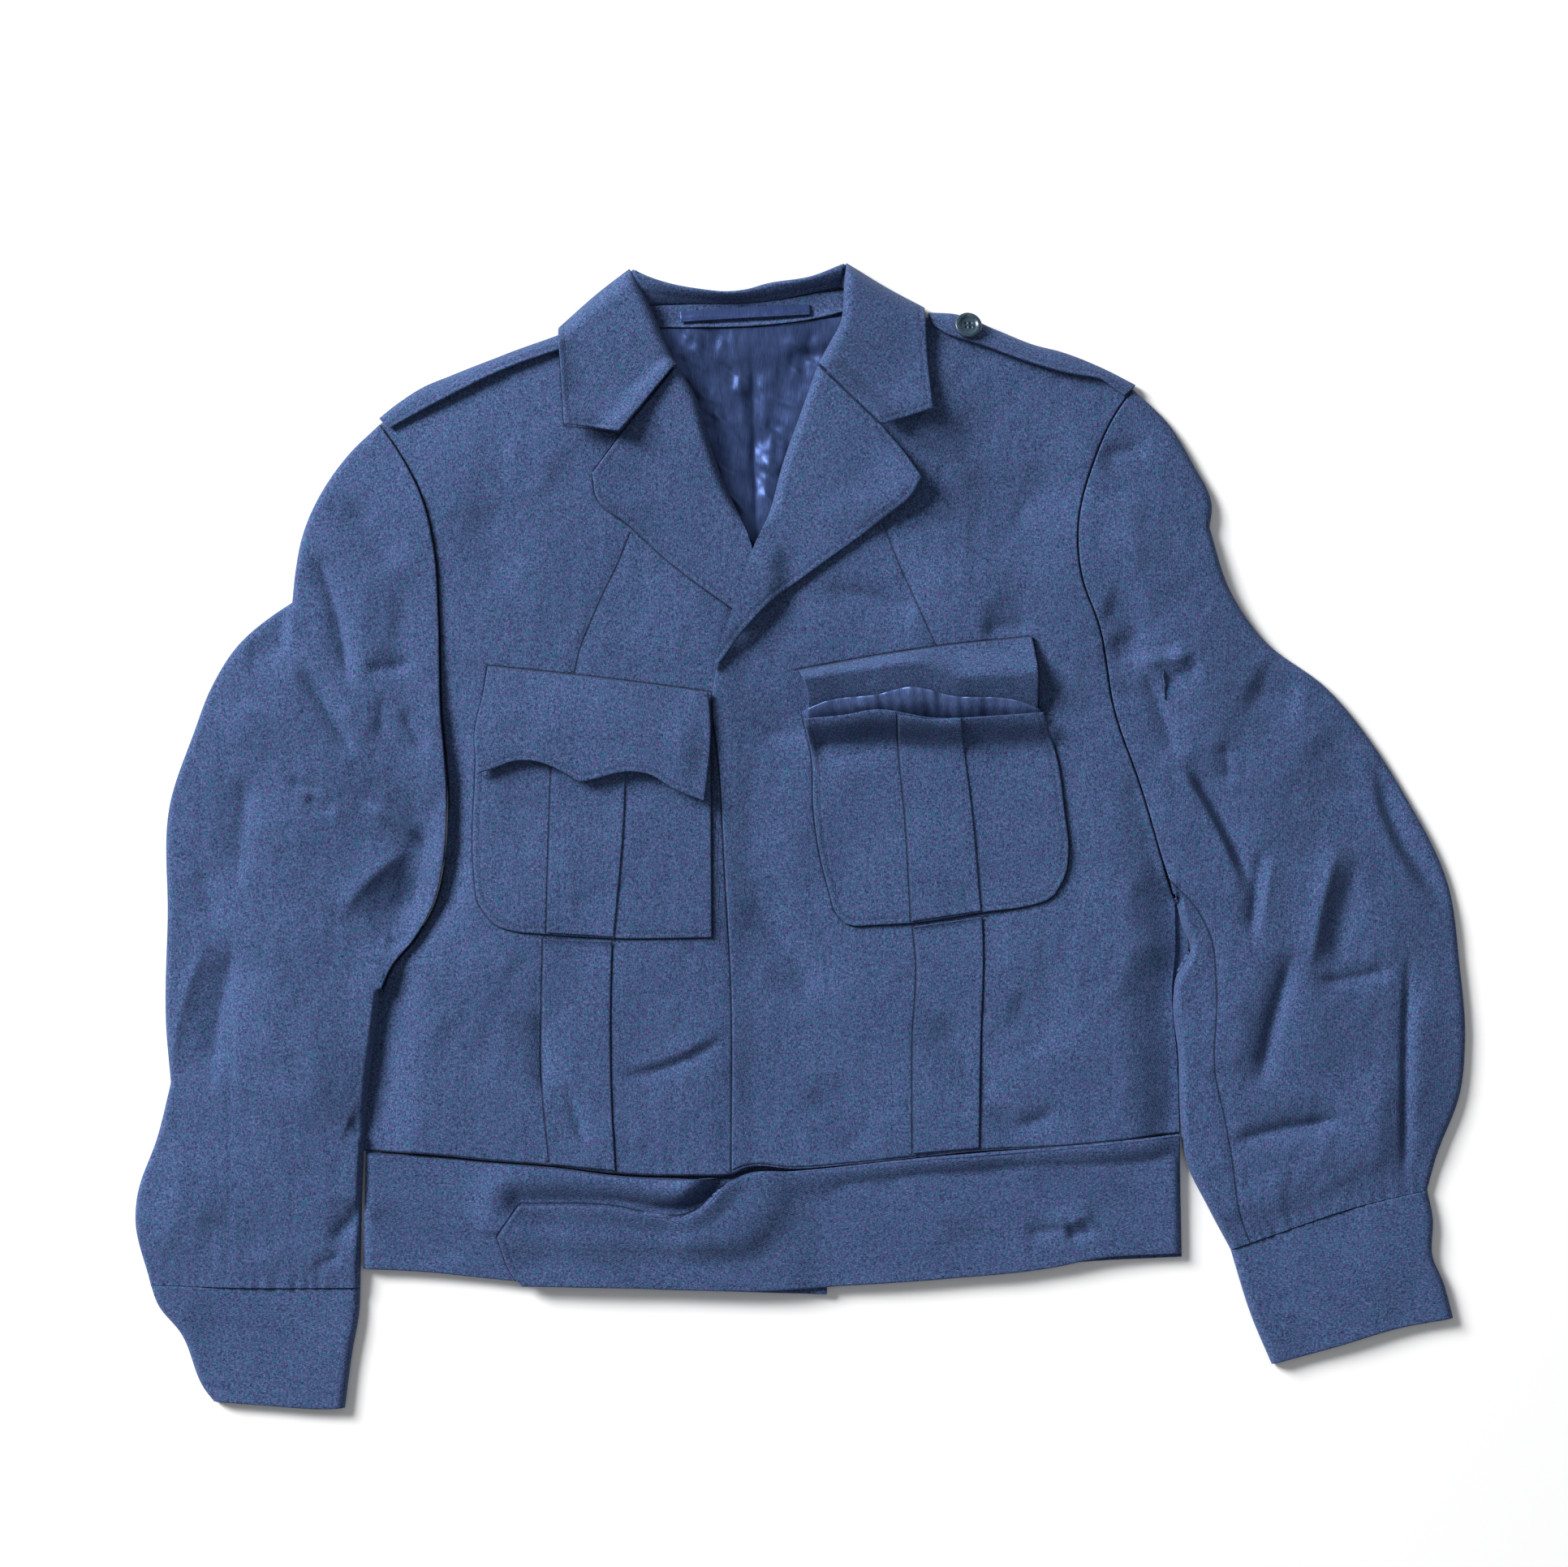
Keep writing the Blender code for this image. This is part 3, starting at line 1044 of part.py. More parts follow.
def main():
    for old in list(bpy.data.objects):
        bpy.data.objects.remove(old, do_unlink=True)
    back, back_band = make_back()
    make_collar_back()
    make_neck(back)
    right_outline = outline_of(SHOULDER_RIGHT, SLEEVE_OUT_RIGHT)
    left_outline = outline_of(SHOULDER_LEFT, SLEEVE_OUT_LEFT)

    front_right = make_front_right()
    edges = (LAPEL_TOP_RIGHT, LAPEL_END_RIGHT, LAPEL_OUT_RIGHT, LAPEL_ROLL_RIGHT)
    lapel_right = make_lapel("lapel_right", edges, LAPEL_ROLL_RIGHT,
                             steps(6, 0, 0.13, 3), [front_right])
    front_left = make_front_left([front_right, lapel_right])
    edges = (LAPEL_TOP_LEFT[::-1], LAPEL_END_LEFT[::-1], LAPEL_ROLL_LEFT, LAPEL_OUT_LEFT)
    make_lapel("lapel_left", edges, LAPEL_ROLL_LEFT,
               steps(6, 0.13, 0, 3), [front_left, lapel_right, front_right])

    strap, _ = make_strap("shoulder_strap_right", STRAP_RIGHT_ENDS, STRAP_RIGHT_EDGE, right_outline, SIDE_RIGHT)
    edges = (FALL_TOP_RIGHT, FALL_LOW_RIGHT, FALL_OUT_RIGHT, FALL_ROLL_RIGHT)
    make_fall("collar_right", edges, FALL_ROLL_RIGHT, FALL_TOP_RIGHT, steps(7, 0, 0.09, 3), [front_right, strap])
    strap, surface = make_strap("shoulder_strap_left", STRAP_LEFT_ENDS, STRAP_LEFT_EDGE, left_outline, SIDE_LEFT)
    edges = (FALL_TOP_LEFT[::-1], FALL_LOW_LEFT[::-1], FALL_ROLL_LEFT, FALL_OUT_LEFT)
    make_fall("collar_left", edges, FALL_ROLL_LEFT, FALL_TOP_LEFT, steps(7, 0.09, 0, 3), [front_left, strap])
    flat = surface.reshape(-1, 3)
    spot = np.linalg.norm(flat[:, :2] - BUTTON_PLACE, axis=1).argmin()
    facing = normals(surface).reshape(-1, 3)[spot]
    make_button("button_left", flat[spot] + facing * SEAM, facing)

    make_pocket_right(front_right)
    make_pocket_left(front_left)
    make_bands(back_band, front_right)
    make_sleeve("sleeve_right", ARMHOLE_RIGHT, CUFF_SEAM_RIGHT, SLEEVE_OUT_RIGHT, SLEEVE_IN_RIGHT,
                SHOULDER_RIGHT, -1)
    make_sleeve("sleeve_left", ARMHOLE_LEFT, CUFF_SEAM_LEFT, SLEEVE_OUT_LEFT, SLEEVE_IN_LEFT,
                SHOULDER_LEFT, 1)
    make_cuff("cuff_right", CUFF_SEAM_RIGHT, CUFF_END_RIGHT, CUFF_OUT_RIGHT, CUFF_IN_RIGHT, -1)
    make_cuff("cuff_left", CUFF_SEAM_LEFT, CUFF_END_LEFT, CUFF_OUT_LEFT, CUFF_IN_LEFT, 1)


main()
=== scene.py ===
"""Waist-length battledress blouse of blue-grey wool serge, laid flat: the cloth, its folds and its light.

The frame's solids carry the sizes. Every piece here is the same cloth at a finer scale, with its smaller
folds, turned edges, sewn lines and weave. Sizes are in millimetres and the meshes in metres, +Z up.
"""
from collections import namedtuple
from math import ceil, cos, pi, radians, sin

import bpy
import numpy as np
from bpy.props import FloatProperty, FloatVectorProperty, IntProperty, PointerProperty
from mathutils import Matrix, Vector


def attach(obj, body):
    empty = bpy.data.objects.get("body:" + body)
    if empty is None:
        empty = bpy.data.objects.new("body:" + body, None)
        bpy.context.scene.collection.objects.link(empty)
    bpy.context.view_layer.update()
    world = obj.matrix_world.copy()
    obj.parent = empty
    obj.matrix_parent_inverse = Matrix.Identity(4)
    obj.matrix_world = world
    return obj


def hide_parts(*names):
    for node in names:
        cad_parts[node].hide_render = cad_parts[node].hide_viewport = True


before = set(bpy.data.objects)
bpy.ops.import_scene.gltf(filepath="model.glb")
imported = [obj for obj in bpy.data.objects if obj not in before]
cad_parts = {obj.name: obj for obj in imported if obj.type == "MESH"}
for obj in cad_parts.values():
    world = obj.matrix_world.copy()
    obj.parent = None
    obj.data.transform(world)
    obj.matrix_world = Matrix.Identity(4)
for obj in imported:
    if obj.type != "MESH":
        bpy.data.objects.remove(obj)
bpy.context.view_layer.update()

bl_info = {
    "name": "Battledress Blouse",
    "version": (1, 0, 0),
    "blender": (4, 5, 0),
    "location": "View3D > Sidebar > Blouse",
    "description": "Builds a wool serge blouse, laid flat, piece by piece",
    "category": "Object",
}

MM = 0.001

# Driving sizes, in millimetres
CLOTH = 1.6            # one layer of serge
DOUBLE = 2.6           # two layers: collar, lapels, flaps, straps and bands
SATIN = 1.0            # lining with its own folds
GAP = 0.5              # clear space between layers that lie on each other
SEAM = 0.12            # clear space between pieces that meet edge to edge
BACK_LIFT = 2.4        # how far the back stands over the collar fall beneath it
BODY_HEIGHT = 9.5      # top of the fronts where nothing lies under them
BAND_HEIGHT = 7.6      # top of the waistband and cuffs
BAND_ROUND = 5.0       # how far in from their ends bands and cuffs round down
TUBE_ROUND = 2.6       # lower edge of a sleeve or cuff, where it turns onto the surface
ROLL_ROUND = 6.0       # how far in from the roll line collar and lapel turn down
ROLL_DEPTH = 8.0       # how far they turn down there
STAND_HEIGHT = 15.0    # top of the collar behind the neck
UNDER_FALL = 34.0      # depth of the collar fall that lies under the back
BREAK_Y = 184.0        # where the roll line ends and the fronts cross
STRAP_LIFT = 3.5       # how far the free edge of a shoulder strap stands off the shoulder
NECK_SLOPE = 16.0      # length over which the back comes down from the collar beneath it
TUCK_DEPTH = 3.6       # how far the right front dips where it goes under the left one
TUCK_WIDTH = 34.0      # how far in from its edge that dip starts
GATHER = 26.0          # length over which a sleeve draws in to its cuff
BREAK_LENGTH = 25.0    # length over which a lapel's roll flattens out above the break
FALL_ROUND = 12.0      # how far in from the outline the collar's fall turns down
FALL_FLOOR = 0.4       # lowest point of the fall where it meets the surface
HOVER = 1.2            # how far the fall stands clear of the front and the strap
FLAP_STAND = 2.5       # how far the right pocket flap stands off its pocket
FLAP_FLARE = 3.0       # how much more its loose corner does
MOUTH_BULGE = 2.2      # height of the lining's swell in the open pocket
MOUTH_PUCKER = 0.7     # height of its puckers
LINING_LIFT = 2.2      # how loosely the lining lies on the back
TAPE_ARCH = 1.6        # how far the hanger tape bows up between its ends

Fold = namedtuple("Fold", "x0 y0 x1 y1 bend half rise lean")
Dome = namedtuple("Dome", "x y spread_x spread_y rise")


# Outline and seams, rows of x, y; a third value of 1 marks a corner.
# Names say the wearer's side: right is -X, left is +X.
SHOULDER_RIGHT = [
    (-259.5, 254), (-247, 264), (-231.5, 274), (-213.5, 281.5), (-192, 290), (-169, 298.5),
    (-148, 306), (-125.5, 316), (-105, 326),
]
SHOULDER_LEFT = [
    (205.5, 275.5), (186, 285.5), (161, 295.5), (143.5, 300), (119.5, 309.5), (96, 318.5),
    (76.5, 320), (54.5, 326), (32, 332),
]
ARMHOLE_RIGHT = [
    (-259.5, 254), (-248, 237.5), (-233, 209), (-225, 175), (-222.5, 135), (-221.5, 82.5),
    (-217.5, 23.5), (-219.5, -15), (-226, -42.5), (-238, -64), (-251, -80), (-259, -97.5),
]
ARMHOLE_LEFT = [
    (205.5, 275.5), (194, 259), (180.5, 229), (171.5, 193.5), (173, 161.5), (184.5, 128),
    (194, 75), (209.5, 31), (227, -27), (232, -41),
]
SIDE_RIGHT = [
    (-259, -97.5), (-262.5, -130), (-266.5, -168), (-268, -194.5),
]
SIDE_LEFT = [
    (232, -41), (235, -55.5), (237.5, -68.5), (235, -78.5), (232, -86.5), (230, -99), (233, -135),
    (234, -183.5),
]
WAIST_RIGHT = [
    (-268, -194.5), (-226, -196.5), (-192.5, -200), (-150, -203.5), (-114.5, -208), (-63, -209.5),
    (-43, -209), (-21.5, -203.5),
]
WAIST_LEFT = [
    (-42, -206.5), (-34, -203.5), (-3, -204.5), (30, -202), (73, -197.5), (107.5, -194),
    (159, -191.5), (234, -183.5),
]
WAIST_BACK = [
    (-268, -194.5), (-193, -199), (-103, -203), (-3, -203), (107, -195), (234, -183.5),
]
OPENING_RIGHT = [
    (-105, 326), (-93, 305), (-80, 284), (-69.5, 265), (-63, 245), (-52.5, 215), (-37.5, 183),
    (-28, 160), (-24, 115), (-24, 15), (-21.5, -203.5),
]
OPENING_LEFT = [
    (32, 332), (31, 310), (24, 297), (17, 287), (8.5, 263), (-4, 228), (-14, 193), (-24, 168),
    (-35, 145), (-51, 106), (-54, 85), (-50, 45), (-45.5, -33), (-42.5, -85), (-42, -207),
]
SLEEVE_OUT_RIGHT = [
    (-259.5, 254), (-279, 235), (-307.5, 184), (-311.5, 163), (-313.5, 144, 1), (-323.5, 137.5),
    (-347.5, 117), (-363.5, 91.5), (-374.5, 63), (-389, 20), (-390.5, -50), (-391.5, -117.5),
    (-388.5, -152.5, 1), (-396.5, -185), (-409.5, -223.5), (-410.5, -235), (-401, -277),
]
SLEEVE_OUT_LEFT = [
    (205.5, 275.5), (226, 255.5), (242, 230), (254, 203), (252.5, 190.5, 1), (265, 152),
    (285, 122), (325.5, 90.5), (351.5, 59), (372.5, 26), (400, -30.5), (407, -79.5), (410.5, -124),
    (407.5, -158), (392.5, -198.5), (387, -218.5),
]
SLEEVE_IN_RIGHT = [
    (-259, -97.5), (-263, -130), (-267.5, -168.5), (-270, -216), (-271.5, -278.5),
]
CUFF_SEAM_RIGHT = [
    (-401, -277), (-347.5, -278.5), (-271.5, -278.5),
]
CUFF_SEAM_LEFT = [
    (387, -218.5), (343.5, -228.5), (294, -245), (265.5, -255),
]
CUFF_OUT_RIGHT = [
    (-401, -277), (-397, -288.5), (-382, -307.5), (-367.5, -342), (-362, -349),
]
CUFF_IN_RIGHT = [
    (-271.5, -278.5), (-272, -292), (-276.5, -319), (-281, -353),
]
CUFF_END_RIGHT = [
    (-362, -349), (-328, -351.5), (-294, -353.5), (-281, -353),
]
CUFF_OUT_LEFT = [
    (387, -218.5), (390.5, -235.5), (390.5, -260), (397, -275.5), (403, -297.5),
]
CUFF_IN_LEFT = [
    (265.5, -255), (278.5, -296.5), (291, -326),
]
CUFF_END_LEFT = [
    (403, -297.5), (368, -304), (331, -315), (291, -326),
]

# Folds of the body: ends, bend to the left, half width, rise and lean
BODY_FOLDS = [
    Fold(113, -157.5, 162, -161, -20, 5, -3.9, 0),
    Fold(-146.5, -150, -133, -197, 2, 3.6, -4.5, 0),
    Fold(-114.5, -149, -42, -121, -6, 3.2, -3.6, 0),
    Fold(-110.5, -143, -45.5, -115, -6, 5, 2, 0),
    Fold(-162, -102.5, -160, -169, 3, 5, -4.2, -0.2),
    Fold(7, 151, 78, 136.5, 3, 6, -3.9, 0),
    Fold(82, 265, 174.5, 190, -8, 22, -6.3, 0),
    Fold(-51, 68, 8, 63, -2, 3.5, -2.6, 0),
    Fold(109.5, 126, 145, 131, 0, 6, -2.8, 0),
    Fold(-41.5, -30, 12, -110, 4, 12, -3.6, 0),
    Fold(82, -105, 127, -171, -4, 10, -3.1, 0),
    Fold(7, -150, 47, -195, -3, 10, -2.8, 0),
    Fold(204.5, 50, 227, -40, -3, 9, -3.4, 0),
    Fold(-265.5, -205, -258, -135, 2, 14, -1.7, 0),
    Fold(-191, 20, -132, 16, -3, 3, -2.2, 0),
    Fold(-135.5, 8, -110, 13, 2, 2.6, -2.1, 0),
    Fold(-148, -38, -115, -29.5, -2, 3, -2.2, 0),
    Fold(-52, 78, -39, 79, 2, 2.4, -2, 0),
    Fold(-213, -75, -173, -85, 4, 12, 1.7, 0),
    Fold(-223, -115, -183, -135, -4, 12, -1.7, 0),
    Fold(157, -75, 207, -100, 4, 12, 1.7, 0),
    Fold(127, -100, 157, -135, 4, 12, -1.7, 0),
    Fold(-13, 10, -0.5, -35, 2, 9, 1.4, 0),
    Fold(-188, 235, -143, 220, 4, 14, 2, 0),
    Fold(-203, 205, -173, 155, -4, 14, -2, 0),
    Fold(97, 215, 152, 195, 6, 16, -2, 0),
    Fold(67, 165, 127, 130, 4, 13, 1.7, 0),
    Fold(183, 255, 176, 220, -6, 12, 1.8, 0),
]
# Folds of the sleeves, in the same columns
SLEEVE_FOLDS = [
    Fold(-302, 181, -278, 86, 5, 4.5, -6.3, -0.25),
    Fold(-280.5, 211, -246, 163, -2, 9, -4.5, 0),
    Fold(-318, 145, -319, 107.5, -2, 6, -6, -0.3),
    Fold(-312, 142.5, -314, 114, 0, 3, 2.4, 0),
    Fold(-343, 109, -320.5, 116, -3, 9, -3.3, 0),
    Fold(-309.5, 107, -272.5, 46, 1, 3.6, -4.5, -0.2),
    Fold(-270.5, 102.5, -234, 109.5, -2, 2.6, -3.3, 0),
    Fold(-258, 85, -257.5, 61, 0, 4, -1.8, 0),
    Fold(-246.5, 78, -229.5, 50, 0, 3, -3.2, 0),
    Fold(-315.5, 34.5, -293, 29, -1, 2.2, -2.5, 0),
    Fold(-305.5, 24, -285, 14, 0, 3, -3, 0),
    Fold(-271, 19.5, -232, -5.5, 3, 3.5, 4.2, 0),
    Fold(-339, 43.5, -346, -34, -2, 8, -4.5, -0.2),
    Fold(-237, -6, -284, -52, -5, 6, 4.2, -0.2),
    Fold(-217, 40, -240.5, -72.5, -6, 14, -6, -0.4),
    Fold(-228, -19, -258, -80, -4, 10, -4.6, -0.1),
    Fold(-256, -66.5, -241, -59.5, -2, 2.4, -2.2, 0),
    Fold(-371.5, -20, -362.5, -55, 2, 6, -3, 0),
    Fold(-347, -59, -365, -160, -2, 8, -6.9, -0.3),
    Fold(-362, -62.5, -387, -152, -7, 4, 3.3, 0),
    Fold(-325.5, -75, -328, -150, 3, 12, 1.8, 0),
    Fold(-298, -85, -303, -185, 3, 14, 2.1, 0),
    Fold(-380.5, -185, -395.5, -265, 4, 10, 2.7, 0),
    Fold(-373, -235, -328, -265, 4, 12, -2.1, 0),
    Fold(-301, -266.5, -282, -255.5, -2, 3, -3, 0),
    Fold(-292, -252, -270, -221, -4, 6, -4.5, 0),
    Fold(-279, -175, -269, -186, 2, 5, -2.7, 0),
    Fold(-243, 165, -258, 85, 4, 12, -2.4, 0),
    Fold(-293, 195, -295.5, 165, -3, 12, 2.1, 0),
    Fold(-288, 75, -258, 62.5, 3, 7, 1.5, 0),
    Fold(-343, 85, -350.5, 50, 4, 12, 2.1, 0),
    Fold(185, 144, 212, 116, 4, 8, -3.8, 0),
    Fold(187.5, 122.5, 238, 110.5, -1, 4.5, -3.8, 0),
    Fold(205.5, 108.5, 243, 112, -1, 3.5, 4.2, 0),
    Fold(192.5, 110.5, 206, 112.5, 0, 3, -1.6, 0),
    Fold(221, 92, 248.5, 104, 1, 5, -3.2, 0),
    Fold(274.5, 96, 312, 85, -3, 12, -5.1, 0),
    Fold(261, 59, 264.5, 30, 0, 4, -2.4, 0),
    Fold(208.5, 105, 231, 43, 3, 5, -3.9, 0),
    Fold(233, 50, 278.5, -37, 4.5, 5, -7.5, -0.1),
    Fold(228, 47, 272.5, -37.5, 4.5, 3.5, 3.3, 0),
    Fold(285, -3, 277.5, -70, -1, 4.5, -5.1, 0),
    Fold(290, -5, 283, -69, 0, 3, 2.4, 0),
    Fold(333.5, 2, 312.5, -91, -3, 6, 5.1, 0),
    Fold(344, -10, 327, -87.5, -2, 8, -4.2, 0),
    Fold(307, -65, 282.5, -160, -3, 5, -6, 0),
    Fold(313, -90.5, 370, -80.5, -2, 4, -3.9, 0),
    Fold(355.5, 55, 407, -47.5, -12, 6, -8.1, 0),
    Fold(349.5, 55, 399, -52, -12, 5, 3.3, 0),
    Fold(261, -191, 342, -175, 3, 4, -4.8, 0),
    Fold(376, -65, 373.5, -224, -2, 4, -7.2, -0.1),
    Fold(372, -65, 370, -224, -2, 3, 2, 0),
    Fold(387, -85, 382, -205, -8, 10, 3.6, 0),
    Fold(181.5, 229, 218, 239, 3, 5, -3.3, 0),
    Fold(187, 120, 204.5, 75, 4, 10, -2.2, 0),
    Fold(204.5, 195, 227, 135, -8, 16, 2.4, 0),
    Fold(197, 215, 203, 165, 4, 9, 1.8, 0),
    Fold(307, -195, 337, -220, 4, 10, 2, 0),
    Fold(287, -205, 297, -237.5, 2, 8, 2.1, 0),
    Fold(357, -135, 352, -215, 3, 9, 2.1, 0),
    Fold(317, 65, 337, 15, 8, 14, -2.7, 0),
    Fold(257, -95, 277, -150, 4, 12, 1.8, 0),
]
BODY_DOMES = [
    Dome(-173, 235, 110, 80, 4),
    Dome(67, 255, 90, 90, 6),
    Dome(-38, 305, 110, 80, 6.5),
    Dome(-113, 135, 120, 90, 1.5),
    Dome(72, 127.5, 150, 75, 4),
    Dome(-293, 115, 60, 120, 4),
    Dome(239.5, 85, 70, 120, 6),
    Dome(-303, -110, 60, 130, 4),
    Dome(277, -85, 70, 130, 5),
    Dome(77, 72, 75, 15, -6),
]
BAND_FOLDS = [
    Fold(-267, -227, -205, -262, -4, 5, -3.9, 0),
    Fold(151, -243.5, 183, -234.5, 3, 4, 2.6, 0),
    Fold(162, -232, 170.5, -251, 0, 3.5, -2.9, 0),
    Fold(137.5, -246, 166.5, -240.5, 0, 3.5, -2.6, 0),
    Fold(164, -247, 182, -244, 0, 3, -2.6, 0),
    Fold(158, -239, 173, -234.5, -2, 3, 2, 0),
    Fold(-143, -240, -113, -265, 3, 8, 1, 0),
    Fold(57, -210, 97, -255, 4, 12, 1.3, 0),
    Fold(-383, -295, -293, -330, 6, 18, -1.6, 0),
    Fold(287, -265, 377, -285, 6, 18, 1.3, 0),
]

# Collar, lapels and what shows inside the neck
FALL_OUT_RIGHT = [
    (-149, 313.5), (-147, 288.5), (-144.5, 252),
]
FALL_ROLL_RIGHT = [
    (-105.5, 350), (-93, 327.5), (-83, 305), (-76, 290),
]
FALL_TOP_RIGHT = [
    (-149, 313.5), (-125.5, 334.5), (-105.5, 350),
]
FALL_LOW_RIGHT = [
    (-144.5, 252), (-125.5, 250), (-110.5, 247.5, 1), (-76, 290),
]
FALL_OUT_LEFT = [
    (76.5, 326), (78, 295), (81.5, 262),
]
FALL_ROLL_LEFT = [
    (28.5, 353.5), (27, 340), (24.5, 315), (18, 302.5), (11, 290),
]
FALL_TOP_LEFT = [
    (76.5, 326), (53, 338.5), (28.5, 353.5),
]
FALL_LOW_LEFT = [
    (81.5, 262), (64.5, 256.5), (50.5, 252, 1), (11, 290),
]
LAPEL_ROLL_RIGHT = [
    (-75.5, 289), (-64, 270), (-58, 250), (-48, 220), (-33, 187.5), (-26, 165),
]
LAPEL_TOP_RIGHT = [
    (-127.5, 222.5), (-110, 246.5, 1), (-75.5, 289),
]
LAPEL_OUT_RIGHT = [
    (-127.5, 222.5), (-125, 208), (-104.5, 190.5), (-78, 166.5), (-37, 136.5),
]
LAPEL_END_RIGHT = [
    (-37, 136.5), (-26, 165),
]
LAPEL_ROLL_LEFT = [
    (10.5, 289), (2, 265), (-10.5, 230), (-20.5, 195), (-28, 179), (-39.5, 145), (-54.5, 104),
]
LAPEL_TOP_LEFT = [
    (74.5, 220), (62, 237.5), (50.5, 251, 1), (10.5, 289),
]
LAPEL_OUT_LEFT = [
    (74.5, 220), (69, 210), (50, 194), (8.5, 163.5), (-22, 140), (-35.5, 125), (-49.5, 106),
]
LAPEL_END_LEFT = [
    (-49.5, 106), (-54.5, 104),
]
NECK_ROLL = [
    (-103, 349), (-93, 344.5), (-61.5, 337), (-46, 335.5), (-32.5, 337), (-22, 340), (7, 345),
    (26.5, 352.5),
]
NECK_SEAM = [
    (-91, 328), (-63, 328), (-22, 329.5), (24, 338.5),
]
LINING_TOP = [
    (-98, 312.5), (-63, 312.5), (-28, 313.5), (7, 317.5), (37, 321.5),
]
LINING_LOW = [
    (-50.5, 165), (-13, 165),
]
LINING_RIGHT = [
    (-98, 312.5), (-87, 290), (-75, 255), (-63, 215), (-50.5, 165),
]
LINING_LEFT = [
    (37, 321.5), (27, 290), (18, 255), (2, 215), (-13, 165),
]
LINING_FOLDS = [
    Fold(-30, 313, -26.5, 170, 0, 4, -1.8, 0.5),
    Fold(-23, 313, -20.5, 170, 0, 7, 1.2, 0),
    Fold(-68, 305, -40.5, 255, 4, 7, 1.2, 0),
    Fold(-59, 242.5, -30.5, 210, -3, 7, 1.3, 0),
    Fold(12, 295, -18, 215, 2, 6, 1.4, 0),
    Fold(-0.5, 300, -23, 235, -3, 6, -1.2, 0),
]
TAPE_TOP = [
    (-74, 323), (-43, 325.5), (6, 327.5),
]
TAPE_LOW = [
    (-74, 316.5), (-43, 318.5), (6, 321),
]

# Right pocket, closed by its scalloped flap
POCKET_RIGHT_TOP = [
    (-193, 87), (-143, 82), (-56, 71),
]
POCKET_RIGHT_OUT = [
    (-193, 87), (-198, 65), (-200, 35), (-200.5, -25), (-198, -41), (-191, -51.5),
]
POCKET_RIGHT_IN = [
    (-56, 71), (-55, 15), (-54.5, -62.5),
]
POCKET_RIGHT_LOW = [
    (-191, -51.5), (-186, -55.5), (-179, -58), (-157, -60.5), (-114.5, -63), (-54.5, -62.5),
]
PLEAT_RIGHT_TOP = [
    (-151, 79), (-107, 73),
]
PLEAT_RIGHT_OUT = [
    (-151, 79), (-153, 37.5), (-156, -59.5),
]
PLEAT_RIGHT_IN = [
    (-107, 73), (-109, 5), (-115, -62),
]
PLEAT_RIGHT_LOW = [
    (-156, -59.5), (-115, -62),
]
FLAP_RIGHT_TOP = [
    (-192, 104.5), (-139.5, 99), (-98, 94), (-56.5, 88.5),
]
FLAP_RIGHT_OUT = [
    (-192, 104.5), (-194.5, 89), (-200, 61.5), (-198, 38.5),
]
FLAP_RIGHT_IN = [
    (-56.5, 88.5), (-55, 69), (-57, 36), (-59, 21.5),
]
FLAP_RIGHT_LOW = [
    (-198, 38.5), (-188, 41.5), (-175, 46), (-163.5, 46), (-144, 38.5), (-135, 33.5), (-126, 35),
    (-105, 39.5), (-93.5, 38), (-77.5, 29), (-59, 21.5),
]
TUCK_RIGHT_OUT = [
    (-158, -63.5), (-159, -105), (-159.5, -140), (-154, -202),
]
TUCK_RIGHT_IN = [
    (-116, -65), (-117, -105), (-116.5, -160), (-114, -206),
]

# Left pocket, open, with its flap tucked in
FLAP_LEFT_TOP = [
    (-1.5, 102), (48.5, 111), (85.5, 116.5), (142.5, 122.5),
]
FLAP_LEFT_LOW = [
    (5, 71), (67, 73), (146, 72),
]
FLAP_LEFT_IN = [
    (-1.5, 102), (2, 96), (5, 71),
]
FLAP_LEFT_OUT = [
    (142.5, 122.5), (145, 107.5), (146, 72),
]
MOUTH_TOP = [
    (1, 76.5), (15, 82.5), (47.5, 87), (67, 91.5), (93.5, 86), (133.5, 83), (147.5, 77.5),
]
MOUTH_LOW = [
    (7, 68), (44.5, 70), (81.5, 66), (122.5, 67), (147.5, 70),
]
POCKET_LEFT_TOP = [
    (2, 72), (28, 74.5), (44.5, 77.5), (81.5, 72.5), (122.5, 74), (149, 76),
]
POCKET_LEFT_IN = [
    (2, 72), (7, 50), (8.5, 15), (13, -15), (18, -34), (22.5, -48), (28, -54),
]
POCKET_LEFT_OUT = [
    (149, 76), (158.5, 45), (162.5, 15), (165, -10), (163, -24), (157, -35.5),
]
POCKET_LEFT_LOW = [
    (28, -54), (34.5, -55.5), (42, -55), (69.5, -53.5), (112, -47), (144.5, -42), (152, -39.5),
    (157, -35.5),
]
PLEAT_LEFT_TOP = [
    (59.5, 74.5), (82, 71.5), (98, 72.5),
]
PLEAT_LEFT_IN = [
    (59.5, 74.5), (61, 50), (64.5, 15), (68.5, -52.5),
]
PLEAT_LEFT_OUT = [
    (98, 72.5), (101, 50), (105.5, 15), (111, -46),
]
PLEAT_LEFT_LOW = [
    (68.5, -52.5), (111, -46),
]
TUCK_LEFT_IN = [
    (69.5, -56), (71.5, -75), (69.5, -126.5), (69.5, -195.5),
]
TUCK_LEFT_OUT = [
    (112, -50), (112.5, -75), (111, -126.5), (110, -192),
]

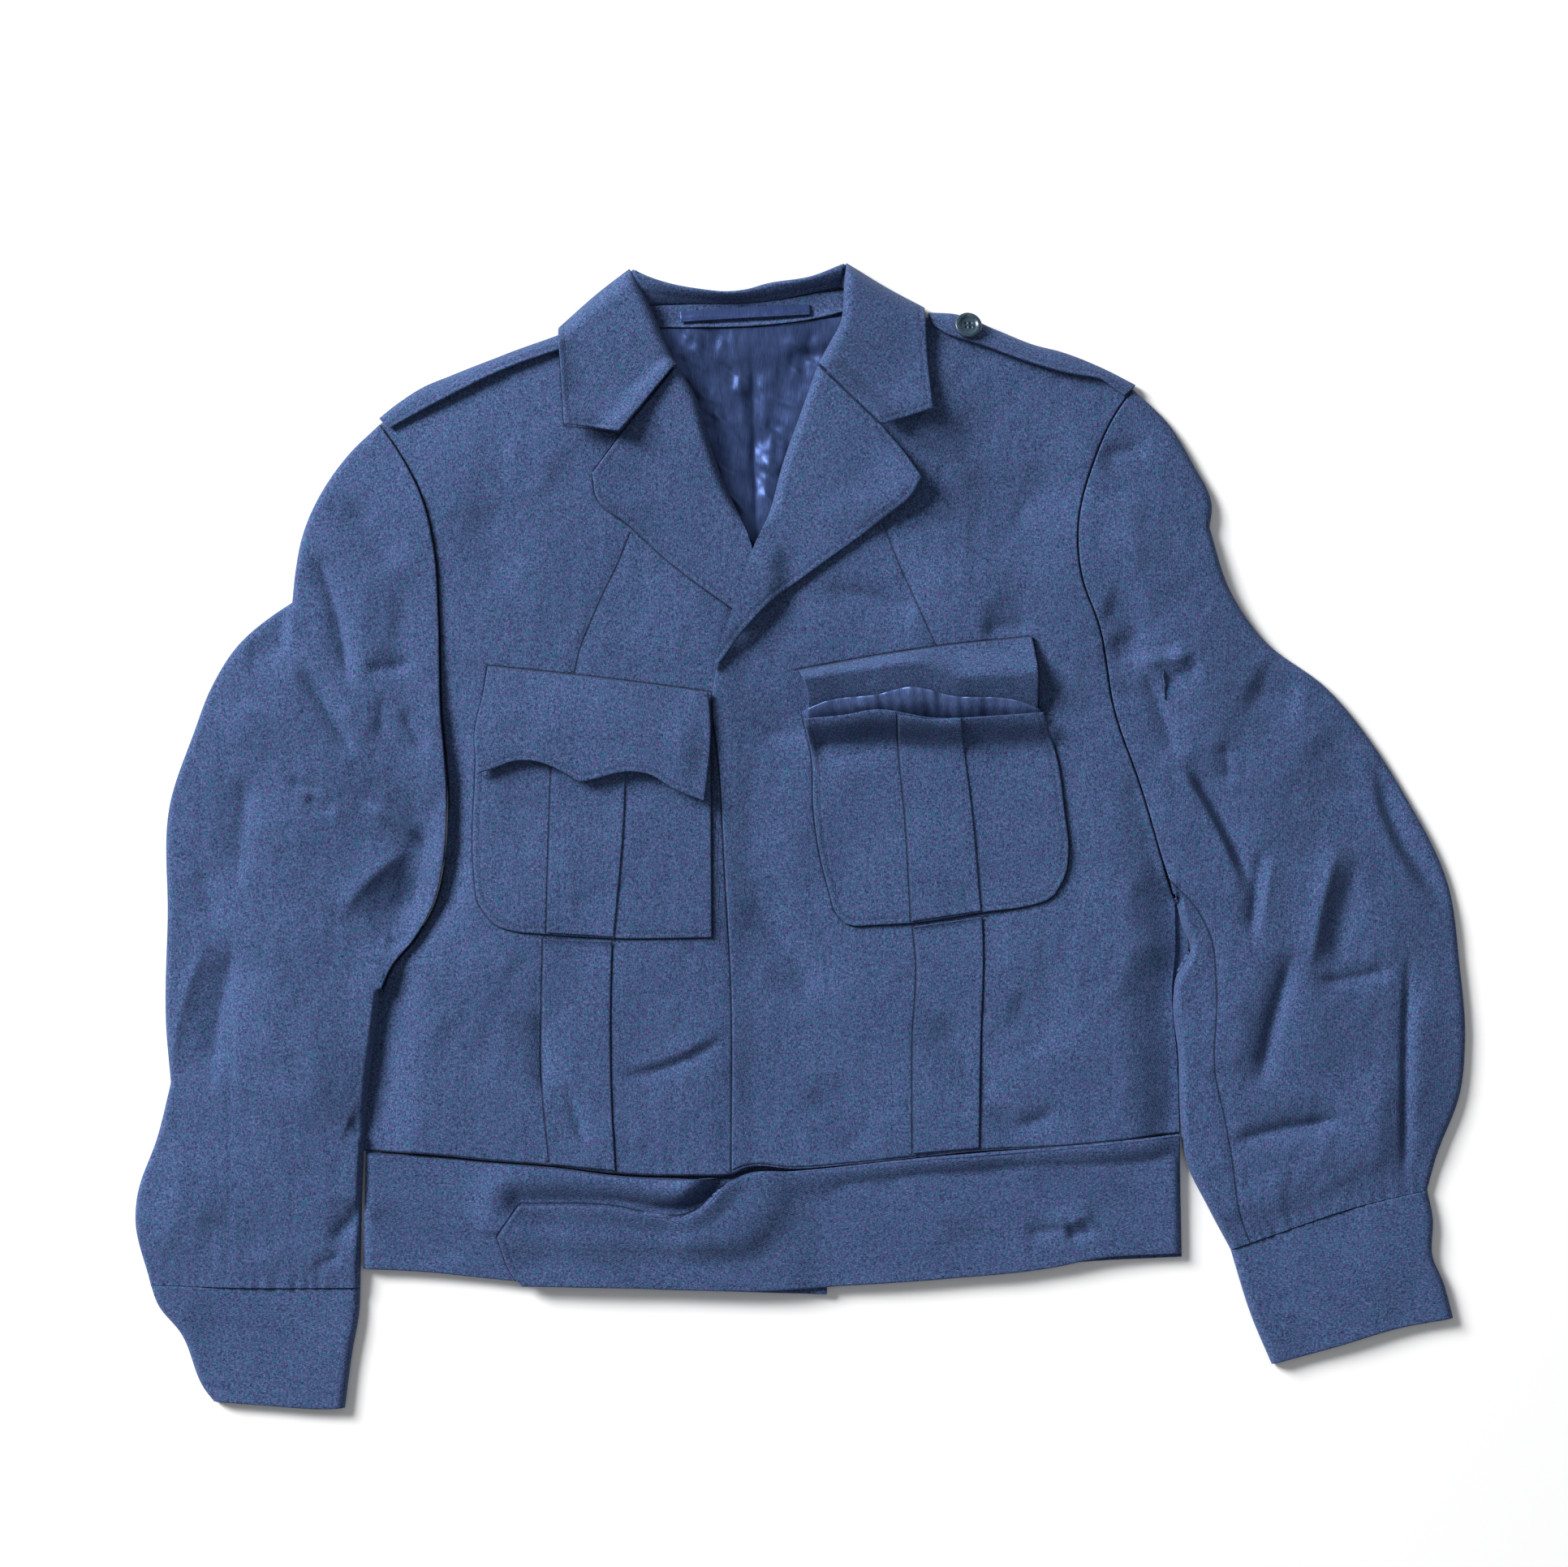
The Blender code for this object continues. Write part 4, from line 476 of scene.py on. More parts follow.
# Waistband and straps
BAND_RIGHT_TOP = [
    (-268, -195.5), (-226, -197.5), (-192.5, -201), (-150, -204.5), (-114.5, -209), (-44, -211),
    (16.5, -210),
]
BAND_RIGHT_LOW = [
    (-269.5, -267), (-237, -268.5), (-176, -274.5), (-92, -279.5), (-25, -281.5), (16.5, -283),
]
BAND_RIGHT_SIDE = [
    (-268, -195.5), (-269.5, -267),
]
BAND_RIGHT_END = [
    (16.5, -210), (16.5, -283),
]
BAND_LEFT_TOP = [
    (-173, -227.5), (-111.5, -229.5), (-87.5, -234.5), (-71.5, -234.5), (-60.5, -229.5),
    (-44, -213.5), (-34, -208.5), (-3, -207), (73, -200), (159, -193.5), (234, -185.5),
]
BAND_LEFT_LOW = [
    (-171.5, -277.5), (-92, -279), (-25, -280.5), (17, -278), (90.5, -273), (159, -265.5),
    (180, -261), (235, -257.5),
]
BAND_LEFT_TIP = [
    (-173, -227.5), (-186.5, -247, 1), (-177, -271), (-171.5, -277.5),
]
BAND_LEFT_SIDE = [
    (234, -184.5), (235, -257.5),
]
BAND_BACK_LOW = [
    (-269.5, -266.5), (-193, -271), (-93, -276), (7, -277), (107, -271), (177, -263),
    (235.5, -260),
]
STRAP_RIGHT_EDGE = [
    (-252, 251), (-213, 271.5), (-183, 286), (-163, 293.5), (-141, 301),
]
STRAP_RIGHT_ENDS = [
    (-258, 255.5), (-141, 309),
]
STRAP_LEFT_EDGE = [
    (82.5, 313), (88.5, 309), (109.5, 302), (146.5, 289), (168.5, 283.5), (184.5, 281), (199, 271),
]
STRAP_LEFT_ENDS = [
    (78.5, 320), (204.5, 276.5),
]
BUTTON_PLACE = (103, 313.5)


# Folds of the neck's lining
SATIN_FOLDS = [
    Fold(-72, 305, -57, 280, 3, 3.2, 1.3, 0),
    Fold(-67, 280, -43, 265, -3, 3, 1.4, 0),
    Fold(-62, 295, -35.5, 280, 2, 2.6, -1, 0),
    Fold(-59, 265, -34, 235, 3, 3.2, 1.5, 0),
    Fold(-55, 235, -32, 220, -2, 2.6, 1.2, 0),
    Fold(-51, 215, -30, 195, 2, 2.8, 1.4, 0),
    Fold(-20, 300, 2, 280, 2, 3, 1.3, 0),
    Fold(-22, 275, 5, 265, -3, 3.2, 1.4, 0),
    Fold(-23, 255, -0.5, 235, 3, 3, -1.2, 0),
    Fold(-24, 235, -7, 215, -2, 2.6, 1.3, 0),
    Fold(-13, 305, 7, 295, 2, 2.4, 1, 0),
    Fold(-25, 215, -13, 195, 1, 2.4, 1.2, 0),
    Fold(11, 315, 7, 290, -3, 3.6, -1.8, 0),
    Fold(-43, 310, -37, 255, 2, 3.2, 1, 0),
    Fold(-68, 310, -75.5, 300, 1, 2.6, 0.8, 0),
]

# Where the left front stands off its sleeve, the slit beside its flap, and how far the collar behind the
# neck runs on at its ends
SIDE_LEFT_OPEN = [
    (231, -39), (231.5, -55.5), (231.5, -68.5), (231, -78.5), (230, -86.5), (229.5, -99),
    (232.5, -135), (234, -183.5),
]
SIDE_LEFT_BACK = [
    (232, -41), (237, -55.5), (240, -69.5), (237.5, -78.5), (232, -86.5), (230.5, -99),
    (233.5, -135), (234.5, -183.5),
]
SLEEVE_IN_OPEN = [
    (232, -41), (235.5, -55.5), (240.5, -69.5), (237, -78.5), (232, -86.5), (230, -99),
    (233, -135), (234.5, -175), (237, -197.5), (252, -230), (265.5, -255),
]
NECK_SEAM_WIDE = [
    (-94.5, 327), (-63, 328), (-22, 329.5), (28.5, 339),
]
FACING_WIDE = [
    (-89, 313.5), (-63, 313), (-28, 314), (7, 318), (28.5, 323.5),
]
SLIT = [
    (-52, 68.5), (-53.5, 45), (-56, 22),
]
NECK_ENDS = np.array([[-3.9, -2.3], [4.2, -1.2]])

# Lines that show as a sewn seam or a pressed line: depth, then the line
SeamLine = namedtuple("SeamLine", "depth points")
BODY_SEAMS = [
    SeamLine(0.5, [
        (-105, 185), (-112, 167.5), (-122, 147), (-129, 131), (-135.5, 114.5), (-139, 99),
    ]),
    SeamLine(0.5, [
        (51.5, 191), (59.5, 170.5), (66.5, 154.5), (74.5, 137), (84, 116.5),
    ]),
]
SLEEVE_SEAMS = [
    SeamLine(0.35, [
        (-350.5, -56.5), (-351.5, -138), (-351, -204), (-353, -277),
    ]),
    SeamLine(0.5, [
        (227, -27), (244.5, -46), (252.5, -62), (256, -91.5), (255.5, -147.5), (261, -172),
        (266, -200), (271.5, -235), (277, -250),
    ]),
]

# Edges, seams and undersides, in millimetres
EDGE_TURN = 1.1        # how far in from a cut edge the cloth turns down
EDGE_DROP = 0.8        # how far it turns down
CONTACT_SHADOW_OFFSET = 0.45      # how far outside a laid piece's edge its painted contact shadow line runs
RIDGE_HIGH = 9.0       # how far the left flap's bend stands over its top edge
RIDGE_LOW = 1.0        # how far its lower edge goes down into the pocket
RIM_HIGH = 3.6         # how far the open pocket's rim stands up
RIM_TROUGH = 4.6       # depth of the trough below it
TAB_DIP = 5.5          # how far the band beneath dips along the tab's upper edge
STITCH_IN = 3.6        # top stitching's distance from an edge
SLEEVE_STEP = 1.3      # how far a sleeve's head stands over the body at the armhole seam
ARMHOLE_DENT = 1.2     # how far the body dips along the armhole seam
ARMHOLE_DEEP = 6.0     # how much more it does beside the right sleeve's lower half
BODY_SIDE_SLOPE = 34.0 # how far in from its sides the body comes down to the back
OUTER_TURN = 4.0       # how far in from the outline the cloth is folded over
OUTER_SLOPE = 60.0     # how far in from there it reaches its full height
THIN = 0.9             # wall of a pleat or tuck
THIN_GAP = 0.2         # clear space under it
SIDE_UNDER = 1.5       # how far the body goes on under the edge of a sleeve
SLEEVE_IN_ROUND = 4.0  # how far in from its inner edge a sleeve rounds down, steeply
UNDER_COLUMNS = 11     # points across a tube's flat underside
TUBE_FLOOR = 0.2       # lowest point inside a tube
BODY_WIDE = 500        # the back's width and length, for its mesh
BODY_LONG = 540
FRONT_RIGHT_SIZE = (246, 535)  # widths and lengths of the other panels, for their meshes
FRONT_LEFT_SIZE = (290, 539)
SLEEVE_SIZE = (240, 530)
LINING_SIZE = (135, 155)
BAND_RIGHT_WIDE = 286
BAND_LEFT_WIDE = 420
BAND_DEEP = 75
CUFF_WIDE = 130
LINING_STEP = 1.3      # spacing of the lining's mesh
BASIN_WIDE = 2.5       # how much wider than its crease the soft basin round a fold is
CREASE_SHARE = 0.68    # shares of a fold's rise in the crease and in the basin
BASIN_SHARE = 0.32
FOLD_FADE = 0.3        # share of a fold's length over which each end fades
GROOVE_WIDE = 2.6      # half width of a seam's trough and of the slit beside the flap
SLIT_DEPTH = 3.0
DENT_WIDE = 15.0       # how far from the armhole its dent reaches
DEEP_AT = 5            # where along Y an armhole's deep part lies, and its reach
DEEP_REACH = 75
SIDE_SHARE = 0.12      # share of its height that a front keeps at its side
NECK_MARGIN = 70       # how much farther out than the collar's fall the fronts' base stays up
HEM_RIGHT = 80         # how many points of each front's armhole, from the shoulder down, are hemmed
HEM_LEFT = 72
CONTACT_Y = 90         # the opening's edge gets its painted contact shadow line only below this
LOOSE = 0.8            # how far a lapel hovers over its front
LAPEL_REACH = 34       # how far in from its outer edge it is lifted
FALL_REACH = 26        # the same for the collar's fall, and for its corner
CORNER_REACH = 24
FALL_WIDE = 50         # distance from the roll over which the fall tilts
FLAP_PRESSED = 0.85    # share of its stand that the right flap loses at its inner end
BEND_AT = 0.17         # share of the left flap above its bend at the inner end; more is added at the outer
BEND_MORE = 0.28
BEND_CREST = 1.6       # how much the bend's crest stands over its slope
RIM_SHARE = 0.15       # share of the pocket over which its rim comes down
TAB_CREST = 2.4        # how far the tab's upper edge stands up
END_DIP = 2.6          # how far the right band goes down at its covered end
SLEEVE_NEAR = 24       # how far from the armhole a sleeve's step reaches

# Low unevenness of the cloth: size, seed, shortest and longest wave
UNEVEN = ((0.6, 3, 26.0, 95.0), (0.16, 8, 9.0, 24.0))

# Darker and lighter shades of the satins
LINING_SHADES = ((0.024, 0.042, 0.115), (0.066, 0.104, 0.25))
POCKET_SHADES = ((0.045, 0.075, 0.2), (0.16, 0.24, 0.5))
TAPE_SHADES = ((0.036, 0.058, 0.165), (0.062, 0.1, 0.25))


# Curves and patches in plan

def smooth(rows):
    """Closely spaced points of a curve through the rows, which bends sharply only at marked corners."""
    if isinstance(rows, np.ndarray):
        return rows
    corners = [i for i, row in enumerate(rows) if len(row) > 2]
    ends = [0] + corners + [len(rows) - 1]
    stretches = [spline(np.array([row[:2] for row in rows[a:b + 1]])) for a, b in zip(ends, ends[1:])]
    return np.vstack([stretches[0]] + [stretch[1:] for stretch in stretches[1:]])


def spline(knots):
    """Cubic through the knots whose slope at each one is its neighbours' mean, weighted by distance."""
    gaps = np.linalg.norm(np.diff(knots, axis=0), axis=1)
    slopes = np.diff(knots, axis=0) / gaps[:, None]
    tangents = np.vstack([slopes[:1], slopes[-1:]])
    if len(knots) > 2:
        before, after = gaps[:-1, None], gaps[1:, None]
        inner = (slopes[:-1] * after + slopes[1:] * before) / (before + after)
        tangents = np.vstack([slopes[:1], inner, slopes[-1:]])
    t = np.linspace(0, 1, 9)[:-1, None]
    pieces = []
    for a, b, ta, tb, gap in zip(knots, knots[1:], tangents, tangents[1:], gaps):
        pieces.append((2 * t ** 3 - 3 * t ** 2 + 1) * a + (t ** 3 - 2 * t ** 2 + t) * gap * ta
                      + (3 * t ** 2 - 2 * t ** 3) * b + (t ** 3 - t ** 2) * gap * tb)
    return np.vstack(pieces + [knots[-1:]])


def along(rows, fractions):
    """Points at the given fractions of a curve's length."""
    points = smooth(rows)
    reach = np.r_[0, np.cumsum(np.linalg.norm(np.diff(points, axis=0), axis=1))]
    at = np.asarray(fractions) * reach[-1]
    return np.column_stack([np.interp(at, reach, points[:, 0]), np.interp(at, reach, points[:, 1])])


def moved(rows, distance):
    """The curve's points moved sideways, to the left of its direction where distance is positive."""
    points = smooth(rows)
    run = np.gradient(points, axis=0)
    run /= np.linalg.norm(run, axis=1)[:, None]
    return points + distance * np.column_stack([-run[:, 1], run[:, 0]])


def patch(top, bottom, left, right, us, vs):
    """Plan points between four edges: each edge's pull less the corners' share, as a Coons patch."""
    upper, lower = along(top, us)[None], along(bottom, us)[None]
    first, last = along(left, vs)[:, None], along(right, vs)[:, None]
    u, v = np.asarray(us)[None, :, None], np.asarray(vs)[:, None, None]
    corners = ((1 - u) * (1 - v) * upper[:, :1] + u * (1 - v) * upper[:, -1:]
               + (1 - u) * v * lower[:, :1] + u * v * lower[:, -1:])
    return (1 - v) * upper + v * lower + (1 - u) * first + u * last - corners


# Heights of the cloth over the plan

def nearest(points, curve):
    """Signed distance of each point from a curve, positive to its left, and how far along it that is."""
    flat = points.reshape(-1, 2)
    a, b = curve[:-1], curve[1:]
    run = b - a
    size = (run ** 2).sum(1)
    away = flat[:, None] - a[None]
    t = np.clip((away * run[None]).sum(2) / size, 0, 1)
    off = away - t[..., None] * run[None]
    gaps = np.sqrt((off ** 2).sum(2))
    pick = gaps.argmin(1)
    rows = np.arange(len(flat))
    side = run[pick, 0] * off[rows, pick, 1] - run[pick, 1] * off[rows, pick, 0]
    place = (pick + t[rows, pick]) / len(a)
    shape = points.shape[:-1]
    return (gaps[rows, pick] * np.sign(side)).reshape(shape), place.reshape(shape)


def away(points, rows):
    """Distance of each point from a curve."""
    return np.abs(nearest(points, smooth(rows))[0])


def ease(x):
    """0 below 0, 1 above 1, and a smooth rise between."""
    t = np.clip(x, 0, 1)
    return t * t * (3 - 2 * t)


def quarter(distance, radius):
    """Height of a quarter circle's arc, from 0 at the edge to 1 one radius in."""
    t = np.clip(distance / radius, 0, 1)
    return np.sqrt(1 - (1 - t) ** 2)


def folds(points, table):
    """Ridges and troughs: a crisp bell and a broad one across each bent line, fading at its ends, and wider
    on one side by the line's lean."""
    total = np.zeros(points.shape[:-1])
    t = np.linspace(0, 1, 15)[:, None]
    for fold in table:
        a, b = np.array([fold.x0, fold.y0]), np.array([fold.x1, fold.y1])
        across = np.array([a[1] - b[1], b[0] - a[0]]) / np.linalg.norm(b - a)
        middle = (a + b) / 2 + 2 * fold.bend * across
        line = (1 - t) ** 2 * a + 2 * t * (1 - t) * middle + t ** 2 * b
        side, place = nearest(points, line)
        width = fold.half * (1 + fold.lean * np.sign(side))
        fade = ease(place / FOLD_FADE) * ease((1 - place) / FOLD_FADE)
        crease = np.exp(-np.abs(side / width) ** 1.5)
        basin = np.exp(-(side / width / BASIN_WIDE) ** 2)
        total += fold.rise * fade * (CREASE_SHARE * crease + BASIN_SHARE * basin)
    return total


def domes(points, table):
    """Broad swellings: a bell round each centre."""
    total = np.zeros(points.shape[:-1])
    for dome in table:
        x, y = (points[..., 0] - dome.x) / dome.spread_x, (points[..., 1] - dome.y) / dome.spread_y
        total += dome.rise * np.exp(-(x * x + y * y))
    return total


def body_top(points):
    """Top of the fronts and sleeves before they round down at the outline."""
    return BODY_HEIGHT + domes(points, BODY_DOMES) + folds(points, BODY_FOLDS + SLEEVE_FOLDS)


def raised(points, heights):
    """Plan points with their heights."""
    return np.dstack([points, heights])


def length(rows):
    """Length of a curve."""
    return np.linalg.norm(np.diff(smooth(rows), axis=0), axis=1).sum()


def spacing():
    """The scene's settings for how fine the meshes are."""
    return bpy.context.scene.blouse_mesh


def fine(size, step):
    """Fractions across a piece of that size: even steps between extra ones close to each cut edge."""
    edge = np.array([0.0, 0.3, 0.75, 1.4]) / size
    inner = np.linspace(edge[-1], 1 - edge[-1], max(3, ceil(size / step)) + 1)
    return np.r_[edge[:-1], inner, (1 - edge[:-1])[::-1]]


def loop_of(edges):
    """The closed outline of a patch's four edges, in order round it."""
    top, bottom, left, right = (smooth(edge) for edge in edges)
    return np.vstack([top, right[1:], bottom[::-1][1:], left[::-1][1:]])


def hemmed(points, outline, turn=EDGE_TURN, drop=EDGE_DROP):
    """How far the cloth turns down close to its cut edges: a quarter circle's fall."""
    return drop * (1 - quarter(away(points, outline), turn))


def ripples(points, size, seed, waves=16, short=26.0, long=95.0):
    """Low unevenness of worn cloth: sines of seeded directions and lengths, added up."""
    dice = np.random.default_rng(seed + spacing().seed)
    total = np.zeros(points.shape[:-1])
    for _ in range(waves):
        angle, start = dice.uniform(0, 2 * pi, 2)
        reach = dice.uniform(short, long)
        way = points[..., 0] * cos(angle) + points[..., 1] * sin(angle)
        total += (reach / long) ** 0.5 * np.sin(2 * pi * way / reach + start)
    return size * total / waves ** 0.5


def puckers(points, rows, size, pitch=9.0, reach=6.0):
    """Short waves across a sewn line, uneven along it, that fade a few millimetres away from it."""
    line = smooth(rows)
    side, place = nearest(points, line)
    run = place * length(line)
    wave = np.sin(2 * pi * run / pitch + 1.7 * np.sin(2 * pi * run / (4.3 * pitch)))
    return size * np.exp(-(side / reach) ** 2) * wave * (0.6 + 0.4 * np.sin(2 * pi * run / 71.0))


# The relief of what is laid so far

class Relief:
    """A map of how high the pieces reach over the surface, one cell a millimetre."""

    def __init__(self):
        self.corner = np.array([-430.0, -372.0])
        self.top = np.zeros((745, 861))

    def press(self, grid):
        """Lays a grid of points into the map: filled in between, and each cell keeps its highest."""
        widest = max(np.linalg.norm(np.diff(grid, axis=axis), axis=2).max() for axis in (0, 1))
        for axis in (0, 1):
            grid = np.swapaxes(filled(grid, ceil(widest / 0.7)), 0, 1)
        cell = np.rint(grid[..., :2] - self.corner).astype(int)
        cell = np.clip(cell, 0, [self.top.shape[1] - 1, self.top.shape[0] - 1])
        np.maximum.at(self.top, (cell[..., 1], cell[..., 0]), grid[..., 2])

    def drape(self, points, reach):
        """Height of a loose cover under each plan point: the highest within reach, then smoothed."""
        low = np.maximum(np.floor(points.reshape(-1, 2).min(0) - self.corner - 3 * reach - 2).astype(int), 0)
        high = np.ceil(points.reshape(-1, 2).max(0) - self.corner + 3 * reach + 2).astype(int)
        part = self.top[low[1]:high[1], low[0]:high[0]]
        wide = int(reach)
        for axis in (0, 1):
            part = np.max([np.roll(part, k, axis) for k in range(-wide, wide + 1)], axis=0)
        for half in (wide // 2, wide - wide // 2):
            for axis in (0, 1):
                part = np.mean([np.roll(part, k, axis) for k in range(-half, half + 1)], axis=0)
        place = points - self.corner - low
        x = np.clip(place[..., 0], 0, part.shape[1] - 1.001)
        y = np.clip(place[..., 1], 0, part.shape[0] - 1.001)
        i, j = y.astype(int), x.astype(int)
        s, t = y - i, x - j
        return ((part[i, j] * (1 - t) + part[i, j + 1] * t) * (1 - s)
                + (part[i + 1, j] * (1 - t) + part[i + 1, j + 1] * t) * s)


def filled(grid, times):
    """A grid with straight steps between its rows."""
    at = np.linspace(0, len(grid) - 1, (len(grid) - 1) * times + 1)
    i = np.minimum(at.astype(int), len(grid) - 2)
    share = (at - i)[:, None, None]
    return grid[i] * (1 - share) + grid[i + 1] * share


RELIEF = Relief()


# Meshes

def normals(grid, closed=False):
    """Unit normals of a grid of points, upwards where rows run down the plan and columns to the right."""
    if closed:
        ring = np.concatenate([grid[:, -1:], grid, grid[:, :1]], axis=1)
        across = (ring[:, 2:] - ring[:, :-2])
    else:
        across = np.gradient(grid, axis=1)
    normal = np.cross(np.gradient(grid, axis=0), across)
    return normal / np.maximum(np.linalg.norm(normal, axis=2), 1e-9)[..., None]


def quads(rows, columns, closed=False):
    """Corner numbers of a grid's faces, turned up."""
    i, j = np.meshgrid(np.arange(rows - 1), np.arange(columns if closed else columns - 1), indexing="ij")
    n = (j + 1) % columns
    return np.stack([i * columns + j, (i + 1) * columns + j, (i + 1) * columns + n, i * columns + n],
                    axis=-1).reshape(-1, 4)


def line_mark(points, lines):
    """Where each point lies by its nearest marked line: distance off it, run along it, and nearness."""
    mark = np.zeros(points.shape[:-1] + (3,))
    best = np.full(points.shape[:-1], 1e9)
    for line in lines:
        curve = smooth(line)
        side, place = nearest(points[..., :2], curve)
        closer = np.abs(side) < best
        best = np.where(closer, np.abs(side), best)
        mark[closer] = np.stack([side, place * length(curve), ease((9 - np.abs(side)) / 4)], axis=-1)[closer]
    return mark


def cloth(node, points, faces, material, marks, cut):
    """A piece of cloth in metres: its mesh, its marks for seams and painted contact shadow lines and for
    stitches, and what it stands for.
    """
    mesh = bpy.data.meshes.new(node + "_cloth")
    mesh.from_pydata((points * MM).tolist(), [], faces.tolist())
    mesh.shade_smooth()
    for name, values in marks.items():
        mark = mesh.attributes.new(name, "FLOAT_VECTOR", "POINT")
        mark.data.foreach_set("vector", values.astype(np.float32).ravel())
    mesh.materials.append(material)
    piece = bpy.data.objects.new(node + "_cloth", mesh)
    bpy.context.scene.collection.objects.link(piece)
    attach(piece, "root")
    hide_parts(node)
    piece["cut"] = [float(size) for size in cut]
    return piece


def cut_of(grid, closed=False):
    """Width, length and area of the flat cut: the grid's longest row and column, and its faces' sum."""
    ring = np.concatenate([grid, grid[:, :1]], axis=1) if closed else grid
    across, down = np.diff(ring, axis=1), np.diff(ring, axis=0)
    width = np.linalg.norm(across, axis=2).sum(1).max()
    depth = np.linalg.norm(down, axis=2).sum(0).max()
    area = np.linalg.norm(np.cross(across[:-1], down[:, :-1]), axis=2).sum()
    return width, depth, min(area, width * depth)


def sheet(node, outer, wall, material, seams=(), stitches=(), inner=None, level=0.0):
    """A wall of cloth under a grid of points: the grid, the same moved in, and a rim round both."""
    if inner is None:
        steep = np.zeros(outer.shape[:2]) + level
        inner = outer - normals(outer) * wall * (1 - steep[..., None]) - steep[..., None] * [0, 0, wall]
        for edge in (np.s_[0], np.s_[-1], np.s_[:, 0], np.s_[:, -1]):
            way = normals(outer)[edge][:, 2:]
            upright = outer[edge] - np.sign(way) * [0, 0, wall]
            inner[edge] = np.where(np.abs(way) > 0.5, upright, inner[edge])
    rows, columns = outer.shape[:2]
    size = rows * columns
    top = quads(rows, columns)
    ids = np.arange(size).reshape(rows, columns)
    rim = np.r_[ids[0, :-1], ids[:-1, -1], ids[-1, :0:-1], ids[:0:-1, 0]]
    after = np.roll(rim, -1)
    faces = np.vstack([top, top[:, ::-1] + size, np.stack([rim, after, after + size, rim + size], axis=-1)])
    points = np.vstack([outer.reshape(-1, 3), inner.reshape(-1, 3)])
    points[:, 2] = np.maximum(points[:, 2], 0.0)
    # The seam mark holds sewn seams and painted contact shadow lines, which the serge darkens.
    marks = {"seam": np.tile(line_mark(outer, seams).reshape(-1, 3), (2, 1)),
             "stitch": np.tile(line_mark(outer, stitches).reshape(-1, 3), (2, 1))}
    RELIEF.press(outer)
    return cloth(node, points, faces, material, marks, cut_of(outer))


def tube(node, rings, wall, material, seams=()):
    """A wall of cloth round a stack of closed rings, open at both ends."""
    offset = -normals(rings, closed=True) * wall
    offset[rings[..., 2] <= 0] = [0, 0, wall]
    inner = rings + offset
    inner[..., 2] = np.maximum(inner[..., 2], TUBE_FLOOR)
    rows, columns = rings.shape[:2]
    size = rows * columns
    wrap = quads(rows, columns, closed=True)
    ids = np.arange(columns)
    after = np.roll(ids, -1)
    first = np.stack([ids, after, after + size, ids + size], axis=-1)
    last = np.stack([after, ids, ids + size, after + size], axis=-1) + (rows - 1) * columns
    points = np.vstack([rings.reshape(-1, 3), inner.reshape(-1, 3)])
    marks = {"seam": np.tile(line_mark(rings, seams).reshape(-1, 3), (2, 1)),
             "stitch": np.zeros((2 * size, 3))}
    faces = np.vstack([wrap, wrap[:, ::-1] + size, first, last])
    RELIEF.press(rings[:, :columns - UNDER_COLUMNS])
    return cloth(node, points, faces, material, marks, cut_of(rings, closed=True))


# Heights of the body

def back_heights(points, margin=20):
    """The back lies flat, but for its neck, which rests on the collar fall beneath it."""
    neck = away(points, NECK_ROLL)
    return CLOTH + BACK_LIFT * ease((UNDER_FALL + margin - neck) / NECK_SLOPE)


def detail(points):
    """Smaller folds, seams' troughs, puckers beside them, and the cloth's low unevenness."""
    total = sum(ripples(points, size, seed, short=short, long=long) for size, seed, short, long in UNEVEN)
    for seam in BODY_SEAMS + SLEEVE_SEAMS:
        total -= seam.depth * np.exp(-(away(points, seam.points) / GROOVE_WIDE) ** 2)
    for line, size in ((ARMHOLE_RIGHT, 0.3), (ARMHOLE_LEFT, 0.35), (WAIST_RIGHT, 0.22), (WAIST_LEFT, 0.22)):
        total += puckers(points, line, size)
    return total


def turned_over(points, outline):
    """Share of its height that the cloth has: a tight fold at the outline, then a long slope."""
    far = away(points, outline)
    return 0.5 * quarter(far, OUTER_TURN) + ease(0.5 + far / OUTER_SLOPE / 2) - 0.5


def front_heights(points, outline, side, armhole, deep=0.0):
    """The fronts' top, rounded down onto the back at the shoulder, the sleeve's outline and the side."""
    low = back_heights(points, NECK_MARGIN) + GAP
    sloped = SIDE_SHARE + (1 - SIDE_SHARE) * ease(away(points, side) / BODY_SIDE_SLOPE)
    rounded = turned_over(points, outline) * sloped
    dent = ARMHOLE_DENT + deep * np.exp(-((points[..., 1] - DEEP_AT) / DEEP_REACH) ** 2)
    dent = dent * np.exp(-(away(points, armhole) / DENT_WIDE) ** 2)
    return low + (body_top(points) + detail(points) - dent - low) * rounded


def outline_of(shoulder, sleeve):
    """The line from the neck over the shoulder and down the sleeve, along which the cloth turns under."""
    return np.vstack([smooth(shoulder)[::-1], smooth(sleeve)[1:]])


def laid(node, edges, wall, rise, material, reach=4, step=None, seams=(), stitches=(), gap=GAP):
    """A piece on those beneath it: their drape, a gap, its wall and its own rise(u, v, plan), turned at
    its edges."""
    step = step or spacing().piece_step
    us, vs = fine(length(edges[0]), step), fine(length(edges[2]), step)
    plan = patch(*edges, us, vs)
    own = rise(us[None, :], vs[:, None], plan)
    heights = RELIEF.drape(plan, reach) + gap + wall + own - hemmed(plan, loop_of(edges), drop=0.3 * wall)
    return sheet(node, raised(plan, heights), wall, material, seams, stitches)


# Finishes

def socket(group, name, kind, way, value=None):
    """A named input or output of a node group."""
    made = group.interface.new_socket(name, in_out=way, socket_type=kind)
    if value is not None:
        made.default_value = value
    return made


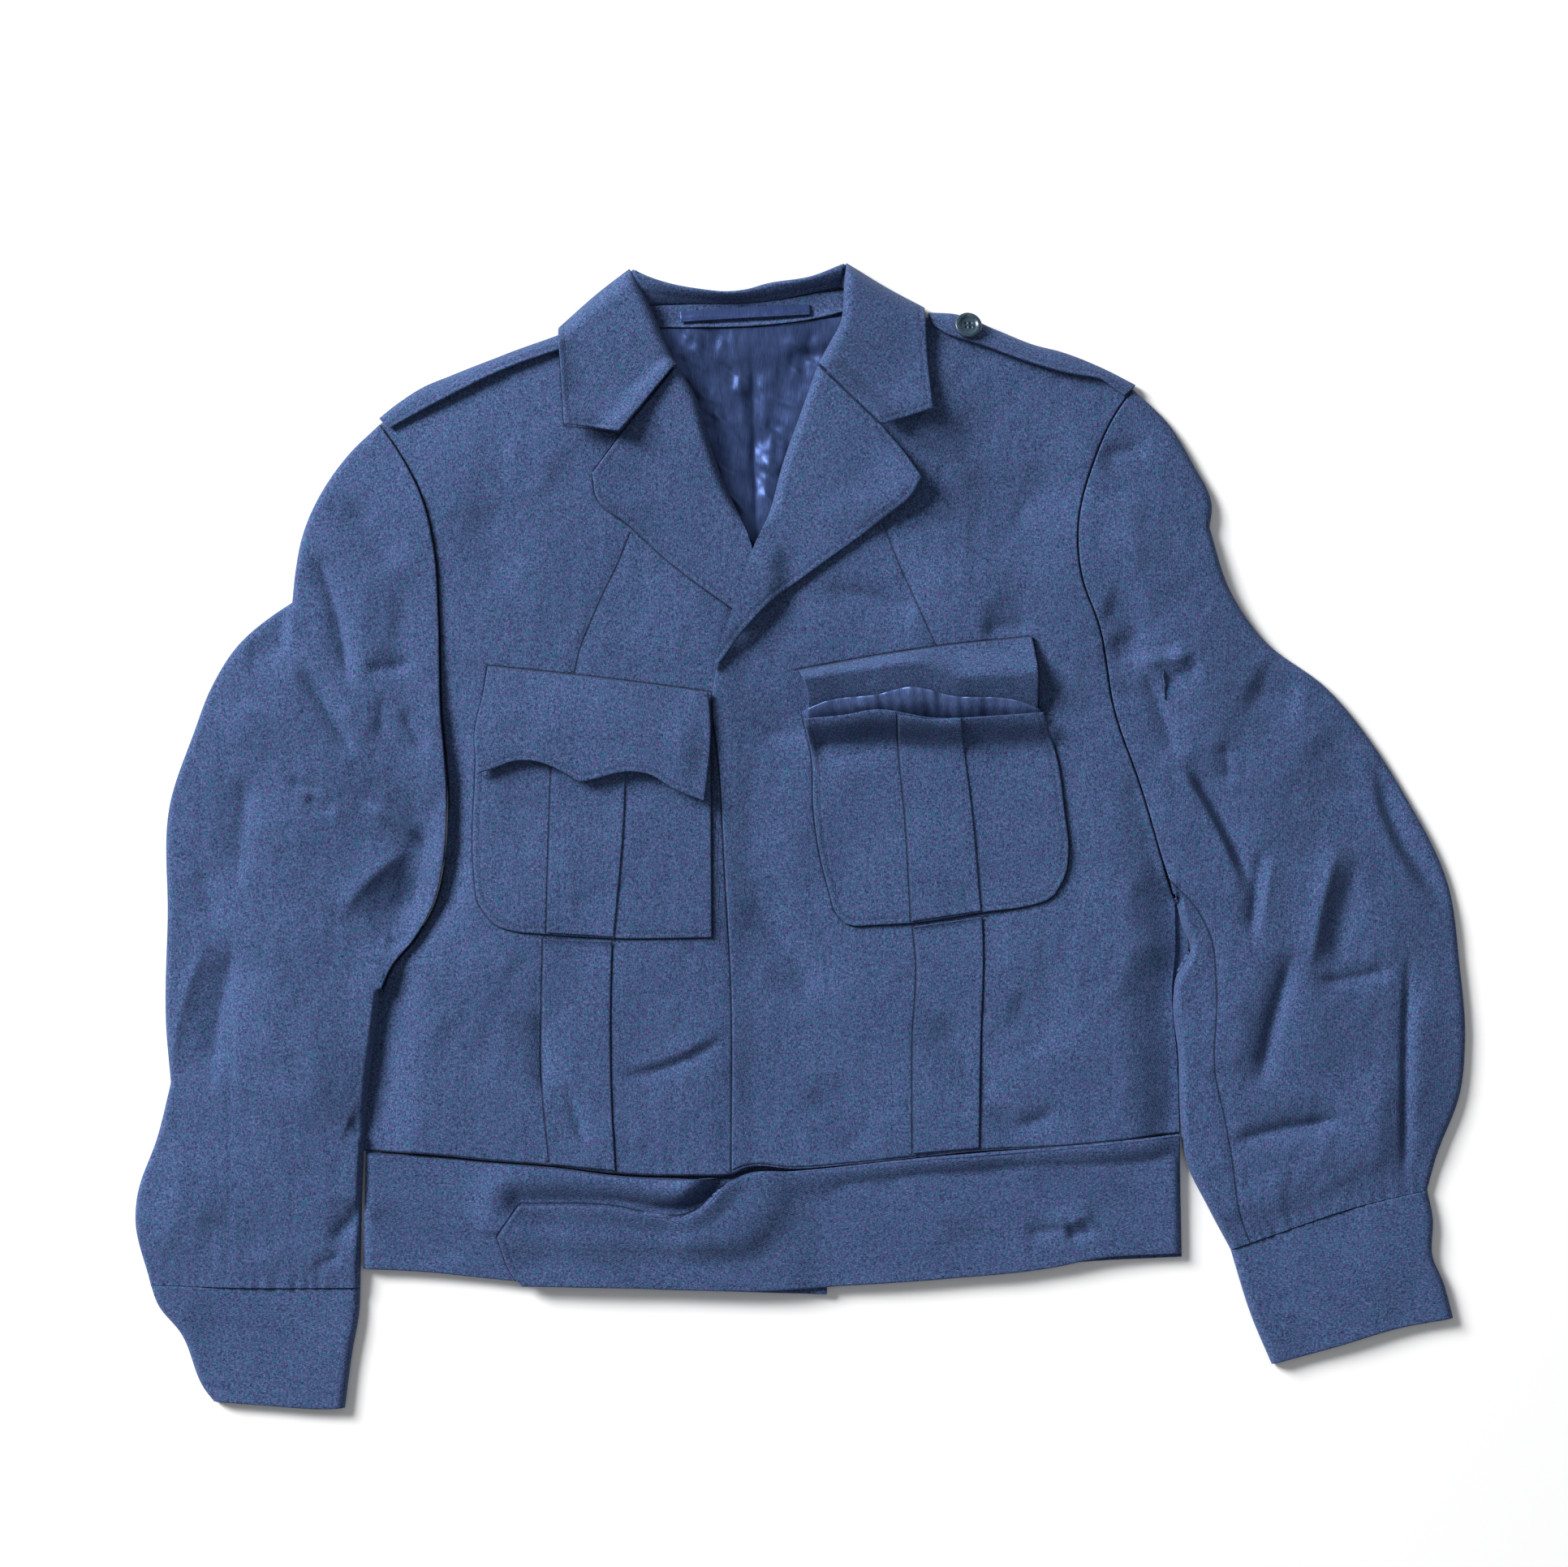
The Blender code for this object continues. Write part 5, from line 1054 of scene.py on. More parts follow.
def nodes_of(tree):
    """Two helpers for a node tree: one adds a node with its settings and inputs, one joins sockets."""
    def add(kind, inputs=None, **settings):
        node = tree.nodes.new(kind)
        for key, value in settings.items():
            setattr(node, key, value)
        for key, value in (inputs or {}).items():
            if isinstance(value, bpy.types.NodeSocket):
                tree.links.new(value, node.inputs[key])
            else:
                node.inputs[key].default_value = value
        return node

    def math(operation, *values):
        node = add("ShaderNodeMath", operation=operation)
        for number, value in enumerate(values):
            if isinstance(value, bpy.types.NodeSocket):
                tree.links.new(value, node.inputs[number])
            else:
                node.inputs[number].default_value = value
        return node.outputs[0]

    return add, math


def new_material(name):
    """A material with its shader, its two node helpers and its object's places in millimetres."""
    made = bpy.data.materials.new(name)
    made.use_nodes = True
    add, math = nodes_of(made.node_tree)
    shader = made.node_tree.nodes["Principled BSDF"]
    place = add("ShaderNodeMapping", {"Vector": add("ShaderNodeTexCoord").outputs["Object"],
                                      "Scale": (1000, 1000, 1000)})
    return made, made.node_tree, shader, add, math, place


def sewn_group():
    """Node group: from a mark (distance off a line, run along it, nearness) the groove and the stitches."""
    group = bpy.data.node_groups.new("sewn line", "ShaderNodeTree")
    socket(group, "Mark", "NodeSocketVector", "INPUT")
    socket(group, "Offset", "NodeSocketFloat", "INPUT", 0.0)
    socket(group, "Width", "NodeSocketFloat", "INPUT", 0.5)
    socket(group, "Pitch", "NodeSocketFloat", "INPUT", 3.2)
    socket(group, "Groove", "NodeSocketFloat", "OUTPUT")
    socket(group, "Stitch", "NodeSocketFloat", "OUTPUT")
    add, math = nodes_of(group)
    inputs = add("NodeGroupInput").outputs
    parts = add("ShaderNodeSeparateXYZ", {0: inputs["Mark"]}).outputs
    off = math("SUBTRACT", math("ABSOLUTE", parts[0]), inputs["Offset"])
    square = math("POWER", math("DIVIDE", off, inputs["Width"]), 2.0)
    bell = math("POWER", 2.718, math("MULTIPLY", square, -1.0))
    groove = math("MULTIPLY", bell, parts[2])
    wave = math("SINE", math("MULTIPLY", math("DIVIDE", parts[1], inputs["Pitch"]), 2 * pi))
    dash = add("ShaderNodeMapRange", {0: wave, 1: -0.55, 2: 0.0}, clamp=True).outputs[0]
    out = add("NodeGroupOutput").inputs
    group.links.new(groove, out["Groove"])
    group.links.new(math("MULTIPLY", groove, dash), out["Stitch"])
    return group


def serge_group():
    """Node group: the weave of a heather wool serge from a place in millimetres."""
    group = bpy.data.node_groups.new("wool serge", "ShaderNodeTree")
    socket(group, "Place", "NodeSocketVector", "INPUT")
    socket(group, "Base", "NodeSocketColor", "INPUT", (0.05, 0.09, 0.2, 1))
    socket(group, "Light", "NodeSocketColor", "INPUT", (0.12, 0.17, 0.3, 1))
    socket(group, "Dark", "NodeSocketColor", "INPUT", (0.015, 0.025, 0.07, 1))
    socket(group, "Purple", "NodeSocketColor", "INPUT", (0.09, 0.05, 0.2, 1))
    socket(group, "Teal", "NodeSocketColor", "INPUT", (0.03, 0.13, 0.19, 1))
    socket(group, "Twill", "NodeSocketFloat", "INPUT", 1.15)
    socket(group, "Color", "NodeSocketColor", "OUTPUT")
    socket(group, "Height", "NodeSocketFloat", "OUTPUT")
    add, math = nodes_of(group)
    inputs = add("NodeGroupInput").outputs
    place = inputs["Place"]

    def noise(scale, stretch=(1, 1, 1), detail=2.0, shift=0.0):
        at = add("ShaderNodeMapping", {"Vector": place, "Scale": stretch, "Location": (shift, shift, 0)})
        sizes = {"Scale": scale, "Detail": detail}
        return add("ShaderNodeTexNoise", {"Vector": at.outputs[0], **sizes}).outputs[0]

    def mix(share, first, second):
        return add("ShaderNodeMix", {0: share, 6: first, 7: second}, data_type="RGBA").outputs[2]

    def rise(value, low, high):
        return add("ShaderNodeMapRange", {0: value, 1: low, 2: high}, clamp=True).outputs[0]

    parts = add("ShaderNodeSeparateXYZ", {0: place}).outputs
    slant = math("ADD", math("MULTIPLY", parts[0], 0.94), math("MULTIPLY", parts[1], 0.34))
    wobble = math("MULTIPLY", noise(0.35), 1.2)
    ribs = math("DIVIDE", math("ADD", slant, wobble), inputs["Twill"])
    twill = math("SINE", math("MULTIPLY", ribs, 2 * pi))
    fine_warp = noise(1.22, (1.0, 0.5, 1.0), 3.0)
    fine_weft = noise(1.18, (0.55, 1.0, 1.0), 3.0, 31.0)
    slub = noise(0.55, (1.0, 0.045, 1.0), 2.0, 77.0)
    cloud = noise(0.018, (1.0, 1.0, 1.0), 2.0, 11.0)
    tone = math("ADD", math("MULTIPLY", fine_warp, 0.55), math("MULTIPLY", fine_weft, 0.45))
    color = mix(rise(tone, 0.48, 0.63), inputs["Base"], inputs["Light"])
    color = mix(rise(tone, 0.51, 0.37), color, inputs["Dark"])
    for fleck, scale, shift in (("Purple", 0.95, 140.0), ("Teal", 0.9, 210.0)):
        color = mix(rise(noise(scale, (1, 0.6, 1), 1.0, shift), 0.57, 0.69), color, inputs[fleck])
    color = mix(math("MULTIPLY", rise(slub, 0.42, 0.66), 0.12), color, inputs["Light"])
    color = mix(math("MULTIPLY", rise(cloud, 0.62, 0.40), 0.12), color, inputs["Dark"])
    height = math("ADD", math("MULTIPLY", twill, 0.16), math("MULTIPLY", tone, 0.9))
    out = add("NodeGroupOutput").inputs
    group.links.new(color, out["Color"])
    group.links.new(height, out["Height"])
    return group


def group_named(name, maker):
    """A node group, built once."""
    return bpy.data.node_groups.get(name) or maker()


def serge(turn=0.0):
    """The wool serge's material, its weave turned by some degrees, darkened along its marked lines: sewn
    seams, and painted contact shadows where pieces lie on it.
    """
    name = "serge_%g" % turn
    if name in bpy.data.materials:
        return bpy.data.materials[name]
    colors = bpy.context.scene.blouse_colors
    made, tree, shader, add, math, place = new_material(name)
    place.inputs["Rotation"].default_value = (0, 0, radians(turn))
    weave = add("ShaderNodeGroup", node_tree=group_named("wool serge", serge_group))
    tree.links.new(place.outputs[0], weave.inputs["Place"])
    for key, value in (("Base", colors.base), ("Light", colors.light), ("Dark", colors.dark),
                       ("Purple", colors.purple), ("Teal", colors.teal)):
        weave.inputs[key].default_value = (*value, 1)

    def sewn(attribute, offset, width, pitch):
        group = add("ShaderNodeGroup", node_tree=group_named("sewn line", sewn_group))
        mark = add("ShaderNodeAttribute", attribute_name=attribute).outputs["Vector"]
        tree.links.new(mark, group.inputs["Mark"])
        for key, value in (("Offset", offset), ("Width", width), ("Pitch", pitch)):
            group.inputs[key].default_value = value
        return group.outputs

    # Painted shade: the colour darkens toward near-black along the seam mark, which holds sewn seams and
    # painted contact shadows beside pieces that lie on this one, and a little in the stitching's dimple.
    seam = sewn("seam", 0.0, 0.55, 3.0)["Groove"]
    pull = sewn("stitch", STITCH_IN, 1.1, 3.0)["Groove"]
    thread = sewn("stitch", STITCH_IN, 0.34, 3.1)["Stitch"]
    shade = math("SUBTRACT", 1.0, math("ADD", math("MULTIPLY", seam, 0.72), math("MULTIPLY", pull, 0.16)))
    dark = math("MULTIPLY", thread, 0.45)
    color = add("ShaderNodeMix", {0: shade, 6: (0.006, 0.009, 0.025, 1), 7: weave.outputs["Color"]},
                data_type="RGBA").outputs[2]
    color = add("ShaderNodeMix", {0: dark, 6: color, 7: (0.012, 0.018, 0.05, 1)}, data_type="RGBA").outputs[2]
    tree.links.new(color, shader.inputs["Base Color"])
    height = math("SUBTRACT", weave.outputs["Height"],
                  math("ADD", math("MULTIPLY", seam, 2.2), math("MULTIPLY", pull, 1.2)))
    height = math("ADD", height, math("MULTIPLY", thread, 0.7))
    bump = add("ShaderNodeBump", {"Height": height, "Strength": 0.55, "Distance": 0.0003})
    tree.links.new(bump.outputs[0], shader.inputs["Normal"])
    rough = add("ShaderNodeMapRange", {0: weave.outputs["Height"], 1: 0.2, 2: 0.9, 3: 0.96, 4: 0.8})
    tree.links.new(rough.outputs[0], shader.inputs["Roughness"])
    shader.inputs["Sheen Weight"].default_value = 0.12
    shader.inputs["Sheen Roughness"].default_value = 0.55
    shader.inputs["Sheen Tint"].default_value = (0.45, 0.55, 0.8, 1)
    shader.inputs["Specular IOR Level"].default_value = 0.2
    return made


def satin(name, color, bright, rough, weave_pitch):
    """A satin lining: long threads that catch the light, over two close shades."""
    if name in bpy.data.materials:
        return bpy.data.materials[name]
    made, tree, shader, add, math, place = new_material(name)
    place = place.outputs[0]
    drawn = add("ShaderNodeMapping", {"Vector": place, "Scale": (2.4 / weave_pitch, 0.12, 1)})
    thread = add("ShaderNodeTexNoise", {"Vector": drawn.outputs[0], "Scale": 1.0, "Detail": 3.0}).outputs[0]
    cloud = add("ShaderNodeTexNoise", {"Vector": place, "Scale": 0.06, "Detail": 2.0}).outputs[0]
    share = math("ADD", math("MULTIPLY", thread, 0.7), math("MULTIPLY", cloud, 0.3))
    ramp = add("ShaderNodeMapRange", {0: share, 1: 0.35, 2: 0.7})
    mixed = add("ShaderNodeMix", {0: ramp.outputs[0], 6: (*color, 1), 7: (*bright, 1)}, data_type="RGBA")
    tree.links.new(mixed.outputs[2], shader.inputs["Base Color"])
    low = add("ShaderNodeMapRange", {0: thread, 1: 0.3, 2: 0.7, 3: rough - 0.05, 4: rough + 0.1})
    tree.links.new(low.outputs[0], shader.inputs["Roughness"])
    bump = add("ShaderNodeBump", {"Height": thread, "Strength": 0.3, "Distance": 0.0002})
    tree.links.new(bump.outputs[0], shader.inputs["Normal"])
    shader.inputs["Specular IOR Level"].default_value = 0.06
    shader.inputs["Metallic"].default_value = 0.6
    return made


def plastic():
    """The button's moulded plastic, a little cloudy, its roughness uneven."""
    made, tree, shader, add, _, place = new_material("button_plastic")
    place = place.outputs[0]
    swirl = add("ShaderNodeTexNoise", {"Vector": place, "Scale": 0.35, "Detail": 4.0, "Distortion": 1.5})
    share = add("ShaderNodeMapRange", {0: swirl.outputs[0], 1: 0.35, 2: 0.7}).outputs[0]
    mixed = add("ShaderNodeMix", {0: share, 6: (0.012, 0.03, 0.055, 1), 7: (0.04, 0.07, 0.1, 1)},
                data_type="RGBA")
    tree.links.new(mixed.outputs[2], shader.inputs["Base Color"])
    scratch = add("ShaderNodeTexNoise", {"Vector": place, "Scale": 3.0, "Detail": 2.0}).outputs[0]
    rough = add("ShaderNodeMapRange", {0: scratch, 1: 0.3, 2: 0.7, 3: 0.22, 4: 0.4}).outputs[0]
    tree.links.new(rough, shader.inputs["Roughness"])
    return made


# Pieces

def between(top, low):
    """The four edges of a piece whose ends run straight from its top to its lower edge."""
    return top, low, [top[0], low[0]], [top[-1], low[-1]]


def make_back():
    """The back panel and the back of the waistband, flat on the surface."""
    left = np.vstack([moved(ARMHOLE_RIGHT, SEAM), moved(SIDE_RIGHT, -SIDE_UNDER)[1:]])
    right = np.vstack([moved(ARMHOLE_LEFT, -SEAM), smooth(SIDE_LEFT_BACK)[1:]])
    top = moved(SHOULDER_RIGHT + [NECK_SEAM[1], NECK_SEAM[2]] + SHOULDER_LEFT[::-1], -SEAM)
    us, vs = fine(BODY_WIDE, spacing().hidden_step), fine(BODY_LONG, spacing().hidden_step)
    plan = patch(top, WAIST_BACK, left, right, us, vs)
    outer = raised(plan, back_heights(plan))
    sheet("back", outer, CLOTH, serge(), inner=outer - [0, 0, CLOTH])
    seam = moved(WAIST_BACK, -2 * SEAM)
    band = patch(*between(seam, BAND_BACK_LOW), us, fine(BAND_DEEP, spacing().piece_step))
    outer = raised(band, np.full(band.shape[:2], DOUBLE))
    outer[..., 2] -= hemmed(band, smooth(BAND_BACK_LOW))
    sheet("waistband_back", outer, DOUBLE, serge(), inner=raised(band, np.zeros(band.shape[:2])))


def make_collar_back():
    """The collar behind the neck: its stand, its roll, and its fall, which lies under the back; both ends
    run on under the sides of the collar."""
    us = fine(CUFF_WIDE, spacing().piece_step)
    shares = np.array([1.0, 0.6, 0.25])[:, None]
    roll, seam = (np.vstack([row[:1] + shares * NECK_ENDS[0], row, row[-1:] + shares[::-1] * NECK_ENDS[1]])
                  for row in (along(NECK_ROLL, us), along(NECK_SEAM, us)))
    us = np.r_[0, 0, 0, us, 1, 1, 1]
    reach = (seam - roll) / np.linalg.norm(seam - roll, axis=1)[:, None]
    depth = np.linalg.norm(seam - roll, axis=1)[:, None]
    low = 2 * CLOTH + BACK_LIFT + GAP
    radius = STAND_HEIGHT / 2
    share, turn = np.linspace(1, 0.26, 12), np.radians(np.linspace(66, -66, 17))
    run = np.linspace(0.06, 1, 14)
    back = np.concatenate([share[:, None] * depth[:, 0], 0.25 * depth[:, 0] * (1 - np.cos(turn))[:, None],
                           0.25 * depth[:, 0] + run[:, None] * UNDER_FALL])
    rise = np.concatenate([low + (STAND_HEIGHT - low) * np.sin(pi / 2 * (1 - share)),
                           radius + radius * np.sin(turn), 0 * run])
    wave = 0.5 * np.sin(2 * pi * us * 3.1 + 0.4) * ease((rise - 4) / 8)[:, None]
    plan = roll[None] + back[..., None] * reach[None]
    rise = rise[:, None] + wave
    covered = np.arange(len(us))[None, :]
    covered = (covered < 3) | (covered > len(us) - 4)
    rise = np.where(covered, np.clip(RELIEF.drape(plan, 1) - DOUBLE - GAP, 0, rise), rise)
    grid = raised(plan, rise)[::-1]
    stand_seam = [along(roll + 0.34 * (seam - roll), [0.0, 0.25, 0.5, 0.75, 1.0])]
    sheet("collar_back", grid, CLOTH, serge(), stitches=stand_seam)


def make_neck():
    """What shows inside the neck: the back's lining, its cloth facing and the hanger tape."""
    us, vs = (fine(size, LINING_STEP) for size in LINING_SIZE)
    plan = patch(LINING_TOP, LINING_LOW, LINING_RIGHT, LINING_LEFT, us, vs)
    crumple = ripples(plan, 0.5, 21, 22, 5, 30) * (0.5 + ease(ripples(plan, 1.0, 22, 8, 40, 90) + 0.5))
    heights = back_heights(plan) + GAP + SATIN + LINING_LIFT + folds(plan, LINING_FOLDS + SATIN_FOLDS)
    heights = np.maximum(heights + crumple, back_heights(plan) + 0.3 + SATIN)
    outer = raised(plan, heights)
    sheet("back_lining", outer, SATIN, satin("lining_satin", *LINING_SHADES, 0.36, 0.5),
          inner=outer - [0, 0, SATIN])
    seam, low = moved(NECK_SEAM_WIDE, -2 * SEAM), moved(FACING_WIDE, 2 * SEAM)

    def level(u, v, plan):
        return 0 * u * v

    facing = laid("back_facing", between(seam, low), CLOTH, level, serge(), reach=2)

    def bow(u, v, plan):
        return (0.6 * TAPE_ARCH + 0.25 * np.sin(9 * u + 1)) * np.sin(pi * u) + 0 * v

    tape = laid("hanger_tape", between(TAPE_TOP, TAPE_LOW), SATIN, bow,
                satin("tape_satin", *TAPE_SHADES, 0.34, 0.8), reach=2, step=1.0)


def front_hem(plan, curves):
    """The fronts' turn at the edges that are sewn or folded, and none where they lie on the back."""
    return np.max([hemmed(plan, smooth(curve)) for curve in curves], axis=0)


def make_front_right():
    """The wearer's right front, which lies under the other along the opening."""
    edge = np.vstack([moved(ARMHOLE_RIGHT, SEAM), moved(SIDE_RIGHT, -SIDE_UNDER)[1:]])
    us, vs = (fine(size, spacing().panel_step) for size in FRONT_RIGHT_SIZE)
    plan = patch(SHOULDER_RIGHT, WAIST_RIGHT, edge, OPENING_RIGHT, us, vs)
    heights = front_heights(plan, outline_of(SHOULDER_RIGHT, SLEEVE_OUT_RIGHT), SIDE_RIGHT, ARMHOLE_RIGHT,
                            ARMHOLE_DEEP)
    heights -= SLIT_DEPTH * np.exp(-(away(plan, SLIT) / GROOVE_WIDE) ** 2)
    tucked = TUCK_DEPTH * ease(1 - away(plan, OPENING_RIGHT) / TUCK_WIDTH)
    tucked = tucked * ease(away(plan, SHOULDER_RIGHT) / TUCK_WIDTH)
    heights -= tucked + front_hem(plan, [moved(ARMHOLE_RIGHT, SEAM)[:HEM_RIGHT], WAIST_RIGHT])
    # Painted contact shadows: dark lines just outside the edges of the opening, pocket, tuck, flap, lapel and
    # collar that lie on this front, and along its armhole and waist seams, which are partly the seams' own
    # lines; the slit beside the flap is also painted dark.
    opening = smooth(OPENING_LEFT)
    opening = opening[opening[:, 1] < CONTACT_Y]
    lines = [moved(curve, way * CONTACT_SHADOW_OFFSET) for way, curves in (
        (-1, (opening, POCKET_RIGHT_OUT, POCKET_RIGHT_LOW)), (1, (POCKET_RIGHT_IN,)), (-1, (TUCK_RIGHT_OUT,)),
        (1, (TUCK_RIGHT_IN, FLAP_RIGHT_TOP)), (-1, (FLAP_RIGHT_OUT,)), (1, (ARMHOLE_RIGHT, WAIST_RIGHT)),
        (-1, (LAPEL_OUT_RIGHT,)), (1, (LAPEL_TOP_RIGHT[:2],)), (-1, (FALL_OUT_RIGHT, FALL_LOW_RIGHT[:3])))
        for curve in curves]
    sheet("front_right", raised(plan, heights), CLOTH, serge(), seams=lines + [BODY_SEAMS[0].points, SLIT])


def make_front_left():
    """The wearer's left front, over the right one and its lapel."""
    edge = np.vstack([moved(ARMHOLE_LEFT, -SEAM), smooth(SIDE_LEFT_OPEN)[1:]])
    us, vs = (fine(size, spacing().panel_step) for size in FRONT_LEFT_SIZE)
    plan = patch(SHOULDER_LEFT[::-1], WAIST_LEFT, OPENING_LEFT, edge, us, vs)
    heights = front_heights(plan, outline_of(SHOULDER_LEFT, SLEEVE_OUT_LEFT), SIDE_LEFT, ARMHOLE_LEFT)
    heights = np.maximum(heights, RELIEF.drape(plan, 6) + GAP + CLOTH)
    heights -= front_hem(plan, [moved(ARMHOLE_LEFT, -SEAM)[:HEM_LEFT], WAIST_LEFT, OPENING_LEFT])
    # Painted contact shadows: dark lines just outside the edges of the pocket, tuck and flap that lie on this
    # front, and along its armhole and waist seams, which are partly the seams' own lines.
    lines = [moved(curve, way * CONTACT_SHADOW_OFFSET) for curve, way in (
        (POCKET_LEFT_IN, -1), (POCKET_LEFT_LOW, -1), (POCKET_LEFT_OUT, 1), (TUCK_LEFT_IN, -1),
        (TUCK_LEFT_OUT, 1), (FLAP_LEFT_TOP, 1), (FLAP_LEFT_OUT, 1), (ARMHOLE_LEFT, -1), (WAIST_LEFT, 1))]
    sheet("front_left", raised(plan, heights), CLOTH, serge(), seams=lines + [BODY_SEAMS[1].points])


def rolled(plan, flat, roll, depth=ROLL_DEPTH):
    """Heights that turn down along a roll line."""
    return flat - depth * (1 - quarter(away(plan, roll), ROLL_ROUND))


def make_lapel(node, edges, roll, outer_edge, top_edge, turn, lift):
    """A turned facing that lies on its front and turns down along its roll line, above the break."""
    us, vs = fine(length(edges[0]), spacing().piece_step), fine(length(edges[2]), spacing().piece_step)
    plan = patch(*edges, us, vs)
    turned = ease((plan[..., 1] - BREAK_Y) / BREAK_LENGTH)
    loose = LOOSE + (lift * turned) * ease(1 - away(plan, outer_edge) / LAPEL_REACH) + ripples(plan, 0.3, 31)
    clear = np.maximum(RELIEF.drape(plan, 9), body_top(plan)) + GAP + DOUBLE + loose
    heights = rolled(plan, clear, roll, ROLL_DEPTH * turned)
    heights -= np.maximum(hemmed(plan, smooth(outer_edge)), hemmed(plan, smooth(edges[0])))
    flat = np.maximum(1 - turned, ease((away(plan, roll) - 0.5 * ROLL_ROUND) / ROLL_ROUND))
    sheet(node, raised(plan, heights), DOUBLE, serge(turn), stitches=[outer_edge, top_edge],
          level=flat)


def make_lapel_right():
    """The wearer's right lapel, part of it under the left front."""
    edges = (LAPEL_TOP_RIGHT, LAPEL_END_RIGHT, LAPEL_OUT_RIGHT, LAPEL_ROLL_RIGHT)
    make_lapel("lapel_right", edges, LAPEL_ROLL_RIGHT, LAPEL_OUT_RIGHT, LAPEL_TOP_RIGHT[:2], 24, 2.4)


def make_lapel_left():
    """The wearer's left lapel, on top."""
    edges = (LAPEL_TOP_LEFT[::-1], LAPEL_END_LEFT[::-1], LAPEL_ROLL_LEFT, LAPEL_OUT_LEFT)
    make_lapel("lapel_left", edges, LAPEL_ROLL_LEFT, LAPEL_OUT_LEFT, LAPEL_TOP_LEFT[:3], -24, 5.0)


def make_fall(node, edges, roll, outline, out_edge, low_edge, turn, lift, corner_lift, tilt):
    """One side of the collar's fall: on the front, down to the surface behind, and down along its roll."""
    us, vs = fine(length(edges[0]), spacing().piece_step), fine(length(edges[2]), spacing().piece_step)
    plan = patch(*edges, us, vs)
    free = np.minimum(away(plan, out_edge) + 12, away(plan, low_edge))
    corner = np.linalg.norm(plan - smooth(out_edge)[-1], axis=2)
    loose = HOVER + max(0, -tilt) + lift * ease(1 - free / FALL_REACH)
    loose = loose + corner_lift * np.exp(-(corner / CORNER_REACH) ** 2)
    loose = loose + tilt * (1 - away(plan, roll) / FALL_WIDE) + ripples(plan, 0.3, 41)
    clear = np.maximum(RELIEF.drape(plan, 6), body_top(plan)) + DOUBLE + loose
    turned = quarter(away(plan, outline), FALL_ROUND)
    floor = FALL_FLOOR + DOUBLE
    heights = floor + (rolled(plan, clear, roll) - floor) * turned
    heights = np.maximum(heights, RELIEF.drape(plan, 2) + 0.3 + DOUBLE)
    heights -= np.maximum(hemmed(plan, smooth(out_edge)), hemmed(plan, smooth(edges[1])))
    sheet(node, raised(plan, heights), DOUBLE, serge(turn), stitches=[out_edge, low_edge])


def make_falls():
    """Both sides of the collar's fall."""
    edges = (FALL_TOP_RIGHT, FALL_LOW_RIGHT, FALL_OUT_RIGHT, FALL_ROLL_RIGHT)
    make_fall("collar_right", edges, FALL_ROLL_RIGHT, FALL_TOP_RIGHT, FALL_OUT_RIGHT, FALL_LOW_RIGHT[:3],
              38, 3.5, 0.6, -3.5)
    edges = (FALL_TOP_LEFT[::-1], FALL_LOW_LEFT[::-1], FALL_ROLL_LEFT, FALL_OUT_LEFT)
    make_fall("collar_left", edges, FALL_ROLL_LEFT, FALL_TOP_LEFT, FALL_OUT_LEFT, FALL_LOW_LEFT[:3],
              -38, 2.4, 5.0, 6.0)


def make_strap(node, ends, edge, outline, side, armhole, turn):
    """A shoulder strap: the front's points over the shoulder, moved out; its long edge stands off."""
    low, high = sorted(int(np.linalg.norm(outline - end, axis=1).argmin()) for end in ends)
    top = outline[low:high + 1]
    if np.linalg.norm(top[0] - ends[0]) > np.linalg.norm(top[-1] - ends[0]):
        top = top[::-1]
    us, vs = fine(length(edge), spacing().piece_step), fine(24, 1.2)
    plan = patch(top, edge, [top[0], edge[0]], [top[-1], edge[-1]], us, vs)
    under = raised(plan, front_heights(plan, outline, side, armhole))
    out = normals(under)
    lift = STRAP_LIFT * ease(vs)[:, None] * np.sin(pi * (0.05 + 0.9 * us))[None, :]
    inner = under + out * (GAP + SEAM)
    inner[..., 2] += lift
    outer = inner + out * DOUBLE
    outer[..., 2] -= hemmed(plan, smooth(edge))
    sheet(node, outer, DOUBLE, serge(turn), stitches=[edge], inner=inner)
    return outer


def make_straps():
    """The two shoulder straps and the button that shows."""
    make_strap("shoulder_strap_right", STRAP_RIGHT_ENDS, STRAP_RIGHT_EDGE,
               outline_of(SHOULDER_RIGHT, SLEEVE_OUT_RIGHT), SIDE_RIGHT, ARMHOLE_RIGHT, 65)
    surface = make_strap("shoulder_strap_left", STRAP_LEFT_ENDS, STRAP_LEFT_EDGE,
                         outline_of(SHOULDER_LEFT, SLEEVE_OUT_LEFT), SIDE_LEFT, ARMHOLE_LEFT, -65)
    flat = surface.reshape(-1, 3)
    spot = np.linalg.norm(flat[:, :2] - BUTTON_PLACE, axis=1).argmin()
    facing = normals(surface).reshape(-1, 3)[spot]
    make_button(flat[spot] + facing * SEAM, facing)


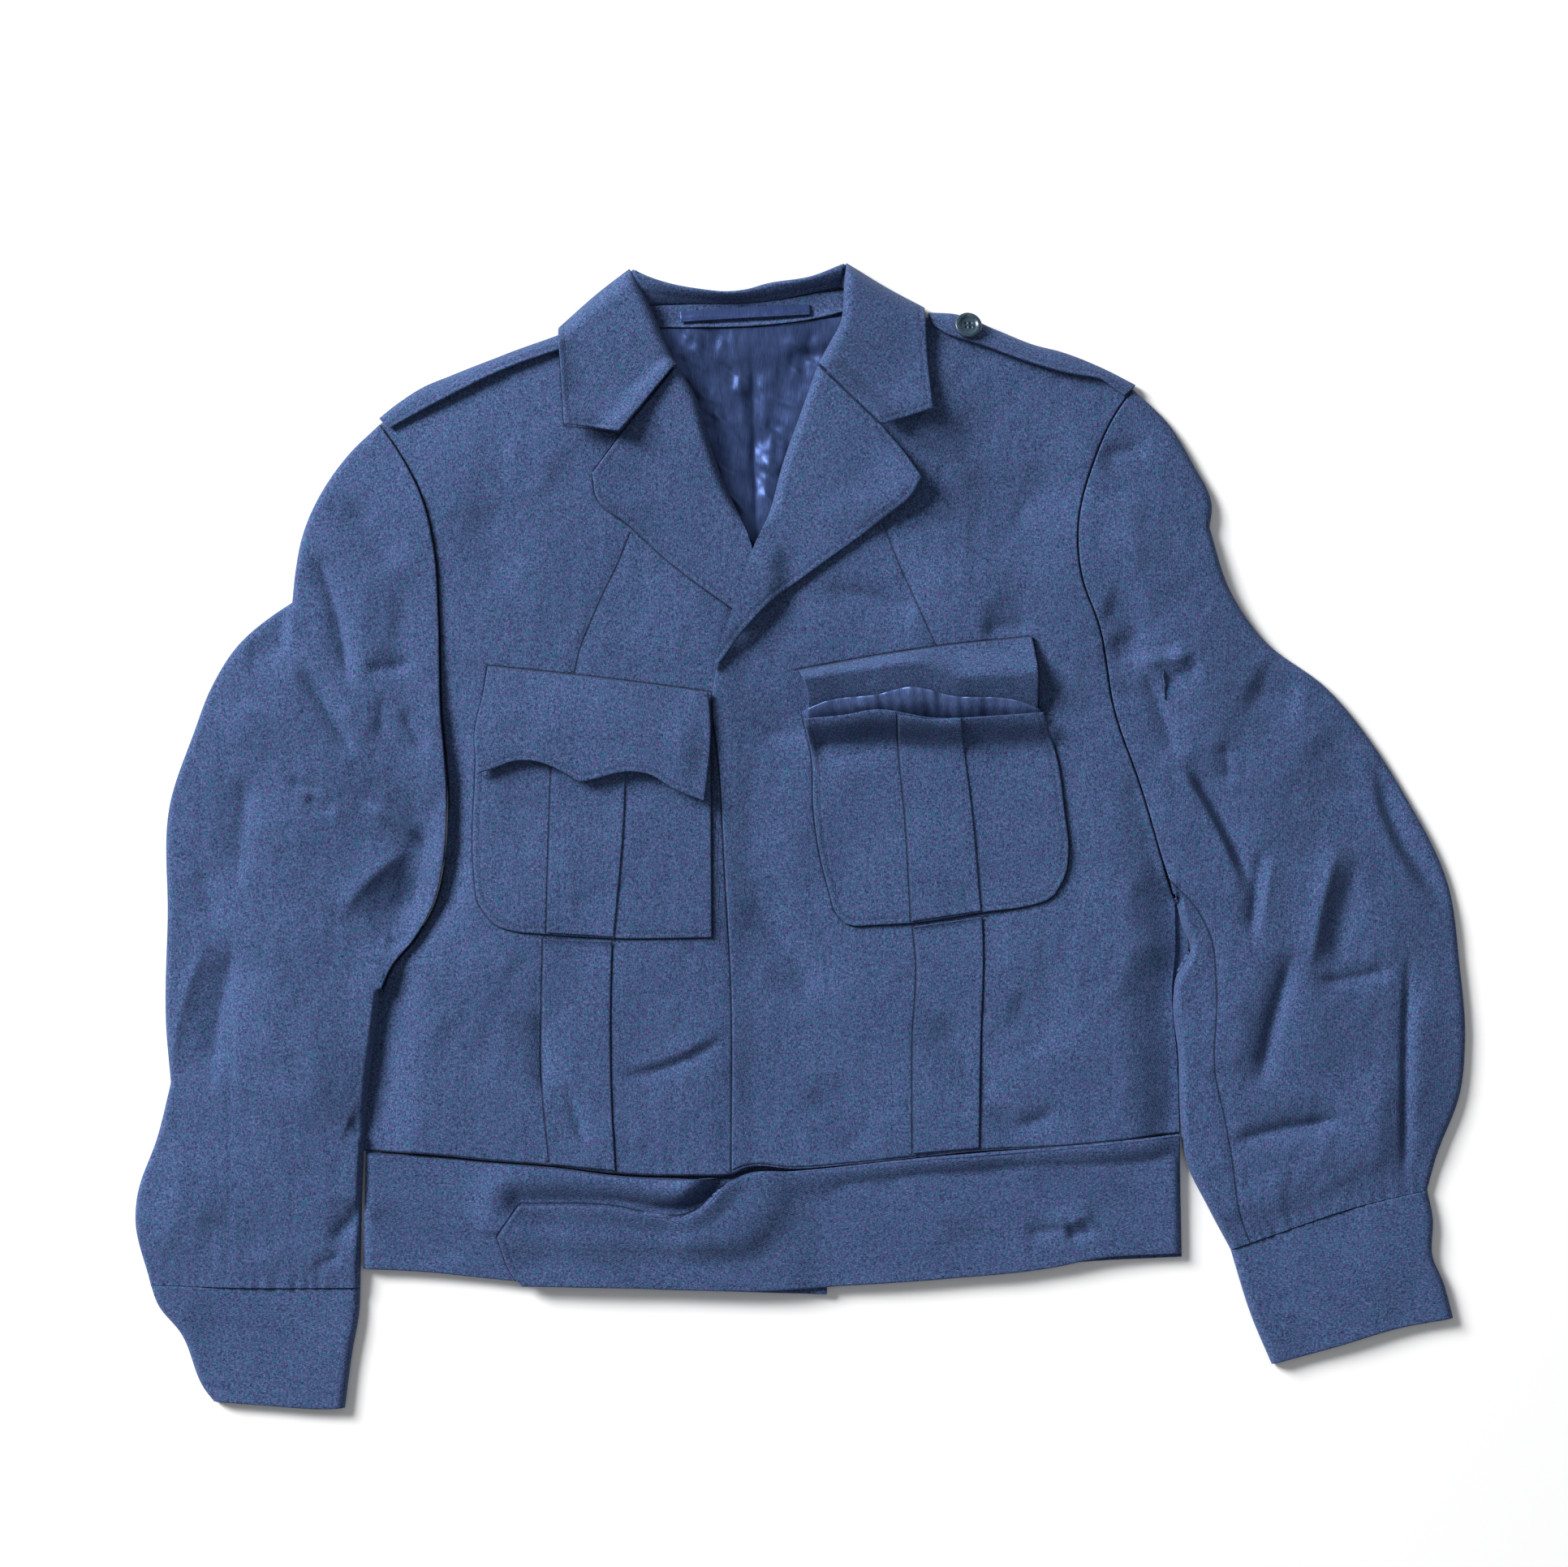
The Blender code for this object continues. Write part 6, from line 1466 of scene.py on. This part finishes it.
def make_button(centre, facing):
    """A four-hole button: a dished disc with a rounded rim and its four holes pressed in."""
    profile = np.array([(0, 2.0), (1.5, 1.95), (3.2, 1.95), (4.6, 2.05), (5.3, 2.6), (6.0, 3.1), (7.0, 3.2),
                        (7.8, 3.0), (8.3, 2.5), (8.5, 1.8), (8.3, 1.0), (7.6, 0.4), (6.0, 0.1), (0, 0)])
    reach = np.r_[0, np.cumsum(np.linalg.norm(np.diff(profile, axis=0), axis=1))]
    at = np.linspace(0, reach[-1], 72)[1:-1]
    radius, height = np.interp(at, reach, profile[:, 0]), np.interp(at, reach, profile[:, 1])
    angle = np.linspace(0, 2 * pi, 64, endpoint=False)
    x, y = radius[:, None] * np.cos(angle), radius[:, None] * np.sin(angle)
    z = height[:, None] + 0 * x
    for way in (pi / 4, 3 * pi / 4, 5 * pi / 4, 7 * pi / 4):
        gap = (x - 2.0 * cos(way)) ** 2 + (y - 2.0 * sin(way)) ** 2
        z = np.where(height[:, None] > 1.5, z - 1.3 * np.exp(-gap / 0.55), z)
    ring = np.stack([x, y, z], axis=-1).reshape(-1, 3)
    points = np.vstack([[(0, 0, 2.0)], ring, [(0, 0, 0)]])
    wrap = quads(len(radius), 64, closed=True) + 1
    ids = np.arange(64)
    after = np.roll(ids, -1)
    last = len(points) - 1
    caps = [(0, int(a) + 1, int(b) + 1) for a, b in zip(ids, after)]
    caps += [(last, last - 64 + int(b), last - 64 + int(a)) for a, b in zip(ids, after)]
    normal = np.asarray(facing)
    side = np.cross([0.0, 1.0, 0.0], normal)
    side /= np.linalg.norm(side)
    axes = np.stack([side, np.cross(normal, side), normal])
    placed = (points @ axes + centre) * MM
    mesh = bpy.data.meshes.new("button_left_face")
    mesh.from_pydata(placed.tolist(), [], wrap.tolist() + caps)
    mesh.shade_smooth()
    mesh.materials.append(plastic())
    piece = bpy.data.objects.new("button_left_face", mesh)
    bpy.context.scene.collection.objects.link(piece)
    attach(piece, "root")
    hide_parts("button_left")


def make_pocket_right():
    """The wearer's right pocket: its bag, its box pleat, its scalloped flap and the tuck below it."""
    cloth_now = serge()

    def soft(u, v, plan):
        return 0.5 * np.sin(pi * u) * np.sin(pi * v) + ripples(plan, 0.25, 51)

    def pleat(u, v, plan):
        return 0.1 + ripples(plan, 0.1, 52)

    # Painted shade: a dark line on the pocket beside the pleat's outer edge is painted contact shadow; the
    # dark lines along the pleat's and tuck's own outer edges and the flap's top edge are partly their seams
    # and partly painted shade.
    edges = (POCKET_RIGHT_TOP, POCKET_RIGHT_LOW, POCKET_RIGHT_OUT, POCKET_RIGHT_IN)
    laid("pocket_right", edges, CLOTH, soft, cloth_now, reach=3, gap=THIN_GAP,
         seams=[moved(PLEAT_RIGHT_OUT, -CONTACT_SHADOW_OFFSET)],
         stitches=[POCKET_RIGHT_OUT, POCKET_RIGHT_LOW])
    edges = (PLEAT_RIGHT_TOP, PLEAT_RIGHT_LOW, PLEAT_RIGHT_OUT, PLEAT_RIGHT_IN)
    laid("pocket_pleat_right", edges, THIN, pleat, cloth_now, reach=2,
         gap=THIN_GAP,
         seams=[PLEAT_RIGHT_OUT])

    def stand(u, v, plan):
        lower = ease((v - 0.1) / 0.5)
        pressed = 1 - FLAP_PRESSED * ease((u - 0.86) / 0.12) * (1 - v ** 4)
        return 0.3 + (FLAP_STAND + FLAP_FLARE * u ** 3) * lower * pressed + ripples(plan, 0.35, 53)

    edges = (FLAP_RIGHT_TOP, FLAP_RIGHT_LOW, FLAP_RIGHT_OUT, FLAP_RIGHT_IN)
    laid("flap_right", edges, DOUBLE, stand, cloth_now, reach=12, step=1.5, stitches=[FLAP_RIGHT_LOW],
         seams=[FLAP_RIGHT_TOP])
    ends = ([TUCK_RIGHT_OUT[0], TUCK_RIGHT_IN[0]], [TUCK_RIGHT_OUT[-1], TUCK_RIGHT_IN[-1]])
    laid("tuck_right", (*ends, TUCK_RIGHT_OUT, TUCK_RIGHT_IN), THIN, pleat, cloth_now, reach=2, gap=THIN_GAP,
         seams=[TUCK_RIGHT_OUT])


def make_pocket_left():
    """The wearer's left pocket, open: the flap goes down into its mouth, where the lining shows."""
    cloth_now = serge()

    def dip(u, v, plan):
        bend = BEND_AT + BEND_MORE * ease((u - 0.48) / 0.2)
        rise = 0.3 + (RIDGE_HIGH - 0.3) * ease(v / bend)
        fall = RIDGE_HIGH + BEND_CREST - (RIDGE_HIGH + RIDGE_LOW + BEND_CREST) * (v - bend) / (1 - bend)
        return np.where(v < bend, rise + BEND_CREST * (v / bend) ** 4, fall) + ripples(plan, 0.25, 61)

    # Painted shade: the dark line along the flap's top edge is partly its seam and partly painted shade.
    edges = (FLAP_LEFT_TOP, FLAP_LEFT_LOW, FLAP_LEFT_IN, FLAP_LEFT_OUT)
    laid("flap_left", edges, DOUBLE, dip, cloth_now, reach=4, seams=[FLAP_LEFT_TOP])

    def pucker(u, v, plan):
        bag = np.sin(pi * np.clip(u, 0.02, 0.98)) ** 0.5
        waves = np.sin(9 * pi * u + 2 * v) + 0.6 * np.sin(23 * pi * u - 3 * v) + 0.4 * np.sin(41 * pi * u + v)
        return 0.8 + bag * (MOUTH_BULGE * np.sin(pi * v) + MOUTH_PUCKER * waves * (1.15 - v))

    laid("pocket_lining_left", between(MOUTH_TOP, MOUTH_LOW), SATIN, pucker,
         satin("pocket_satin", *POCKET_SHADES, 0.4, 0.5), reach=2, step=0.9)

    def gape(u, v, plan):
        bow = np.sin(pi * np.clip(u, 0.06, 0.94)) ** 0.6
        lip = RIM_HIGH * ease(1 - v / RIM_SHARE) * bow
        across = (v - 0.13 - 0.03 * u) / (0.075 - 0.03 * u)
        trough = RIM_TROUGH * np.exp(-across ** 2) * ease(u / 0.06) * ease((0.62 - u) / 0.45)
        return 0.3 + lip - trough + ripples(plan, 0.25, 62)

    def pleat(u, v, plan):
        return 0.1 + ripples(plan, 0.1, 63)

    # Painted shade: a dark line on the pocket beside the pleat's inner edge is painted contact shadow; the
    # lines along the pleat's and tuck's own inner edges are partly their seams and partly painted shade.
    edges = (POCKET_LEFT_TOP, POCKET_LEFT_LOW, POCKET_LEFT_IN, POCKET_LEFT_OUT)
    laid("pocket_left", edges, CLOTH, gape, cloth_now, reach=9, gap=THIN_GAP,
         seams=[moved(PLEAT_LEFT_IN, -CONTACT_SHADOW_OFFSET)],
         stitches=[POCKET_LEFT_IN, POCKET_LEFT_LOW, POCKET_LEFT_OUT])
    edges = (PLEAT_LEFT_TOP, PLEAT_LEFT_LOW, PLEAT_LEFT_IN, PLEAT_LEFT_OUT)
    laid("pocket_pleat_left", edges, THIN, pleat, cloth_now, reach=2,
         gap=THIN_GAP,
         seams=[PLEAT_LEFT_IN])
    ends = ([TUCK_LEFT_IN[0], TUCK_LEFT_OUT[0]], [TUCK_LEFT_IN[-1], TUCK_LEFT_OUT[-1]])
    laid("tuck_left", (*ends, TUCK_LEFT_IN, TUCK_LEFT_OUT), THIN, pleat, cloth_now, reach=2, gap=THIN_GAP,
         seams=[TUCK_LEFT_IN])


def band_top(points, side):
    """Top of the waistband, turned down at its side."""
    low = DOUBLE + GAP
    full = BAND_HEIGHT + folds(points, BAND_FOLDS) + ripples(points, 0.4, 71)
    return low + (full - low) * quarter(away(points, side), BAND_ROUND)


def make_bands():
    """The waistband's two front pieces; the left one's pointed tab lies over the right one."""
    edges = (BAND_RIGHT_TOP, BAND_RIGHT_LOW, BAND_RIGHT_SIDE, BAND_RIGHT_END)
    plan = patch(*edges, fine(BAND_RIGHT_WIDE, spacing().piece_step), fine(BAND_DEEP, spacing().piece_step))
    tab_edge = smooth(BAND_LEFT_TOP[:6])
    deep = 0.55 + 0.9 * np.exp(-((plan[..., 0] + 65) / 40) ** 2)
    near = away(plan, tab_edge)
    crest = np.exp(-((near - 17) / 9.0) ** 2) * (plan[..., 1] > -245)
    dip = TAB_DIP * deep * (np.exp(-(near / 6.0) ** 2) - crest)
    dip += END_DIP * ease(1 - away(plan, BAND_RIGHT_END) / 40)
    heights = np.maximum(band_top(plan, BAND_RIGHT_SIDE) - dip, DOUBLE * 2 + 0.4)
    heights -= np.maximum(hemmed(plan, smooth(BAND_RIGHT_TOP)), hemmed(plan, smooth(BAND_RIGHT_LOW)))
    tip = smooth(BAND_LEFT_TIP)
    # Painted shadow: a dark line just above the tab's upper edge and beside its point is painted contact
    # shadow; the one along the band's top is partly its seam and partly painted shade.
    sheet("waistband_right", raised(plan, heights), DOUBLE, serge(90),
          seams=[moved(tab_edge, 0.8), moved(tip, -CONTACT_SHADOW_OFFSET), moved(BAND_RIGHT_TOP, -CONTACT_SHADOW_OFFSET)])
    edges = (BAND_LEFT_TOP, BAND_LEFT_LOW, BAND_LEFT_TIP, BAND_LEFT_SIDE)
    plan = patch(*edges, fine(BAND_LEFT_WIDE, spacing().piece_step), fine(BAND_DEEP, spacing().piece_step))
    cover = RELIEF.drape(plan, 10) + 0.4 + DOUBLE
    tab = TAB_CREST * ease(1 - away(plan, tab_edge) / 12)
    own = band_top(plan, BAND_LEFT_SIDE) + 1.2 * ease((230 - plan[..., 0]) / 80)
    heights = np.maximum(own, cover) + tab
    heights -= hemmed(plan, loop_of(edges))
    sheet("waistband_left", raised(plan, heights), DOUBLE, serge(90), stitches=[BAND_LEFT_TIP])


def fan(top, bottom, out, inner, us, vs):
    """Plan points of a sleeve: straight across, but for its ends' own curves, which soon fade; on the
    short inner edge the rows start close together."""
    across = np.asarray(us)[None, :, None]
    down = np.asarray(vs)[:, None, None]
    upper, lower = along(top, us)[None], along(bottom, us)[None]
    straight = (1 - across) * along(out, vs)[:, None] + across * along(inner, np.power(vs, 2.0))[:, None]
    return straight + (1 - down) ** 3 * (upper - straight[:1]) + down ** 3 * (lower - straight[-1:])


def tube_rings(plan, heights):
    """Rings of a flattened tube: over its top from its first edge to its last, and back along the surface."""
    turn = TUBE_ROUND * (1 - cos(pi / 4))
    reach = np.concatenate([np.zeros((len(plan), 1)),
                            np.cumsum(np.linalg.norm(np.diff(plan, axis=1), axis=2), axis=1)], axis=1)
    width = reach[:, -1]
    low = np.r_[turn, np.zeros(UNDER_COLUMNS - 2), turn]
    shares = np.linspace(1, 0, UNDER_COLUMNS - 2)
    at = np.column_stack([width - turn, TUBE_ROUND + shares[None] * (width - 2 * TUBE_ROUND)[:, None],
                          np.full(len(plan), turn)])
    under = np.stack([np.column_stack([np.interp(a, r, row[:, 0]), np.interp(a, r, row[:, 1]), low])
                      for a, r, row in zip(at, reach, plan)])
    return np.concatenate([raised(plan, heights), under], axis=1)


def make_sleeve(node, armhole, cuff_seam, out, inner, shoulder, side, seams, turn, step):
    """A sleeve, cut full, from its armhole seam to its cuff; side is 1 where its outer edge is at +X."""
    outline = outline_of(shoulder, out)
    sewn = moved(armhole, side * SEAM)
    edge = np.vstack([sewn[-1:], moved(inner, side * SEAM)[1:]])
    us, vs = (fine(size, spacing().panel_step) for size in SLEEVE_SIZE)
    plan = fan(sewn, cuff_seam, out, edge, us, vs)[:, ::-side]
    gathered = ease(1 - away(plan, cuff_seam) / GATHER)
    step = SLEEVE_STEP + step * np.exp(-((plan[..., 1] - DEEP_AT) / 80) ** 2)
    full = body_top(plan) + detail(plan) + step * ease(1 - away(plan, armhole) / SLEEVE_NEAR)
    full = full + (BAND_HEIGHT + 1 - full) * gathered
    full += puckers(plan, cuff_seam, 0.5, 8.0, 9.0)
    rounded = turned_over(plan, outline) * quarter(away(plan, inner), SLEEVE_IN_ROUND)
    heights = TUBE_ROUND + (full - TUBE_ROUND) * rounded
    heights -= hemmed(plan, sewn) * ease((heights - TUBE_ROUND) / 3)
    rings = tube_rings(plan, np.maximum(heights, TUBE_ROUND))
    tube(node, rings, CLOTH, serge(turn), seams=seams)


def make_sleeves():
    """Both sleeves."""
    make_sleeve("sleeve_right", ARMHOLE_RIGHT, CUFF_SEAM_RIGHT, SLEEVE_OUT_RIGHT, SLEEVE_IN_RIGHT,
                SHOULDER_RIGHT, -1, [], -12, 2.4)
    make_sleeve("sleeve_left", ARMHOLE_LEFT, CUFF_SEAM_LEFT, SLEEVE_OUT_LEFT, SLEEVE_IN_OPEN,
                SHOULDER_LEFT, 1, [SLEEVE_SEAMS[1].points], 18, 0.0)


def make_cuff(node, seam, end, out, inner, side, turn):
    """A plain cuff band, flattened."""
    start = moved(seam, side * 2 * SEAM)
    first, last = np.vstack([start[:1], smooth(out)[1:]]), np.vstack([start[-1:], smooth(inner)[1:]])
    us, vs = fine(CUFF_WIDE, spacing().piece_step), fine(BAND_DEEP, spacing().piece_step)
    plan = patch(start, end, first, last, us, vs)[:, ::-side]
    ends = quarter(np.minimum(away(plan, out), away(plan, inner)), BAND_ROUND)
    full = BAND_HEIGHT + folds(plan, BAND_FOLDS) + ripples(plan, 0.45, 81)
    heights = TUBE_ROUND + (full - TUBE_ROUND) * ends
    heights -= np.maximum(hemmed(plan, start), hemmed(plan, smooth(end))) * ease((heights - TUBE_ROUND) / 3)
    tube(node, tube_rings(plan, np.maximum(heights, TUBE_ROUND)), CLOTH, serge(turn))


def make_cuffs():
    """Both cuffs."""
    make_cuff("cuff_right", CUFF_SEAM_RIGHT, CUFF_END_RIGHT, CUFF_OUT_RIGHT, CUFF_IN_RIGHT, -1, 90)
    make_cuff("cuff_left", CUFF_SEAM_LEFT, CUFF_END_LEFT, CUFF_OUT_LEFT, CUFF_IN_LEFT, 1, 106)


# The stage, in metres; the camera's sensor in millimetres

FLOOR_SIDE = 6.0
FLOOR_LEVEL = -0.0003
PICTURE_SIDE = 0.966   # what the picture takes in, at the level of the cloth
PICTURE_CENTRE = (-0.010, 0.03225)
CLOTH_LEVEL = 0.008
SENSOR = 36


def make_stage():
    """A plain pale floor, a camera straight overhead and soft light from the collar's left."""
    scene = bpy.context.scene
    stage = scene.blouse_stage
    mesh = bpy.data.meshes.new("floor")
    corners = [(-1, -1), (1, -1), (1, 1), (-1, 1)]
    mesh.from_pydata([(x * FLOOR_SIDE, y * FLOOR_SIDE, FLOOR_LEVEL) for x, y in corners], [], [(0, 1, 2, 3)])
    paper = bpy.data.materials.new("floor_paper")
    paper.use_nodes = True
    shader = paper.node_tree.nodes["Principled BSDF"]
    shader.inputs["Base Color"].default_value = (0.9, 0.9, 0.9, 1)
    shader.inputs["Roughness"].default_value = 0.9
    shader.inputs["Specular IOR Level"].default_value = 0.1
    mesh.materials.append(paper)
    floor = bpy.data.objects.new("floor", mesh)
    scene.collection.objects.link(floor)

    camera = bpy.data.cameras.new("overhead")
    camera.sensor_width = SENSOR
    camera.lens = SENSOR * (stage.height - CLOTH_LEVEL) / PICTURE_SIDE
    camera.clip_end = 20
    eye = bpy.data.objects.new("overhead", camera)
    eye.location = (*PICTURE_CENTRE, stage.height)
    scene.collection.objects.link(eye)
    scene.camera = eye

    world = bpy.data.worlds.new("studio")
    world.use_nodes = True
    world.node_tree.nodes["Background"].inputs[0].default_value = (0.95, 0.97, 1.0, 1)
    world.node_tree.nodes["Background"].inputs[1].default_value = stage.ambient
    scene.world = world
    scene.view_settings.view_transform = "Standard"
    lamp("key", (-5.6, 3.9, 3.9), 3.0, stage.key)
    lamp("overhead_fill", (0.3, -0.2, 2.6), 2.4, stage.fill)


def lamp(name, place, size, power):
    """A square soft light that faces the middle of the floor."""
    light = bpy.data.lights.new(name, "AREA")
    light.size = size
    light.energy = power
    holder = bpy.data.objects.new(name, light)
    holder.location = place
    holder.rotation_euler = (-Vector(place)).to_track_quat("-Z", "Y").to_euler()
    bpy.context.scene.collection.objects.link(holder)


# The add-on: settings, operators and panel

class BlouseColors(bpy.types.PropertyGroup):
    """Colours of the heather wool's yarns."""
    base: FloatVectorProperty(name="Yarn", description="Main colour of the serge", subtype="COLOR",
                              default=(0.034, 0.062, 0.155), min=0, max=1)
    light: FloatVectorProperty(name="Light yarn", description="Lighter threads of the serge", subtype="COLOR",
                               default=(0.088, 0.14, 0.285), min=0, max=1)
    dark: FloatVectorProperty(name="Dark yarn", description="Darker threads of the serge", subtype="COLOR",
                              default=(0.01, 0.018, 0.055), min=0, max=1)
    purple: FloatVectorProperty(name="Purple fibre", description="Purple flecks in the serge",
                                subtype="COLOR",
                                default=(0.075, 0.045, 0.18), min=0, max=1)
    teal: FloatVectorProperty(name="Teal fibre", description="Teal flecks in the serge", subtype="COLOR",
                              default=(0.012, 0.1, 0.17), min=0, max=1)


class BlouseCloth(bpy.types.PropertyGroup):
    """How fine the cloth's meshes are."""
    panel_step: FloatProperty(name="Panel step",
                              description="Mesh spacing on fronts and sleeves, in millimetres",
                              default=2.1, min=1.5, max=20.0)
    piece_step: FloatProperty(name="Piece step", description="Mesh spacing on smaller pieces, in millimetres",
                              default=1.8, min=1.0, max=20.0)
    hidden_step: FloatProperty(name="Hidden step", description="Mesh spacing on the back, in millimetres",
                               default=6.0, min=2.0, max=40.0)
    seed: IntProperty(name="Seed", description="Start of the cloth's uneven waves", default=0, min=0)


class BlouseStage(bpy.types.PropertyGroup):
    """Camera height and lights."""
    height: FloatProperty(name="Camera height", description="Height of the overhead camera", default=2.6,
                          min=1.0, max=6.0, unit="LENGTH")
    ambient: FloatProperty(name="Ambient", description="Strength of the even white surroundings", default=0.2,
                           min=0.0, max=4.0)
    key: FloatProperty(name="Key light", description="Power of the low light beside the collar, in watts",
                       default=1260.0, min=0.0, max=2000.0)
    fill: FloatProperty(name="Overhead light", description="Power of the light above, in watts", default=8.0,
                        min=0.0, max=500.0)


class BLOUSE_OT_back(bpy.types.Operator):
    """Builds the back panel and the back of the waistband"""
    bl_idname = "blouse.back"
    bl_label = "Back"

    def execute(self, context):
        make_back()
        return {"FINISHED"}


class BLOUSE_OT_neck(bpy.types.Operator):
    """Builds the lining, the facing and the hanger tape that show inside the neck"""
    bl_idname = "blouse.neck"
    bl_label = "Inside of the neck"

    def execute(self, context):
        make_neck()
        return {"FINISHED"}


class BLOUSE_OT_fronts(bpy.types.Operator):
    """Builds both fronts with their lapels, the wearer's left one on top"""
    bl_idname = "blouse.fronts"
    bl_label = "Fronts and lapels"

    def execute(self, context):
        make_front_right()
        make_lapel_right()
        make_front_left()
        make_lapel_left()
        return {"FINISHED"}


class BLOUSE_OT_straps(bpy.types.Operator):
    """Builds the shoulder straps and the button that shows"""
    bl_idname = "blouse.straps"
    bl_label = "Shoulder straps"

    def execute(self, context):
        make_straps()
        return {"FINISHED"}


class BLOUSE_OT_collar(bpy.types.Operator):
    """Builds both sides of the collar's fall and the collar behind the neck"""
    bl_idname = "blouse.collar"
    bl_label = "Collar"

    def execute(self, context):
        make_falls()
        make_collar_back()
        return {"FINISHED"}


class BLOUSE_OT_pockets(bpy.types.Operator):
    """Builds both pockets with their pleats, flaps and tucks, the left one open"""
    bl_idname = "blouse.pockets"
    bl_label = "Pockets"

    def execute(self, context):
        make_pocket_right()
        make_pocket_left()
        return {"FINISHED"}


class BLOUSE_OT_waistband(bpy.types.Operator):
    """Builds the waistband's front pieces and their pointed tab"""
    bl_idname = "blouse.waistband"
    bl_label = "Waistband"

    def execute(self, context):
        make_bands()
        return {"FINISHED"}


class BLOUSE_OT_sleeves(bpy.types.Operator):
    """Builds both sleeves and their cuffs"""
    bl_idname = "blouse.sleeves"
    bl_label = "Sleeves and cuffs"

    def execute(self, context):
        make_sleeves()
        make_cuffs()
        return {"FINISHED"}


class BLOUSE_OT_stage(bpy.types.Operator):
    """Sets the floor, the camera and the lights"""
    bl_idname = "blouse.stage"
    bl_label = "Stage"

    def execute(self, context):
        make_stage()
        return {"FINISHED"}


OPERATORS = (BLOUSE_OT_back, BLOUSE_OT_neck, BLOUSE_OT_fronts, BLOUSE_OT_straps, BLOUSE_OT_collar,
             BLOUSE_OT_pockets, BLOUSE_OT_waistband, BLOUSE_OT_sleeves, BLOUSE_OT_stage)
SETTINGS = (("blouse_colors", BlouseColors), ("blouse_mesh", BlouseCloth), ("blouse_stage", BlouseStage))


class BLOUSE_PT_panel(bpy.types.Panel):
    """Lists the settings and the pieces"""
    bl_idname = "BLOUSE_PT_panel"
    bl_label = "Blouse"
    bl_space_type = "VIEW_3D"
    bl_region_type = "UI"
    bl_category = "Blouse"

    def draw(self, context):
        for name, group in SETTINGS:
            box = self.layout.box()
            for key in group.__annotations__:
                box.prop(getattr(context.scene, name), key)
        for step in OPERATORS:
            self.layout.operator(step.bl_idname)


def register():
    for kind in [group for _, group in SETTINGS] + list(OPERATORS) + [BLOUSE_PT_panel]:
        bpy.utils.register_class(kind)
    for name, group in SETTINGS:
        setattr(bpy.types.Scene, name, PointerProperty(type=group))


def unregister():
    for name, _ in SETTINGS:
        delattr(bpy.types.Scene, name)
    for kind in [BLOUSE_PT_panel] + list(OPERATORS) + [group for _, group in SETTINGS]:
        bpy.utils.unregister_class(kind)


def clear_defaults():
    """Removes the cube, lamp and camera that a new file starts with."""
    for name in ("Cube", "Light", "Camera"):
        if name in bpy.data.objects:
            bpy.data.objects.remove(bpy.data.objects[name], do_unlink=True)


def main():
    clear_defaults()
    register()
    bpy.ops.blouse.back()
    bpy.ops.blouse.neck()
    bpy.ops.blouse.fronts()
    bpy.ops.blouse.straps()
    bpy.ops.blouse.collar()
    bpy.ops.blouse.pockets()
    bpy.ops.blouse.waistband()
    bpy.ops.blouse.sleeves()
    bpy.ops.blouse.stage()


if __name__ == "__main__":
    main()
